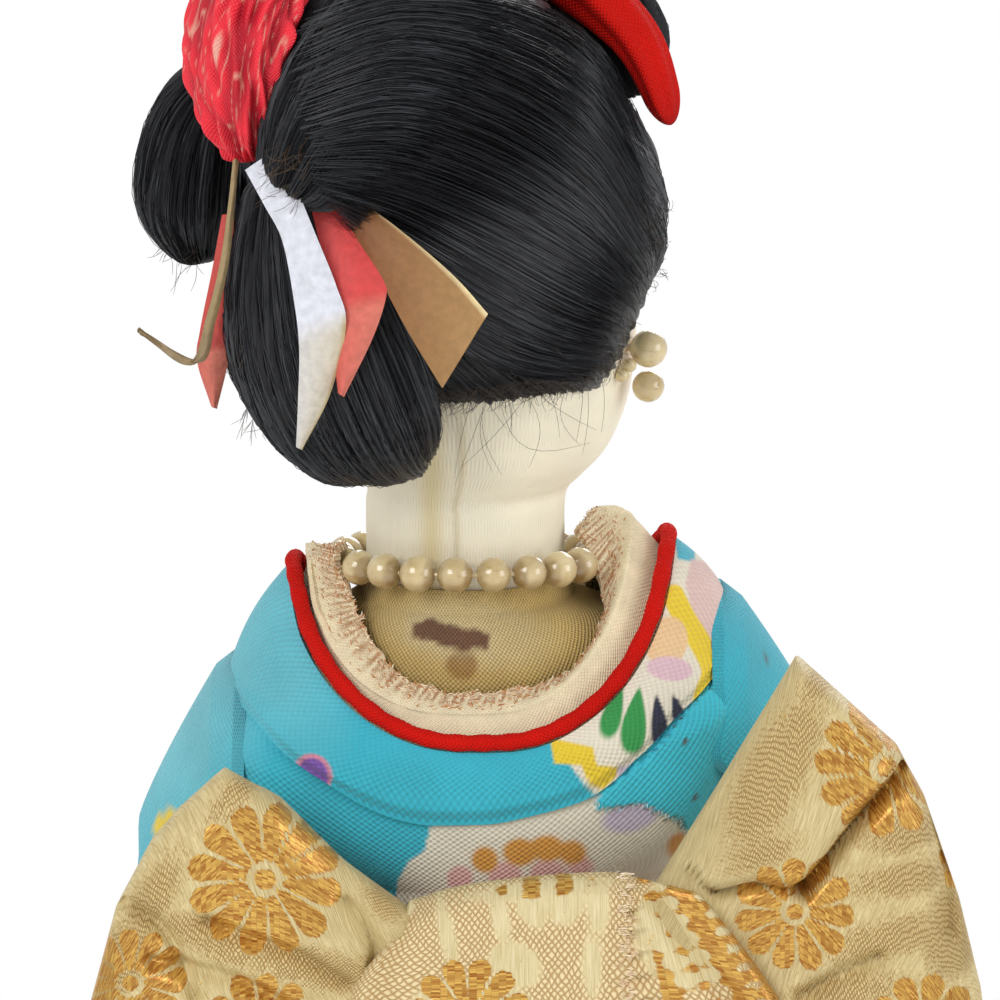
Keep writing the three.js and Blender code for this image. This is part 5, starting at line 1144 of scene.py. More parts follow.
# Tie-dyed crepe: the red is broken by pale veins where the threads kept the dye out.
dappled_crepe = cloth_material(
    "tie_dyed_red_crepe", "#f22c3c", 0.3, 0.4, 0.05, 0.45, shade=0.12, mottle=2.0, layer="dye",
    Specular_IOR_Level=0.35,
)
grooves, crumples = combed(81, 3, 13, 0.8, 14), combed(84, 4, 26, 0.55, 26)
folds = lambda share, around: grooves(share * 4, around) + crumples(share * 14, around)
tie = lobe(TIE_PATH, (1, 0, 0), TIE_WIDE, TIE_DEEP, TIE_ROWS, TIE_COLUMNS, folds)
share = lobe_shares(TIE_ROWS)[:, None]
around = round_angles(TIE_COLUMNS)[None, :]
veins = combed(82, 4, 22, 1.0, 18)(share * 9, around)
dye = even_dye("#fd3142", tie)
# Painted shade: the red darkens in the grooves between the folds.
dye = lay(dye, "#b5142a", np.clip(0.4 - folds(share, around), 0, 0.8))
dye = lay(dye, "#efb7a0", 0.75 * np.clip(1 - np.abs(veins) / 0.09, 0, 1))
dye = lay(dye, "#f2dcc4", 0.6 * np.clip((veins - 1.1) / 0.3, 0, 1))
tie_piece = add_surface("dappled_crepe_tie", on_head(tie), False, {"dye": dye})
dress(tie_piece, dappled_crepe, "head", "red_crepe", "red_crepe_tie")
creases = combed(83, 3, 9, 0.4, 10)
band = lobe(BAND_PATH, (0, -0.8, 0.2), BAND_WIDE, BAND_DEEP, BAND_ROWS, BAND_COLUMNS, creases)
dress(add_surface("red_crepe_head_band", on_head(band)), red_crepe, "head", "red_crepe", "red_head_band")

# The ribbons: five strips of stiff crinkled paper, white, red and gold, fanned under the tie.
# Each is glued by its upper end; the gold ones are tan and bent at the end, and the near gold one is
# painted brown in shade towards its top and its left side.
PAPER = 0.35
RIBBON_ROWS = 64
RIBBON_COLUMNS = 26
RIBBONS = {
    "ribbon_white": (
        "white_paper", "#dcdee8", "#cbbb92",
        [(245, 170), (264, 205), (282, 240), (293, 295), (299, 345), (298, 400), (296, 447)],
        [(284, 144), (300, 195), (318, 240), (336, 285), (346, 325), (331, 392), (302, 450)],
        [34.0, 35.2, 35.6, 36, 36.4, 34.6, 32.0],
    ),
    "ribbon_red": (
        "red_paper", "#d24240", "#d9806c",
        [(306, 192), (314, 220), (322, 255), (328, 300), (332, 340), (338, 393)],
        [(332, 192), (356, 225), (380, 262), (387, 290), (374, 335), (344, 397)],
        [31.5, 32.5, 34, 35, 35.4, 35],
    ),
    "ribbon_gold": (
        "gold_paper", "#a67e4c", "#7a4219",
        [(330, 196), (352, 232), (378, 276), (408, 332), (442, 388)],
        [(338, 190), (376, 212), (420, 246), (458, 280), (488, 314)],
        [31.0, 33.0, 34.6, 35.6, 36.5],
    ),
    "ribbon_gold_far": (
        "gold_paper", "#a08a62", "#8a7458",
        [(233, 158), (228, 205), (220, 262), (206, 318), (188, 362), (139, 327)],
        [(239, 160), (235, 205), (229, 262), (216, 320), (200, 363), (140, 335)],
        [29.5, 30.5, 31, 30.6, 30, 29],
    ),
    "ribbon_red_far": (
        "red_paper", "#c94a42", "#dd8a74",
        [(222, 215), (212, 270), (200, 330), (197, 361), (211, 406)],
        [(234, 215), (233, 270), (231, 330), (228, 363), (217, 409)],
        [26.5, 24.5, 22.5, 20.5, 19.0],
    ),
}


def plate(front, thickness, facing=VIEW_BACK):
    """A thin closed plate: a grid of points, and the same grid moved back through the thickness."""
    normal = unit(np.cross(np.gradient(front, axis=1), np.gradient(front, axis=0)))
    normal = normal * np.where(np.mean(normal @ facing) < 0, -1, 1)
    return np.concatenate([front, (front - normal * thickness)[:, ::-1]], axis=1)


def paper_material(name, colour):
    """Crinkled paper: a painted layer, darkened as painted shade in fine creases that also raise it, with a
    slight gloss.
    """
    material, tree, shader = new_material(name, colour, 0.6)
    crease = noise(tree, 0.9, 5.0)
    sharp = ranged(tree, crease, 0.3, 0.7, 0.8)
    feed(tree, shader, Base_Color=blended(tree, 1.0, painted(tree, "dye", "Color"), sharp, "MULTIPLY"))
    emboss(tree, shader, crease, 0.25, 0.7)
    return material


# Crinkled paper: hand-made and dyed, dull with small creases that are painted darker as shade; the near
# gold one is painted brown in shade over part of its face.
papers = {
    "white_paper": paper_material("white_crinkled_paper", "#e6e4e4"),
    "red_paper": paper_material("salmon_red_crinkled_paper", "#c3423c"),
    "gold_paper": paper_material("gold_paper_with_painted_shade", "#e0bd7c"),
}
for name, (slot, colour, worn, left, right, depths) in RIBBONS.items():
    depth = spline(depths, RIBBON_ROWS)
    left_edge = photo_point(*spline(left, RIBBON_ROWS).T, depth)
    right_edge = photo_point(*spline(right, RIBBON_ROWS).T, depth)
    share = np.linspace(0, 1, RIBBON_COLUMNS)[None, :]
    t = np.linspace(0, 1, RIBBON_ROWS)[:, None]
    front = left_edge[:, None] * (1 - share[..., None]) + right_edge[:, None] * share[..., None]
    crown = (0.7 * (0.4 + t) + 0.06 * np.sin(t * 23 + share * 5)) * np.sin(np.pi * share)
    front = front + crown[..., None] * VIEW_BACK
    dye = even_dye(colour, front)
    # Each strip takes its second colour over its lower part, more towards its right edge.
    mix_share = np.clip((t - 0.6) / 0.08, 0, 1) * (0.45 + 0.55 * share)
    if name == "ribbon_white":
        dye = lay(dye, "#a9884a", np.clip((share - 0.9) / 0.04, 0, 1) * np.clip((t - 0.62) / 0.05, 0, 1))
    if name == "ribbon_gold":
        # The near gold strip is painted brown in shade towards its top and its left side; its right edge is
        # pale cream.
        mix_share = np.clip(1.5 - t * 1.5 + 0.5 * (0.5 - share), 0, 1.2)
        dye = lay(dye, "#f0dca8", np.clip((share - 0.93) / 0.05, 0, 1) * np.ones_like(t))
    dye = lay(dye, worn, 0.75 * mix_share)
    dye = np.concatenate([dye, dye[:, ::-1]], axis=1)
    piece = add_surface(name + "_paper", plate(front, PAPER), False, {"dye": dye})
    dress(piece, papers[slot], "head", slot, name)

# The kimono skirt and, under it, a padded red underskirt that holds it out below the knees.
# Both are sewn of silk crepe; the left front laps over the right, and the hem trails a little behind.
SKIRT_STATIONS = [
    (0, 24, 17.8, 0), (14, 24, 17.8, 0), (45, 26, 20.5, 0), (112, 24.5, 19.5, 0), (179.5, 39, 34, 6),
]
HEM_DROP = 179.5
HEM_FRONT_LIFT = 12.0
KNEE_DROP = 112.0
FOLD_COUNT = 9
FOLD_DEPTH = 2.2
CLOTH = 0.8
LAP_X = -11.0
UNDERSKIRT_INSET = 1.7
UNDERSKIRT_LIFT = 5.0
SKIRT_ROWS = 90
SKIRT_COLUMNS = 400
TURQUOISE = "#31b6cc"
CREAM = "#ebe3cf"
PINK = "#e7b4ad"
ROSE = "#d88aa0"
ORANGE = "#e0983a"
YELLOW = "#efcf2f"
GREEN = "#2c9648"
NAVY = "#23263f"
PURPLE = "#7c54ab"
LILAC = "#cdc0d4"
LINING_RED = "#c41f26"
SKIRT_SPRAYS = (
    ((20, 150), 0.4, 1.15), ((52, 128), 2.1, 1.0), ((80, 158), 4.0, 1.2), ((112, 136), 5.3, 1.05),
    ((140, 160), 1.0, 1.15), ((165, 120), 2.8, 0.95), ((34, 92), 3.6, 0.85), ((96, 98), 0.2, 0.85),
    ((132, 84), 4.6, 0.8), ((68, 62), 1.5, 0.7), ((176, 66), 5.8, 0.7),
)
UNDERSKIRT_ROWS = 36


def skirt_section(drop):
    """Half width, half depth and backward trail of the skirt at a drop below the waist."""
    places = [row[0] for row in SKIRT_STATIONS]
    span = np.clip(np.searchsorted(places, drop, side="right") - 1, 0, len(places) - 2)
    low, high = np.array(SKIRT_STATIONS)[span], np.array(SKIRT_STATIONS)[span + 1]
    t = np.clip((drop - low[..., 0]) / (high[..., 0] - low[..., 0]), 0, 1)
    ease = np.where(span == len(places) - 2, t**1.6, eased(t))[..., None]
    return np.moveaxis(low[..., 1:] + (high - low)[..., 1:] * ease, -1, 0)


def skirt_point(angle, v):
    """The skirt: v 0 at the hem, 1 at the waist. Soft folds, sines of the angle, open towards the hem."""
    angle, v = np.broadcast_arrays(angle, v)
    hem = HEM_DROP - HEM_FRONT_LIFT * np.maximum(0, -np.sin(angle)) ** 4
    drop = hem + (GAP - hem) * v
    width, depth, trail = skirt_section(drop)
    open_share = np.clip((drop - KNEE_DROP) / (HEM_DROP - KNEE_DROP), 0, 1)
    fold = FOLD_DEPTH * open_share * np.sin(FOLD_COUNT * angle)
    x = BODY_SHIFT + (width + fold) * np.cos(angle)
    y = trail + (depth + fold) * np.sin(angle)
    return np.stack([x, y, WAIST_Z - drop], -1)


def cloth_band(surface, angle, v, thickness, relief=0.0):
    """A closed cloth band on a surface: its outer side with a relief in mm, then its inner side back."""
    angle, v, relief = np.broadcast_arrays(angle, v, relief)
    outer = raised(surface, angle, v, relief)
    inner = raised(surface, angle, v, relief * 0.6 - thickness)
    return np.concatenate([outer, lining_rows(inner)])


def paint_spray(ground, x, y, at, turn, size):
    """A printed spray at a place in mm: a cream blossom with a pink rim and an orange heart, yellow twig,
    green and navy leaf drops and a purple bud."""
    c, s = np.cos(turn), np.sin(turn)
    px = ((x - at[0]) * c + (y - at[1]) * s) / size
    py = ((y - at[1]) * c - (x - at[0]) * s) / size
    ground = lay(ground, YELLOW, cover(px, py, (9.5, 5.5), (6.5, 0.9), 40, soft=0.3))
    ground = lay(ground, PINK, cover(px, py, (0, 0), (7.6, 6.6), 0, 9, soft=0.35))
    ground = lay(ground, CREAM, cover(px, py, (0, 0), (6.9, 5.9), 0, 9, soft=0.35))
    ground = lay(ground, LILAC, 0.8 * cover(px, py, (-2.6, -2.2), (3.0, 1.6), 30, soft=1.2))
    ground = lay(ground, ROSE, 0.8 * cover(px, py, (2.2, 1.4), (3.2, 2.2), 20, soft=1.2))
    ground = lay(ground, ORANGE, cover(px, py, (1.0, 0.4), (1.7, 1.5), soft=0.4))
    for place, spin, colour in (
        ((-9.0, 2.5), 155, GREEN), ((-8.2, -2.4), 200, GREEN), ((-4.6, 7.2), 120, NAVY),
        ((3.2, -8.6), -70, GREEN),
    ):
        ground = lay(ground, colour, cover(px, py, place, (2.7, 1.0), spin, taper=0.8, soft=0.3))
    return lay(ground, PURPLE, cover(px, py, (13.6, 10.4), (1.5, 1.2), 40, soft=0.3))


# Printed silk crepe: turquoise, a plain weave with threads 0.4 mm apart, matt with a faint sheen.
kimono_crepe = cloth_material(
    "printed_turquoise_crepe", TURQUOISE, 0.8, 0.8, 0.07, 0.78, shade=0.11, mottle=8.0, layer="print",
    Sheen_Weight=0.2,
)
angle = round_angles(SKIRT_COLUMNS)[None, :]
v = np.linspace(0, 1, SKIRT_ROWS)[:, None]
plain = skirt_point(angle, v)
on_front = np.clip(-np.sin(angle) * 3, 0, 1)
lap = 0.7 * eased(np.clip((plain[..., 0] - LAP_X) / 0.8, 0, 1)) * on_front
lap = lap * eased(np.clip((26 - plain[..., 0]) / 20, 0, 1))
drape = 0.35 * np.sin(5 * angle + 2.2 * np.sin(3.1 * v + 0.6)) * np.sin(np.pi * np.clip(v * 1.3, 0, 1))
skirt_print = even_dye(TURQUOISE, plain)
cloth_x = angle * 30.0 + 0 * v
cloth_y = (1 - v) * HEM_DROP + 0 * angle
for spray in SKIRT_SPRAYS:
    skirt_print = paint_spray(skirt_print, cloth_x, cloth_y, *spray)
skirt_print = lay(skirt_print, LINING_RED, np.clip((cloth_y - HEM_DROP + 2.2) / 0.4, 0, 1))
skirt = add_surface(
    "printed_crepe_skirt", cloth_band(skirt_point, angle, v, CLOTH, lap + drape), True,
    {"print": np.concatenate([skirt_print, lining_rows(even_dye(LINING_RED, plain))])},
)
dress(skirt, kimono_crepe, "figure", "kimono_crepe", "kimono_skirt")

hem = HEM_DROP - HEM_FRONT_LIFT * np.maximum(0, -np.sin(angle)) ** 4
low_share = 1 - (hem - UNDERSKIRT_LIFT - GAP) / (hem - GAP)
high_share = 1 - (KNEE_DROP + UNDERSKIRT_INSET - GAP) / (hem - GAP)
under_v = low_share + (high_share - low_share) * np.linspace(0, 1, UNDERSKIRT_ROWS)[:, None]
under = raised(skirt_point, angle, under_v, np.full(under_v.shape, -UNDERSKIRT_INSET))
puckers = 0.25 * np.sin(36 * angle) * np.exp(-np.linspace(0, 8, UNDERSKIRT_ROWS))[:, None]
under = under - [0, 0, 1] * puckers[..., None]
inward = np.array([BODY_SHIFT, 0, 0]) - under[0]
hollow = [under[0] + inward * [share, share, 0] + [0, 0, rise] for share, rise in ((0.1, 2.5), (0.04, 0.5))]
underskirt = add_surface("padded_red_underskirt", np.concatenate([np.array(hollow), under]))
dress(underskirt, red_crepe, "figure", "red_crepe", "underskirt")

# The kimono bodice: the upper half of the same crepe, sewn to the sleeves and open at the neck.
# The print falls across the back; the right shoulder's panel laps over it with a cut, fraying edge.
SHOULDER_RING = dict(left=26.8, right=29.8, back=19.2, front=17.5, heights=(44, 54, 39, 32), square=6.0)
NECKLINE_RING = dict(
    left=18.9, right=22.8, back=19, front=16.5, heights=(60.4, 63.3, 44.3, 36), square=2.7, dip=3.0
)
BODICE_TOP = 2.92
BODICE_ROWS = 86
BODICE_COLUMNS = 440
FLAP = [
    (743, 610), (724, 674), (691, 707), (655, 750), (597, 796), (595, 810), (640, 803), (678, 820),
    (696, 842), (700, 1000), (900, 1000), (900, 560),
]
FRAYED_EDGE = [(597, 800), (610, 808), (640, 803), (660, 811), (678, 820), (690, 835), (696, 842)]
PRINT_GROUND = [
    (431, 826), (494, 823), (592, 798), (700, 760), (720, 1000), (380, 1000), (396, 898), (398, 880),
    (409, 861), (424, 852),
]
AMBER = "#dd9c42"
RUST = "#5c3a2a"
SHEEN_TURQUOISE = "#7cc9d3"
# The print as the photo shows it: colour, place and half sizes in its pixels, and turn in degrees.
BACK_PRINT = (
    (PINK, (460, 879), (13, 13), 0), (PINK, (505, 876), (17, 14), 0), (PINK, (548, 872), (17, 13), 0),
    (PINK, (580, 866), (13, 11), 0), (AMBER, (485, 860), (13, 13), 0), (AMBER, (520, 852), (17, 14), 0),
    (AMBER, (547, 848), (18, 13), 0), (AMBER, (572, 852), (14, 12), 0), (PINK, (504, 878), (13, 9), 0),
    (PINK, (545, 874), (14, 9), 0), (LILAC, (630, 818), (28, 14), -10), (ORANGE, (679, 846), (11, 13), 30),
    (ROSE, (450, 920), (30, 18), 0), (LILAC, (560, 905), (50, 16), 0),
)
SLEEVE_MARKS = (
    (YELLOW, (167, 832), (14, 21)), (RUST, (756, 635), (3, 3)), (RUST, (765, 656), (2.5, 3)),
    (RUST, (238, 740), (3, 2)), (RUST, (160, 803), (3, 3)),
)
BODICE_MARKS = SLEEVE_MARKS + (
    (PINK, (209, 687), (8, 16)), (RUST, (685, 740), (2.5, 2.5)), (RUST, (693, 796), (2.5, 2.5)),
)
CHEST_SPRAYS = (((112, 34), 0.8, 0.8), ((142, 44), 3.6, 0.75), ((163, 30), 5.2, 0.7), ((6, 36), 2.0, 0.7))


def sheened_and_marked(dye, across, down, marks, seen=1.0):
    """A print with a painted sheen, a paler turquoise field on the left shoulder, and small marks, as the
    photo shows them.
    """
    dye = lay(dye, SHEEN_TURQUOISE, 0.6 * cover(across, down, (190, 700), (70, 150), 20, soft=60))
    for colour, place, size in marks:
        dye = lay(dye, colour, cover(across, down, place, size, soft=1.5) * seen)
    return dye


def bodice_point(angle, v):
    """The bodice: v 0 at the waist, 1 at the sash's top, 2 round the shoulders, 3 at the neckline."""
    angle, v = np.broadcast_arrays(angle, v)
    waist = level_ring(angle, *WAIST_HALF, GAP)
    sash = level_ring(angle, *WAIST_HALF, SASH_TOP)
    shoulder = body_ring(angle, **SHOULDER_RING)
    neckline = body_ring(angle, **NECKLINE_RING)
    t = np.clip(v, 0, 1)
    below = between(waist, sash, t, t)
    t = np.clip(v - 1, 0, 1)
    chest = between(sash, shoulder, 1 - (1 - t) ** 2.6, t)
    t = np.maximum(v - 2, 0)
    above = between(shoulder, neckline, t**1.35, t**0.85)
    return np.where((v < 1)[..., None], below, np.where((v < 2)[..., None], chest, above))


angle = round_angles(BODICE_COLUMNS)[None, :]
v = np.concatenate([np.linspace(0.02, 0.98, 9), np.linspace(1, BODICE_TOP, BODICE_ROWS)])[:, None]
plain = bodice_point(angle, v)
across, down = photo_place(plain)
behind = np.clip(np.sin(angle) * 8 + 0.5, 0, 1) + 0 * v
jagged = 2.2 * np.sin(across * 0.9) + 1.6 * np.sin(across * 2.3 + 1)
flap = patch(across, down + jagged, FLAP, 2.0) * behind
on_chest = even_dye(TURQUOISE, plain)
on_back = lay(on_chest, CREAM, patch(across, down, PRINT_GROUND, 2))
for colour, *field in BACK_PRINT:
    on_back = lay(on_back, colour, cover(across, down, *field, soft=5))
# Painted light: the lapped panel on the right shoulder is painted a lighter turquoise than the rest.
on_back = lay(on_back, "#3ac6dc", flap)
on_back = sheened_and_marked(on_back, across, down, BODICE_MARKS)
cloth_x = angle * 27.0 + 0 * v
cloth_y = v * 22 + 0 * angle
for spray in CHEST_SPRAYS:
    on_chest = paint_spray(on_chest, cloth_x, cloth_y, *spray)
bodice_print = on_chest + (on_back - on_chest) * behind[..., None]
wrinkles = 0.3 * np.sin(7 * angle + 5 * v) * np.sin(np.pi * np.clip(v / 2.6, 0, 1)) * np.clip(v - 1, 0, 1)
bodice_relief = wrinkles + 0.55 * flap
bodice = add_surface(
    "printed_crepe_bodice", cloth_band(bodice_point, angle, v, CLOTH, bodice_relief), True,
    {"print": both_sides(bodice_print)},
)
dress(bodice, kimono_crepe, "figure", "kimono_crepe", "kimono_bodice")
draw = np.random.default_rng(91)
spots = spline(FRAYED_EDGE, 70)
starts = nearest_seen(plain, spots[:, 0], spots[:, 1]) + 0.5 * VIEW_BACK
fray = curls(starts, 92, 0.3, (0.2, 0.2, -0.6), 1.2)

# The collar: a folded band of the kimono's crepe round the neck opening, with a red piping along its
# top. Inside it stands a cream brocade under-collar whose cut edge has frayed to gold thread.
COLLAR_CLOTH = 1.1
COLLAR_TOP = 2.97
PIPING_RADIUS = 0.8
PIPING_FULL = 1.15
PIPING_STEPS = 720
COLLAR_ROWS = 50
COLLAR_COLUMNS = 640
COLLAR_SEAM = [
    (222, 683), (255, 720), (285, 755), (330, 785), (375, 812), (420, 825), (494, 823), (560, 808),
    (598, 795), (630, 765), (652, 745), (672, 720), (700, 695), (725, 660), (740, 620), (745, 600),
]
# The collar's print: fields of one colour by their corners, then single shapes with turn and taper.
COLLAR_GROUND = [
    (549, 735), (590, 690), (630, 600), (664, 541), (780, 580), (760, 700), (660, 790), (600, 800),
    (575, 770),
]
PRINT_PATCHES = (
    (TURQUOISE, [(668, 541), (672, 565), (687, 569), (687, 541)]),
    ("#e3c3bb", [
        (684, 566), (735, 580), (760, 605), (755, 640), (735, 680), (712, 676), (700, 650), (688, 625),
        (679, 590),
    ]),
    (YELLOW, [
        (549, 739), (593, 748), (597, 764), (625, 766), (602, 789), (590, 782), (581, 764), (554, 762),
    ]),
    (LILAC, [(616, 766), (640, 760), (660, 768), (650, 787), (620, 789)]),
)
COLLAR_BRANCH = [(668, 600), (680, 625), (697, 652), (708, 676), (702, 700)]
COLLAR_PRINT = (
    ("#edc796", (664, 647), (20, 25), 0, 0), ("#e3bfc9", (668, 674), (22, 12), 10, 0),
    (PURPLE, (714, 650), (8, 11), 0, 0), (GREEN, (614, 714), (27, 9), -72, 0.6),
    (GREEN, (635, 723), (31, 11), -82, 0.6), (NAVY, (659, 726), (26, 8), -97, 0.6),
    (NAVY, (678, 716), (17, 7), -112, 0.6), (ROSE, (313, 775), (20, 20), 0, 0),
    (PURPLE, (313, 775), (16, 16), 0, 0),
)
COLLAR_SPRAYS = (((104, 8), 0.5, 0.55), ((126, 6), 2.6, 0.5))


def above_collar(angle, distance):
    """The height share that lies a distance in mm above the collar's top."""
    step = np.linalg.norm(bodice_point(angle, 3.0) - bodice_point(angle, 2.9), axis=-1)
    return COLLAR_TOP + 0.1 * distance / step


angle = round_angles(COLLAR_COLUMNS)[None, :]
tries = np.linspace(1.4, 2.9, 300)[:, None]
across, down = photo_place(bodice_point(angle, tries))
below_seam = down > np.interp(across, *zip(*COLLAR_SEAM))
found = np.convolve(np.tile(tries[np.argmin(below_seam, axis=0), 0], 3), np.full(15, 1 / 15), "same")
from_behind = eased(np.clip(np.sin(angle) * 5, 0, 1))
edge = 2.3 + (found[COLLAR_COLUMNS:2 * COLLAR_COLUMNS] - 2.3) * from_behind
v = edge + (COLLAR_TOP - edge) * np.linspace(0, 1, COLLAR_ROWS)[:, None]
plain = bodice_point(angle, v)
across, down = photo_place(plain)
behind = np.clip(np.sin(angle) * 6 + 1.2, 0, 1) + 0 * v
on_chest = even_dye(TURQUOISE, plain)
on_back = lay(on_chest, CREAM, patch(across, down, COLLAR_GROUND, 3))
# Painted sheen: a paler turquoise field on the collar's left side.
on_back = lay(on_back, SHEEN_TURQUOISE, 0.55 * cover(across, down, (270, 640), (60, 110), -20, soft=50))
for colour, corners in PRINT_PATCHES:
    on_back = lay(on_back, colour, patch(across, down, corners, 2))
twig = np.min([np.hypot(across - x, down - y) for x, y in spline(COLLAR_BRANCH, 40)], axis=0)
on_back = lay(on_back, YELLOW, np.clip((10 - twig) / 2 + 0.5, 0, 1))
for colour, place, size, turn, taper in COLLAR_PRINT:
    on_back = lay(on_back, colour, cover(across, down, place, size, turn, taper=taper, soft=2))
cloth_x = angle * 24.0 + 0 * v
cloth_y = (v - edge) * 20
for spray in COLLAR_SPRAYS:
    on_chest = paint_spray(on_chest, cloth_x, cloth_y, *spray)
collar_print = on_chest + (on_back - on_chest) * behind[..., None]
turned = np.sin(np.pi * np.linspace(0, 1, COLLAR_ROWS))[:, None]
thin_fold = np.clip(np.linspace(0, 1, COLLAR_ROWS) / 0.12, 0.3, 1)[:, None]
collar_relief = GAP + COLLAR_CLOTH * thin_fold * (0.75 + 0.25 * turned) + 0.12 * np.sin(9 * angle + 3 * v)
collar = add_surface(
    "printed_crepe_collar", cloth_band(bodice_point, angle, v, 0.9, collar_relief), True,
    {"print": both_sides(collar_print)},
)
dress(collar, kimono_crepe, "figure", "kimono_crepe", "kimono_collar")


def ring_cord(middle, normal, tangent, radius, sides=14, twist=0):
    """A round cord carried along a closed line; a twist gives it that many turns of two laid strands."""
    spin = round_angles(sides)[None, :]
    lie = round_angles(len(middle))[:, None]
    size = radius * (1 - 0.12 * np.abs(np.sin(spin + twist * lie / 2)) ** 4 * (twist > 0))
    up = np.cross(tangent, normal)
    ring = normal[:, None] * np.cos(spin)[..., None] + up[:, None] * np.sin(spin)[..., None]
    return middle[:, None] + size[..., None] * ring


piping_angle = round_angles(PIPING_STEPS)
piping_v = above_collar(piping_angle, PIPING_RADIUS + GAP)
middle = raised(bodice_point, piping_angle, piping_v, np.full(PIPING_STEPS, PIPING_RADIUS + GAP))
tangent = unit(np.roll(middle, -1, 0) - np.roll(middle, 1, 0))
lifted = raised(bodice_point, piping_angle, piping_v, np.ones(PIPING_STEPS))
normal = unit(lifted - bodice_point(piping_angle, piping_v))
gathers = 1 + 0.025 * np.sin(220 * piping_angle) + 0.06 * np.sin(41 * piping_angle)
piping = ring_cord(middle, normal, tangent, PIPING_RADIUS * PIPING_FULL * gathers[:, None])
dress(add_surface("red_collar_piping", piping, True), red_crepe, "figure", "red_crepe", "collar_piping")

# Cream brocade, cut on the cross: its gold and copper wefts stand out of the edge as loose threads.
cream_brocade = cloth_material(
    "cut_cream_brocade", "#f3e8cd", 0.5, 0.5, 0.05, 0.8, shade=0.1, mottle=2.0, layer="thread",
    Sheen_Weight=0.15,
)
UNDER_CREST = dict(
    left=17.8, right=18.4, back=16.6, front=15.4, heights=(63.3, 66.2, 48.0, 43.5), square=2.7, dip=3.0
)
UNDER_EDGE = dict(
    left=16.4, right=16.9, back=14.3, front=14.6, heights=(60.2, 61.5, 48.9, 42.0), square=2.7, dip=3.0
)
# The cut edge as the photo shows it: turn round the neck in degrees, place in pixels, and Y in mm.
SEEN_EDGE = [
    (-14, 345, 541, 5), (0, 334, 549, 8), (12, 334, 566, 8), (25, 350, 592, 8.5), (45, 366, 632, 11),
    (62, 398, 676, 13), (80, 450, 694, 14.2), (95, 490, 693, 14.3), (110, 535, 686, 13.8),
    (125, 572, 670, 12.2), (140, 594, 640, 10), (155, 604, 612, 7), (168, 601, 580, 6), (182, 589, 548, 6),
    (196, 577, 525, 3),
]
UNDER_ROWS = 48
UNDER_THICK = 0.8
FRAY_COUNT = 3200
lying = raised(bodice_point, angle, np.full(angle.shape, 2.5), np.full(angle.shape, -1.15))
standing = raised(bodice_point, angle, above_collar(angle, 0.6), np.full(angle.shape, -0.75))
fold_over = np.exp(-(((angle - 3.6) / 0.3) ** 2))[..., None]
crest = body_ring(angle, **UNDER_CREST) + [0, 0, WAIST_Z]
crest = crest * (1 - fold_over * [0.16, 0.16, 0]) + fold_over * [0, 0, 3.6]
cut_edge = body_ring(angle, **UNDER_EDGE) + [0, 0, WAIST_Z]
degrees = (np.degrees(angle) + 60) % 360 - 60
turns, *seen_places = zip(*SEEN_EDGE)
drawn_edge = photo_point(*(np.interp(degrees, turns, column) for column in seen_places))
seen_share = eased(np.clip((degrees + 40) / 26, 0, 1)) * eased(np.clip((222 - degrees) / 26, 0, 1))
cut_edge = cut_edge + (drawn_edge - cut_edge) * seen_share[..., None]
ragged = 0.25 * combed(93, 9, 70, 1.0)(0, angle)[..., None]
cut_edge = cut_edge + ragged * unit(cut_edge - crest)
stops = np.concatenate([lying, standing, (standing + 2 * crest) / 3 + [0, 0, 0.5], crest, cut_edge])
roll = spline(stops.reshape(len(stops), -1), UNDER_ROWS).reshape(UNDER_ROWS, -1, 3)
ripple = 0.07 * combed(94, 9, 40, 1.0)(np.linspace(0, 3, UNDER_ROWS)[:, None], angle)
facing = unit(np.cross(np.roll(roll, -1, 1) - np.roll(roll, 1, 1), np.gradient(roll, axis=0)))
outer = roll + facing * ripple[..., None]
inner = roll - facing * UNDER_THICK
shine = combed(95, 60, 200, 1.0)(np.linspace(0, 8, UNDER_ROWS)[:, None], angle)
to_edge = np.linspace(0, 1, UNDER_ROWS)[:, None]
thread = even_dye("#f6e6c0", outer)
thread = lay(thread, "#d9b98a", 0.3 * np.clip(shine - 0.4, 0, 1) * to_edge)
thread = lay(thread, "#a9703e", np.clip((to_edge - 0.82) / 0.1, 0, 0.8) * np.clip(0.5 + shine, 0, 1))
under_collar = add_surface(
    "cream_brocade_under_collar", np.concatenate([outer, lining_rows(inner)]), True,
    {"thread": both_sides(thread)},
)
dress(under_collar, cream_brocade, "figure", "cream_brocade", "under_collar")
fray_angle = draw.uniform(0, TURN, FRAY_COUNT)
column = fray_angle / TURN * COLLAR_COLUMNS
row = (UNDER_ROWS - 1) * (1 - 0.22 * draw.random(FRAY_COUNT) ** 1.5)
starts = sample(outer, row, column)
onward = unit(starts - sample(outer, row - 4, column))
round_it = unit(sample(outer, row, column + 2) - sample(outer, row, column - 2))
loose = curls(starts, 96, 0.22, (0, 0, 0), 2.2)
runs = onward * draw.uniform(-0.3, 0.5, (FRAY_COUNT, 1))
runs = runs + round_it * draw.uniform(-0.7, 0.7, (FRAY_COUNT, 1))
loose = loose + np.linspace(0, 1, CURL_POINTS)[None, :, None] * runs[:, None]
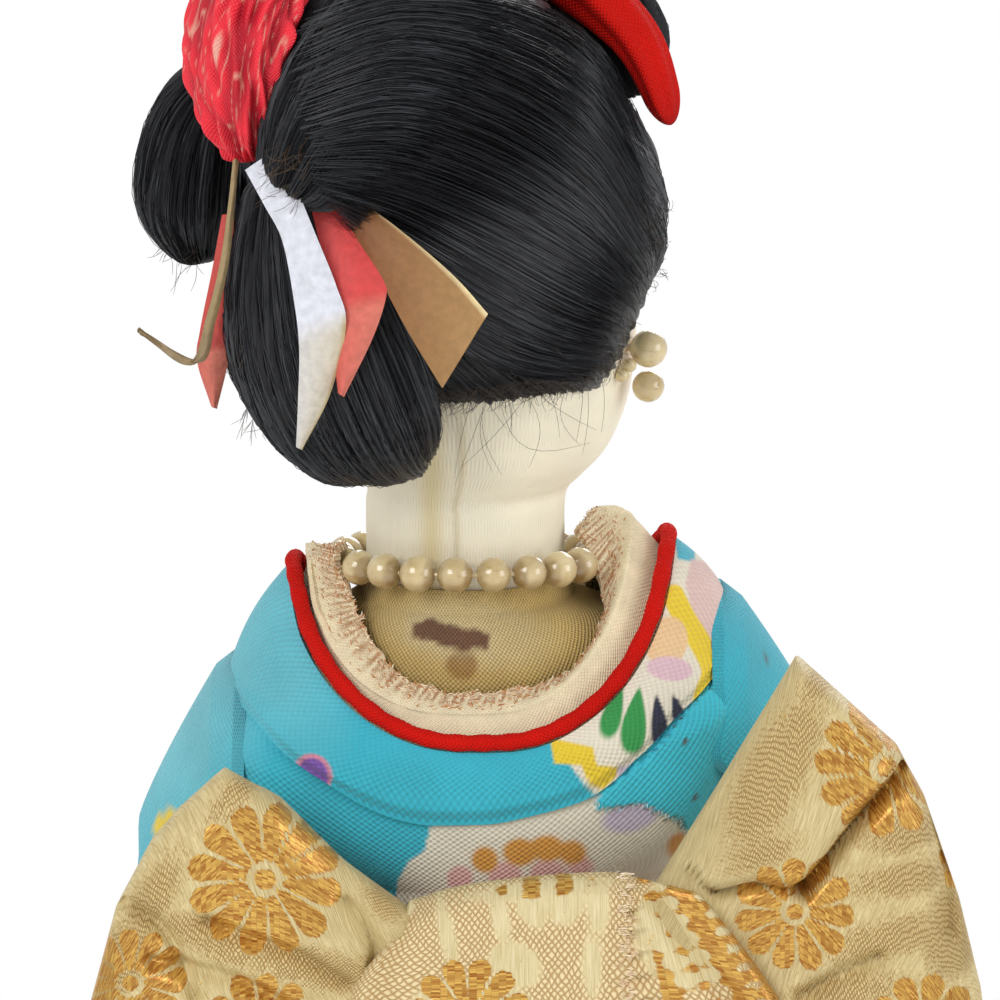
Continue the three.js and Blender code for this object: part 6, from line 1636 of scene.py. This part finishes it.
# Loose weft: bare copper-gold tinsel and cream silk, thin and shiny.
tinsel = thread_material("loose_gold_weft", "#b9793a", 0.35, "#bd7d45", "#f3e6c6")
bright = draw.random(FRAY_COUNT) < 0.6
weft = add_threads("frayed_collar_weft", loose, 0.07, bright * draw.uniform(0.4, 1, FRAY_COUNT))
dress(weft, tinsel, "figure", "cream_brocade")
blue_ends = thread_material("loose_turquoise_thread", TURQUOISE, 0.7, "#5fb4c8", "#efe9dc")
shoulder_edge = add_threads("frayed_shoulder_edge", fray, 0.06, draw.random(len(fray)))
dress(shoulder_edge, blue_ends, "figure", "kimono_crepe")

# The sash: a stiff brocade band wound round the waist, with a red crepe scarf tucked in above it and a
# laid red cord tied round its middle.
SASH_LOW = -14.0
SASH_HIGH = 26.0
SASH_OUTSIDE = 2.35
SCARF_RADIUS = 1.3
SCARF_LIFT = SASH_HIGH + GAP + SCARF_RADIUS
CORD_RADIUS = 1.2
CORD_Z = 5.0
CORD_OUTSIDE = SASH_OUTSIDE + GAP + CORD_RADIUS - 0.5
CORD_TURNS = 60
SASH_DIP = 4.5
SASH_ROWS = 48
SASH_COLUMNS = 380
RING_STEPS = 700
# Chrysanthemums on the sash, place and radius in mm. The first six lie on rounds of satin.
SASH_FLOWERS = (
    ((88, 14), 8), ((104, -4), 8.5), ((122, 15), 8), ((70, -3), 8), ((20, 10), 8), ((46, 14), 8),
    ((2, -5), 7), ((134, -5), 7),
)
SATIN_FLOWERS = SASH_FLOWERS[:6]


def blossom(x, y, middle, radius, petals, turn=0.0, soft=0.25):
    """How far places lie in a chrysanthemum: a round middle, and a ring of long petals folded onto one
    by their angle, each a wedge that widens outwards and closes in a half round."""
    r = np.hypot(x - middle[0], y - middle[1])
    a = np.arctan2(y - middle[1], x - middle[0])
    step = TURN / petals
    off = np.abs((a - turn + step / 2) % step - step / 2)
    along = (r / radius - 0.24) / 0.76
    half = 0.42 * step * np.sqrt(np.clip(1 - np.clip((along - 0.72) / 0.28, 0, 1) ** 2, 0, 1))
    wedge = np.clip((half - off) * r / soft + 0.5, 0, 1) * np.clip(along * 0.76 * radius / soft + 0.5, 0, 1)
    return np.maximum(wedge, np.clip((0.14 * radius - r) / soft + 0.5, 0, 1))


def brocade_material(name, seed, brick, satin_run, turn, tones):
    """A figured silk. The ground is woven in raised seeds; where the satin layer says so it is smooth
    with fine streaks; petals are floats of gold thread laid like bricks. Sizes are in mm across and along
    the UV map, and a noise frays the borders between the three."""
    material, tree, shader = new_material(name, tones[1], 0.5, Specular_IOR_Level=0.4)
    seeds = ranged(tree, weave(tree, *seed, 0.8, cells=True), 0.0, 1.4)
    uv = add_node(tree, "UVMap", uv_map="UVMap").outputs[0]
    rough_edge = add_node(tree, "TexNoise", {"Vector": uv, "Scale": 1.6, "Detail": 3.0}).outputs[0]
    shares = []
    for layer, soft in (("satin", 0.22), ("petal", 0.1)):
        share = add_node(tree, "Math", {0: painted(tree, layer), 1: rough_edge}, operation="ADD")
        shares.append(ranged(tree, share.outputs[0], 1 - soft, 1 + soft))
    satin, petal = shares
    run = {"Vector": uv, "Rotation": (0, 0, np.radians(turn)), "Scale": (*satin_run, 1)}
    turned = add_node(tree, "Mapping", run, vector_type="TEXTURE").outputs[0]
    streaks = add_node(tree, "TexNoise", {"Vector": turned, "Scale": 1.0, "Detail": 3.0}).outputs[0]
    streak = ranged(tree, streaks, 0.3, 0.7)
    # The gold floats: each brick a random shade from dark orange to bright gold, the thread's own gold with
    # painted glints.
    bricks = add_node(tree, "TexBrick", {
        "Vector": uv, "Scale": 1.0, "Brick Width": brick[0], "Row Height": brick[1],
        "Mortar Size": 0.025, "Mortar Smooth": 0.4,
        "Color1": linear("#a55f1c"), "Color2": linear("#ecbf60"), "Mortar": linear("#c39a4e"),
    }).outputs
    ground = blended(tree, satin, blended(tree, seeds, *tones[:2]), blended(tree, streak, *tones[2:]))
    metal = add_node(tree, "Math", {0: petal, 1: 0.4}, operation="MULTIPLY").outputs[0]
    rough = ranged(tree, petal, 0.0, 1.0, 0.48, 0.34)
    colour = blended(tree, petal, ground, bricks["Color"])
    feed(tree, shader, Base_Color=colour, Metallic=metal, Roughness=rough)
    relief = blended(tree, petal, blended(tree, satin, seeds, streak), bricks["Fac"])
    emboss(tree, shader, relief, 0.15, 0.8)
    return material


# Brocade: cream silk in raised seeds and smooth satin, with petals of orange-gold thread that glint. The
# knot is cut from a coarser part of the cloth, and on the bow the cloth lies a quarter turn round.
SILK_TONES = ("#9a7840", "#d8be84", "#bba36c", "#e0cf9c")
KNOT_TONES = ("#b18d56", "#e6d1a2", "#c9b682", "#e4d6aa")
sash_brocade = brocade_material("gold_flower_brocade", (0.55, 0.62), (0.7, 0.2), (0.2, 3.0), 0, SILK_TONES)
wing_brocade = brocade_material(
    "gold_flower_brocade_bow", (0.62, 0.55), (0.2, 0.7), (3.0, 0.2), 28, SILK_TONES
)
knot_brocade = brocade_material(
    "coarse_flower_brocade_knot", (0.85, 0.7), (0.22, 0.8), (4.0, 0.22), 0, KNOT_TONES
)


def sash_dip(angle):
    """How far the sash's upper edge sinks at the back, under the bow."""
    return SASH_DIP * eased(np.clip(2 * np.sin(angle) + 0.2, 0, 1))


def waist_oval(angle, grow, height):
    """Points round the waist's oval, grown outwards, at a height above the waist."""
    x = BODY_SHIFT + (WAIST_HALF[0] + grow) * np.cos(angle)
    y = (WAIST_HALF[1] + grow) * np.sin(angle)
    return np.stack(np.broadcast_arrays(x, y, WAIST_Z + height), -1)


angle = round_angles(SASH_COLUMNS)[None, :]
dip = sash_dip(angle)
height = np.linspace(SASH_LOW, SASH_HIGH, SASH_ROWS)[:, None]
height = height - dip * np.linspace(0, 1, SASH_ROWS)[:, None] ** 3
rounded = np.minimum(height - SASH_LOW, SASH_HIGH - dip - height)
outside = SASH_OUTSIDE - 0.8 * np.clip(1 - rounded / 1.2, 0, 1) ** 2
outside = outside - 0.7 * np.exp(-(((height - CORD_Z) / 2.2) ** 2))
outside = outside + 0.12 * np.sin(13 * angle + height * 0.1)
cloth_x = angle * 22.0 + 0 * height
cloth_y = height + 0 * angle
petals = np.max([blossom(cloth_x, cloth_y, place, size, 12) for place, size in SASH_FLOWERS], axis=0)
satins = np.max([cover(cloth_x, cloth_y, place, (10, 10), soft=1) for place, _ in SATIN_FLOWERS], axis=0)
inside = lining_rows(waist_oval(angle, GAP + 0 * outside, height))
sash = add_surface(
    "brocade_sash_band", np.concatenate([waist_oval(angle, outside, height), inside]), True,
    {"petal": both_sides(petals), "satin": both_sides(satins)},
)
dress(sash, sash_brocade, "figure", "gold_brocade", "sash_band")
ring_angle = round_angles(RING_STEPS)
for name, node, grow, lift, radius, twist in (
    ("red_crepe_scarf_roll", "sash_scarf", GAP + SCARF_RADIUS, SCARF_LIFT, SCARF_RADIUS, 0),
    ("laid_red_sash_cord", "sash_cord", CORD_OUTSIDE, CORD_Z, CORD_RADIUS, CORD_TURNS),
):
    middle = waist_oval(ring_angle, grow, lift - sash_dip(ring_angle) * (twist == 0))
    tangent = unit(np.roll(middle, -1, 0) - np.roll(middle, 1, 0))
    normal = np.cross(tangent, np.array([0, 0, 1.0]))
    size = radius * (1 + 0.1 * np.sin(23 * ring_angle) * (twist == 0))[:, None]
    ring = add_surface(name, ring_cord(middle, normal, tangent, size, 12, twist), True)
    dress(ring, red_crepe, "figure", "red_crepe", node)

# The bow: a small pad on the sash, a folded knot over it, two stiff wings and two hanging tails, all
# of the sash's brocade. It is made up apart and sewn on; the knot's cut edge frays.
BOW_X = -8.0
KNOT_HALF = (15.0, 4.5, 11.0)
KNOT_Z = 19.5
KNOT_FRONT = 23.45
WING_Y = 27.95
PAD_SIZE = (12.0, 1.3, 6.6)
PAD_PLACE = (21.8, 22.5)
TAIL_WIDTH = 17.0
TAIL_LENGTH = 64.0
TAIL_SPREAD = 10.0
BROCADE = 1.6
TAIL_TOP = 7.8
TAIL_ROWS = 90
TAIL_COLUMNS = 40
TAIL_FLOWERS = ((-2, 14), (3, 34), (-2, 54))
KNOT_LAP = 623
KNOT_FRAY = 260
KNOT_ROWS = 120
KNOT_COLUMNS = 230
GOLD_PANEL = [(634, 874), (676, 862), (800, 1010), (664, 1010)]
# Fields of smooth satin on the knot: place and half sizes in the photo's pixels, and turn in degrees.
KNOT_SATIN = (
    ((447, 935), (8, 38), -12), ((500, 915), (9, 30), -10), ((470, 1005), (60, 26), 0),
    ((515, 965), (28, 22), 30), ((532, 905), (16, 24), -20), ((566, 900), (20, 26), 15),
    ((598, 905), (12, 30), 0), ((592, 965), (10, 32), 0), ((690, 930), (56, 60), 0),
    ((400, 905), (14, 14), 0), ((540, 890), (70, 10), -6),
)
WING_ROWS = 150
WING_COLUMNS = 250
WING_SECTION = (4.5, 24)
WING_SQUARE = 0.6
# Each wing's sections from the knot out: distance, top, bottom and half depth, in mm.
WINGS = {
    "left": (1, [
        (-3, 27, 12, 3), (6, 34, 4, 4.2), (13, 41, -3, 5), (19, 44.6, -8, 5), (24, 40, -10, 5),
        (27, 36.5, -10, 4.6), (31, 29, -9, 4), (34, 18, -7, 3), (36, 7, -3, 1.4),
    ]),
    "right": (-1, [
        (-3, 30, 12, 3), (6, 45, 4, 4.2), (13, 57, -4, 5), (18, 52.5, -8, 5.2), (24, 47, -10, 5.2),
        (27, 41.5, -10, 5), (31, 30, -8, 4.2), (33.5, 20, -6, 3), (35, 8, -3, 1.4),
    ]),
}
# In the photo's pixels: flowers with radius, petals and turn, then fields of seeds, then folds.
WING_FLOWERS = {
    "left": [
        ((265, 880), 78, 12, 0.2), ((130, 985), 56, 12, 0.5), ((262, 1035), 62, 12, 0.1),
        ((150, 1110), 60, 12, 0.9),
    ],
    "right": [
        ((795, 912), 60, 11, 0.1), ((886, 764), 72, 12, 0.6), ((925, 1035), 62, 11, 0.3),
        ((985, 862), 45, 11, 0.3), ((800, 1070), 60, 12, 0.7),
    ],
}
WING_SEEDS = {
    "left": [
        ((238, 790), (46, 13), -52), ((150, 905), (60, 20), -62), ((215, 940), (62, 20), 24),
        ((315, 968), (80, 22), 12), ((384, 902), (26, 15), 42), ((120, 960), (50, 30), -50),
        ((200, 1060), (70, 40), 10), ((330, 1070), (60, 50), 0),
    ],
    "right": [
        ((775, 772), (88, 32), -62), ((818, 680), (26, 15), -50), ((908, 832), (46, 22), -15),
        ((903, 880), (60, 18), -12), ((890, 938), (70, 20), -15), ((952, 930), (30, 50), 10),
        ((850, 990), (60, 18), -8), ((760, 850), (40, 16), -20), ((880, 1080), (60, 40), 0),
    ],
}
RIGHT_FOLD = [(918, 740), (897, 776), (862, 817), (829, 860), (803, 890)]
RIGHT_STRIP = [
    (805, 654), (798, 656), (789, 674), (732, 787), (686, 860), (716, 892), (755, 883), (801, 892),
    (828, 860), (860, 819), (895, 778), (915, 743), (860, 690),
]
RIGHT_CREASES = [
    [(801, 892), (760, 884), (716, 893)], [(880, 960), (840, 975), (800, 1000)],
    [(930, 800), (945, 860), (950, 930)],
]
LEFT_OPENING = [(222, 766), (240, 772), (256, 780)]
LEFT_CREASES = [
    [(205, 925), (250, 943), (300, 958), (345, 985)], [(120, 900), (165, 935), (195, 1000)],
    [(150, 965), (230, 980), (290, 1010)], [(345, 905), (370, 940), (378, 1000)],
]


def box_lobe(half_width, y, half_depth, z, half_height, rows, columns, relief=None):
    """A stuffed box along X: an oval section, a little smaller towards both ends."""
    path = [(BOW_X - half_width, y, z), (BOW_X, y, z), (BOW_X + half_width, y, z)]
    wide = half_height * np.array([0.86, 0.97, 1, 1, 0.97, 0.86])
    deep = half_depth * np.array([0.7, 0.95, 1, 1, 0.95, 0.7])
    return lobe(path, (0, 0, 1), wide, deep, rows, columns, relief, tip=0.08) + [0, 0, WAIST_Z]


def near_line(x, y, corners, width):
    """How near places lie to a line through corners: 1 on it, a bell curve of the width beside it."""
    line = spline(corners, 60)
    distance = np.min([np.hypot(x - a, y - b) for a, b in line], axis=0)
    return np.exp(-((distance / width) ** 2))


def satin_leaves(x, y):
    """Leaf-like fields of smooth satin among the seeds, where two crossing waves add up."""
    waves = np.sin(0.036 * x + 0.022 * y) + np.sin(0.043 * y - 0.03 * x + 1.3)
    waves = waves + 0.4 * np.sin(0.11 * x + 0.09 * y)
    return np.clip((waves - 0.25) / 0.12 + 0.5, 0, 1)


def lapped_edge(down):
    """Where the knot's lapped, wavy edge lies across the picture, by the place down it."""
    return KNOT_LAP + 5 * np.sin(down * 0.35)


pad_grid = box_lobe(PAD_SIZE[0], PAD_PLACE[0], PAD_SIZE[1], PAD_PLACE[1], PAD_SIZE[2], 40, 60)
pad = add_surface("bow_pad_stuffed", pad_grid)
dress(pad, wadding, "figure", "wadding", "bow_pad")

knot_y = KNOT_FRONT + KNOT_HALF[1]
knot_grid = box_lobe(KNOT_HALF[0], knot_y, KNOT_HALF[1], KNOT_Z, KNOT_HALF[2], KNOT_ROWS, KNOT_COLUMNS)
across, down = photo_place(knot_grid)
toward = np.clip((knot_grid[..., 1] - KNOT_FRONT - KNOT_HALF[1]) / 2, 0, 1)
lapped = np.clip((lapped_edge(down) - across) / 4 + 0.5, 0, 1)
slope = near_line(across, down, [(668, 868), (700, 910), (738, 955), (778, 1000)], 16)
second = near_line(across, down, [(630, 872), (640, 930), (656, 1000)], 7)
soft_folds = 0.35 * np.sin(down * 0.05 + across * 0.012) + 0.3 * np.sin(across * 0.045)
move = toward * (0.9 * lapped + 1.2 * slope - 1.8 * second + soft_folds)
upper = np.clip((knot_grid[..., 2] - WAIST_Z - KNOT_Z) / KNOT_HALF[2], 0, 1)
lean = 0.6 + 2.6 * np.clip((across - 413) / 253, 0, 1)
knot_grid = knot_grid + move[..., None] * np.array([0, 1, 0])
knot_grid = knot_grid + (upper * lean)[..., None] * np.array([0, 0, 1])
at_left = np.clip((knot_grid[..., 0] - BOW_X - 11) / 4, 0, 1)
flared = eased(np.clip((down - 905) / 95, 0, 1)) * at_left * toward
knot_grid = knot_grid + flared[..., None] * np.array([6.5, 1.2, 0])
at_end = np.clip((BOW_X - 8 - knot_grid[..., 0]) / 7, 0, 1)
above_foot = np.clip((knot_grid[..., 2] - WAIST_Z - KNOT_Z) / 4 + 2, 0, 1)
panel = np.clip((down - 862) / 134, 0, 1.05) * above_foot * at_end
knot_grid = knot_grid + panel[..., None] * np.array([-12.0, 1.0, 0])
knot_grid[..., 1] += at_end * (3.4 + 2.4 * upper)
facet = near_line(across, down, [(413, 896), (411, 940), (416, 1000)], 4) * toward
knot_grid = knot_grid - 0.9 * facet[..., None] * np.array([0, 1, 0])
across, down = photo_place(knot_grid)
knot_petals = blossom(across, down, (470, 1020), 62, 12, 0.2, 3.0)
flecks = np.sin(0.13 * across + 0.1 * down) * np.sin(0.21 * down - 0.06 * across)
flecks = flecks + 0.6 * np.sin(0.07 * across - 0.045 * down)
gold_panel = patch(across, down, GOLD_PANEL, 8)
knot_petals = np.maximum(knot_petals, gold_panel * np.clip(0.55 + 0.6 * flecks, 0, 0.9))
bare_top = cover(across, down, (545, 886), (50, 12), -6, soft=4) * (0.5 + 0.5 * np.sin(across * 0.19 + 1.2))
knot_petals = np.maximum(knot_petals, bare_top)
knot_satin = np.max([cover(across, down, *field, soft=12) for field in KNOT_SATIN], axis=0)
knot_satin = np.maximum(knot_satin, satin_leaves(across, down) * np.clip((down - 1000) / 20, 0, 1))
knot = add_surface("brocade_bow_knot", knot_grid, False, {"petal": knot_petals, "satin": knot_satin})
dress(knot, knot_brocade, "figure", "gold_brocade", "bow_knot")

fine = np.linspace(0, TURN, 4001)
section = np.stack([WING_SECTION[0] * np.cos(fine), WING_SECTION[1] * np.sin(fine)], -1)
section = np.sign(section) * np.abs(section / WING_SECTION) ** WING_SQUARE * WING_SECTION
run = run_along(section)
even = np.linspace(0, 1, WING_COLUMNS, endpoint=False)
dense_behind = even - 0.45 * np.sin(TURN * even) / TURN
spin = np.interp(run[-1] * dense_behind, run, fine)[None, :]
for side, (sign, wing_rows) in WINGS.items():
    places = np.linspace(0, len(wing_rows) - 1, WING_ROWS)
    columns = [np.interp(places, np.arange(len(wing_rows)), column) for column in zip(*wing_rows)]
    out, top, bottom, half = columns
    c = np.cos(spin)
    s = np.sin(spin)
    x = BOW_X + sign * (KNOT_HALF[0] + out[:, None]) + 0 * spin
    y = WING_Y + half[:, None] * np.sign(c) * np.abs(c) ** WING_SQUARE
    z = WAIST_Z + (top + bottom)[:, None] / 2
    z = z + (top - bottom)[:, None] / 2 * np.sign(s) * np.abs(s) ** WING_SQUARE
    grid = np.stack([x, y, z], -1)
    across, down = photo_place(grid)
    toward = np.clip((y - WING_Y) / 1.5, -1, 1)
    move = 0.45 * np.sin(across * 0.021 + down * 0.034) + 0.3 * np.sin(across * 0.05 - down * 0.022)
    if side == "right":
        move = move - 3.6 * near_line(across, down, RIGHT_FOLD, 9)
        move = move + 1.5 * patch(across, down, RIGHT_STRIP, 5)
        creases, gold_lines = RIGHT_CREASES, [RIGHT_FOLD]
    else:
        move = move - 2.4 * near_line(across, down, LEFT_OPENING, 6)
        creases, gold_lines = LEFT_CREASES, []
    for crease in creases:
        move = move - 1.8 * near_line(across, down, crease, 8)
    edge_soft = np.clip(np.abs(c) * 3, 0, 1)
    grid = grid + (move * toward * edge_soft)[..., None] * np.array([0, 1, 0])
    petals = np.max([blossom(across, down, *flower, 2.5) for flower in WING_FLOWERS[side]], axis=0)
    for line in gold_lines:
        petals = np.maximum(petals, 0.6 * near_line(across, down, line, 5))
    seeded = np.max([cover(across, down, *field, soft=30) for field in WING_SEEDS[side]], axis=0)
    satins = 1 - seeded * (1 - petals)
    wing = add_surface(f"brocade_bow_wing_{side}", grid, False, {"petal": petals, "satin": satins})
    dress(wing, wing_brocade, "figure", "gold_brocade", f"bow_wing_{side}")

for side, sign in (("left", 1), ("right", -1)):
    x = BOW_X + sign * TAIL_SPREAD
    path = spline([
        (x - sign, KNOT_FRONT + 2, TAIL_TOP),
        (x, KNOT_FRONT + 3, TAIL_TOP - TAIL_LENGTH * 0.35),
        (x + 2 * sign, KNOT_FRONT + 2, TAIL_TOP - TAIL_LENGTH),
    ], TAIL_ROWS)
    share = np.linspace(-0.5, 0.5, TAIL_COLUMNS)[None, :]
    t = np.linspace(0, 1, TAIL_ROWS)[:, None]
    bend = 0.5 * np.sin(share * 7 + t * 3) * (0.3 + t)
    cloth_x = TAIL_WIDTH * share + 0 * t
    cloth_y = TAIL_LENGTH * t + 0 * share
    front = path[:, None] + np.stack([cloth_x, bend + BROCADE / 2, 0 * share * t], -1) + [0, 0, WAIST_Z]
    petals = np.max([blossom(cloth_x, cloth_y, place, 7.4, 12) for place in TAIL_FLOWERS], axis=0)
    satins = np.max([cover(cloth_x, cloth_y, place, (9, 9), soft=1) for place in TAIL_FLOWERS], axis=0)
    layers = {"petal": petals, "satin": satins}
    layers = {name: np.concatenate([layer, layer[:, ::-1]], 1) for name, layer in layers.items()}
    tail = add_surface(f"brocade_bow_tail_{side}", plate(front, BROCADE), False, layers)
    dress(tail, sash_brocade, "figure", "gold_brocade", f"bow_tail_{side}")
edge_y = draw.uniform(866, 1000, KNOT_FRAY)
edge_x = lapped_edge(edge_y) + draw.normal(0, 3, KNOT_FRAY)
starts = nearest_seen(knot_grid, edge_x, edge_y) + 0.15 * VIEW_BACK
ends = curls(starts, 97, 0.45, (-1.0, 0.3, 0.1), 1.4)
knot_edge = add_threads("frayed_knot_edge", ends, 0.04, draw.uniform(0.3, 1, KNOT_FRAY))
dress(knot_edge, tinsel, "figure", "gold_brocade")

# The arms: wound wadding on the shoulder wires, with carved hands in silk, inside long hanging sleeves.
# The left hand rests before the skirt; the right forearm is lifted. The sleeves are lined in red.
ARM_RADIUS = 3.2
SLEEVE_BAG = 7.0
SLEEVE_CLOTH = 0.55
SLEEVE_LEAN = 1.35
SLEEVE_RIM = 1.4
SLEEVE_CAP_CURVE = 1.2
SLEEVE_TUCK = (2.0, 1.3)
HAND_LENGTH = 17.0
HAND_HALF = (3.4, 1.8)
SLEEVE_ROWS = 112
SLEEVE_COLUMNS = 104
# Each arm, in mm: its side of X, X of the sleeve's flat side and of the arm, Z of the pivot, radii of the
# sleeve's head and of the hole under it, the arm's path as (y, z), the way the hand points, and the
# sleeve's outline as (y, z) of its rear and its front edge.
ARMS = {
    "left": (
        1, 28.35, 32.9, 231.0, 18.0, 13.0,
        [(0, 0), (-2, -22), (-6, -44), (-17, -58), (-28, -70)], (-0.05, -0.8, -0.6),
        [
            (13, -14, -14, -14), (8, -30, -13, -30), (7.5, -52, -24, -48), (7, -70, -35, -62),
            (6.5, -90, -37, -86), (6, -112, -36, -110), (4, -115, -34, -113),
        ],
    ),
    "right": (
        -1, 31.35, 35.9, 242.0, 15.0, 12.0,
        [(0, 0), (-6, -17), (-15, -33), (-26, -28), (-39, -20)], (0.35, -0.75, 0.65),
        [
            (11, -8, -27, -6.5), (7.5, -16, -43, -13), (7, -34, -44, -32), (5, -62, -43, -60),
            (3, -106, -41, -102), (1, -109, -39, -105),
        ],
    ),
}
SLEEVE_SPRAYS = {
    "left": [
        ((12, 30), 0.6, 0.8), ((26, 70), 2.4, 1.0), ((14, 104), 4.2, 1.0), ((62, 60), 1.0, 0.9),
        ((66, 100), 3.0, 1.0),
    ],
    "right": [
        ((16, 34), 0.6, 0.9), ((30, 66), 2.4, 1.0), ((16, 96), 4.2, 1.0), ((70, 50), 1.0, 0.9),
        ((66, 90), 3.0, 1.0),
    ],
}
for side, (sign, flat_x, axis_x, pivot_z, head, below, arm_path, pointing, outline) in ARMS.items():
    body = f"{side}_arm"
    at = np.array([0, 0, pivot_z])
    path = np.array([(sign * axis_x, y, z) for y, z in arm_path])
    wound = lambda t, a: 0.1 * np.sin(a + t * 90)
    arm = lobe(path, (1, 0, 0), [ARM_RADIUS] * 3, [ARM_RADIUS] * 3, 70, 24, wound, 0.04)
    ball = ball_grid(np.array([sign * axis_x, 0, 0]), ARM_RADIUS)
    limbs = [add_surface(f"{side}_limb", arm + at), add_surface(f"{side}_ball", ball + at)]
    arm_piece = join(limbs, f"{side}_wound_arm")
    dress(arm_piece, wadding, body, "wadding", f"{side}_arm")
    ahead = unit(path[-1] - path[-2])
    point = unit(np.array(pointing))
    start = path[-1] + ahead * (ARM_RADIUS * 0.2 + GAP)
    turn_to = lambda share: start + share * HAND_LENGTH * (ahead + (point - ahead) * share)
    width_way = unit(np.array([0, 0.55, 0.85]))
    palm = lobe(
        [turn_to(0), turn_to(0.3), turn_to(0.6)], width_way, HAND_HALF[0] * np.array([0.5, 0.75, 1, 0.95]),
        HAND_HALF[1] * np.array([1, 1, 1, 0.75]), 40, 36,
    )
    parts = [add_surface(f"{side}_palm", palm + at)]
    for finger, (offset, length) in enumerate(((-0.72, 0.92), (-0.25, 1.0), (0.22, 0.98), (0.68, 0.86))):
        shift = width_way * offset * HAND_HALF[0]
        route = [turn_to(0.5) + shift, turn_to(0.72) + shift * 0.95, turn_to(length) + shift * 0.7]
        grid = lobe(route, width_way, [0.86, 0.84, 0.74, 0.5], [0.95, 0.85, 0.72, 0.5], 26, 18)
        parts.append(add_surface(f"{side}_finger_{finger}", grid + at))
    thumb = [
        turn_to(0.2) - width_way * 2.4, turn_to(0.42) - width_way * 3.6, turn_to(0.62) - width_way * 3.3,
    ]
    grid = lobe(thumb, width_way, [1, 0.95, 0.8, 0.5], [0.95, 0.9, 0.75, 0.5], 26, 18)
    parts.append(add_surface(f"{side}_thumb", grid + at))
    hand = join(parts, f"{side}_silk_hand")
    dress(hand, bare_silk, body, "silk_skin", f"{side}_hand")

    lift = np.radians([86, 68, 50, 32, 15, 0])
    crown = np.stack([np.cos(lift), np.sin(lift), -np.cos(lift), np.sin(lift)], -1)
    crown = (head + SLEEVE_TUCK[0]) * crown
    fine = spline(np.concatenate([crown, outline]), 800)
    run = run_along(fine[:, :2])
    even = np.linspace(0, run[-1], SLEEVE_ROWS)
    rear_y, rear_z, front_y, front_z = (np.interp(even, run, column)[:, None] for column in fine.T)
    q = np.linspace(0, 1, SLEEVE_COLUMNS)[None, :]
    share = 1 - np.clip(np.abs(2 * q - 1) - 0.05, 0, 1) / 0.95
    to_outer = eased(np.clip((q - 0.5) / 0.06 + 0.5, 0, 1))
    y = front_y + (rear_y - front_y) * share
    z = front_z + (rear_z - front_z) * share
    line = spline(path, 60)
    near = np.min([np.hypot(y - p[1], z - p[2]) for p in line], axis=0)
    arm_room = 2 * (SLEEVE_CLOTH + 0.8 + ARM_RADIUS)
    bulge = SLEEVE_BAG + (arm_room - SLEEVE_BAG) * np.exp(-((near / (2.4 * ARM_RADIUS)) ** 4))
    t = np.linspace(0, 1, SLEEVE_ROWS)[:, None]
    shut = np.sqrt(np.clip(1 - np.clip((t - 0.93) / 0.07, 0, 1) ** 2, 0.04, 1))
    mouth = np.clip((0.12 - share) / 0.12, 0, 1)
    bulge = np.maximum(bulge * shut * (1 - 0.35 * mouth), 1.35)
    domed = eased(np.clip(z / 6 + 1, 0, 1))
    radius = np.hypot(y, np.maximum(z, 0))
    cap_fall = arm_room + SLEEVE_LEAN - SLEEVE_RIM
    dome = arm_room - cap_fall * np.minimum(radius / head, 1) ** SLEEVE_CAP_CURVE
    lean = domed * SLEEVE_LEAN * np.clip((radius - below) / (head - below), 0, 1) ** 2
    tuck = domed * SLEEVE_TUCK[1] * np.maximum(radius - head, 0)
    sag = 0.45 * np.sin(6 * t + 9 * share) * np.sin(np.pi * t) * to_outer * (1 - domed)
    room = np.maximum(bulge + (dome - bulge) * domed + sag + lean, 1.2)
    outer = np.stack([sign * (flat_x - lean - tuck + room * to_outer), y, z], -1)
    slim = SLEEVE_CLOTH - lean - tuck + (room - 2 * SLEEVE_CLOTH) * to_outer
    back_in = np.clip((share - 0.9) / 0.1, 0, 1) * SLEEVE_CLOTH
    inner = np.stack([sign * (flat_x + slim), y - back_in, z], -1)
    grid = np.concatenate([outer, inner[:, ::-1]], axis=1) + at
    cloth_x = (1 - share) * 42 + to_outer * 50
    cloth_y = t * 125 + 0 * share
    sleeve_print = even_dye(TURQUOISE, outer)
    for spray in SLEEVE_SPRAYS[side]:
        sleeve_print = paint_spray(sleeve_print, cloth_x, cloth_y, *spray)
    across, down = photo_place(outer + at)
    sleeve_print = sheened_and_marked(sleeve_print, across, down, SLEEVE_MARKS, y > 0)
    sleeve_print = lay(sleeve_print, LINING_RED, np.clip((0.02 - share) / 0.008, 0, 1) * (1 - domed))
    lining = lay(even_dye(LINING_RED, outer), TURQUOISE, domed)
    layers = {"print": np.concatenate([sleeve_print, lining], axis=1)}
    sleeve = add_surface(f"{side}_hanging_sleeve", grid, False, layers)
    dress(sleeve, kimono_crepe, body, "kimono_crepe", f"{side}_sleeve")
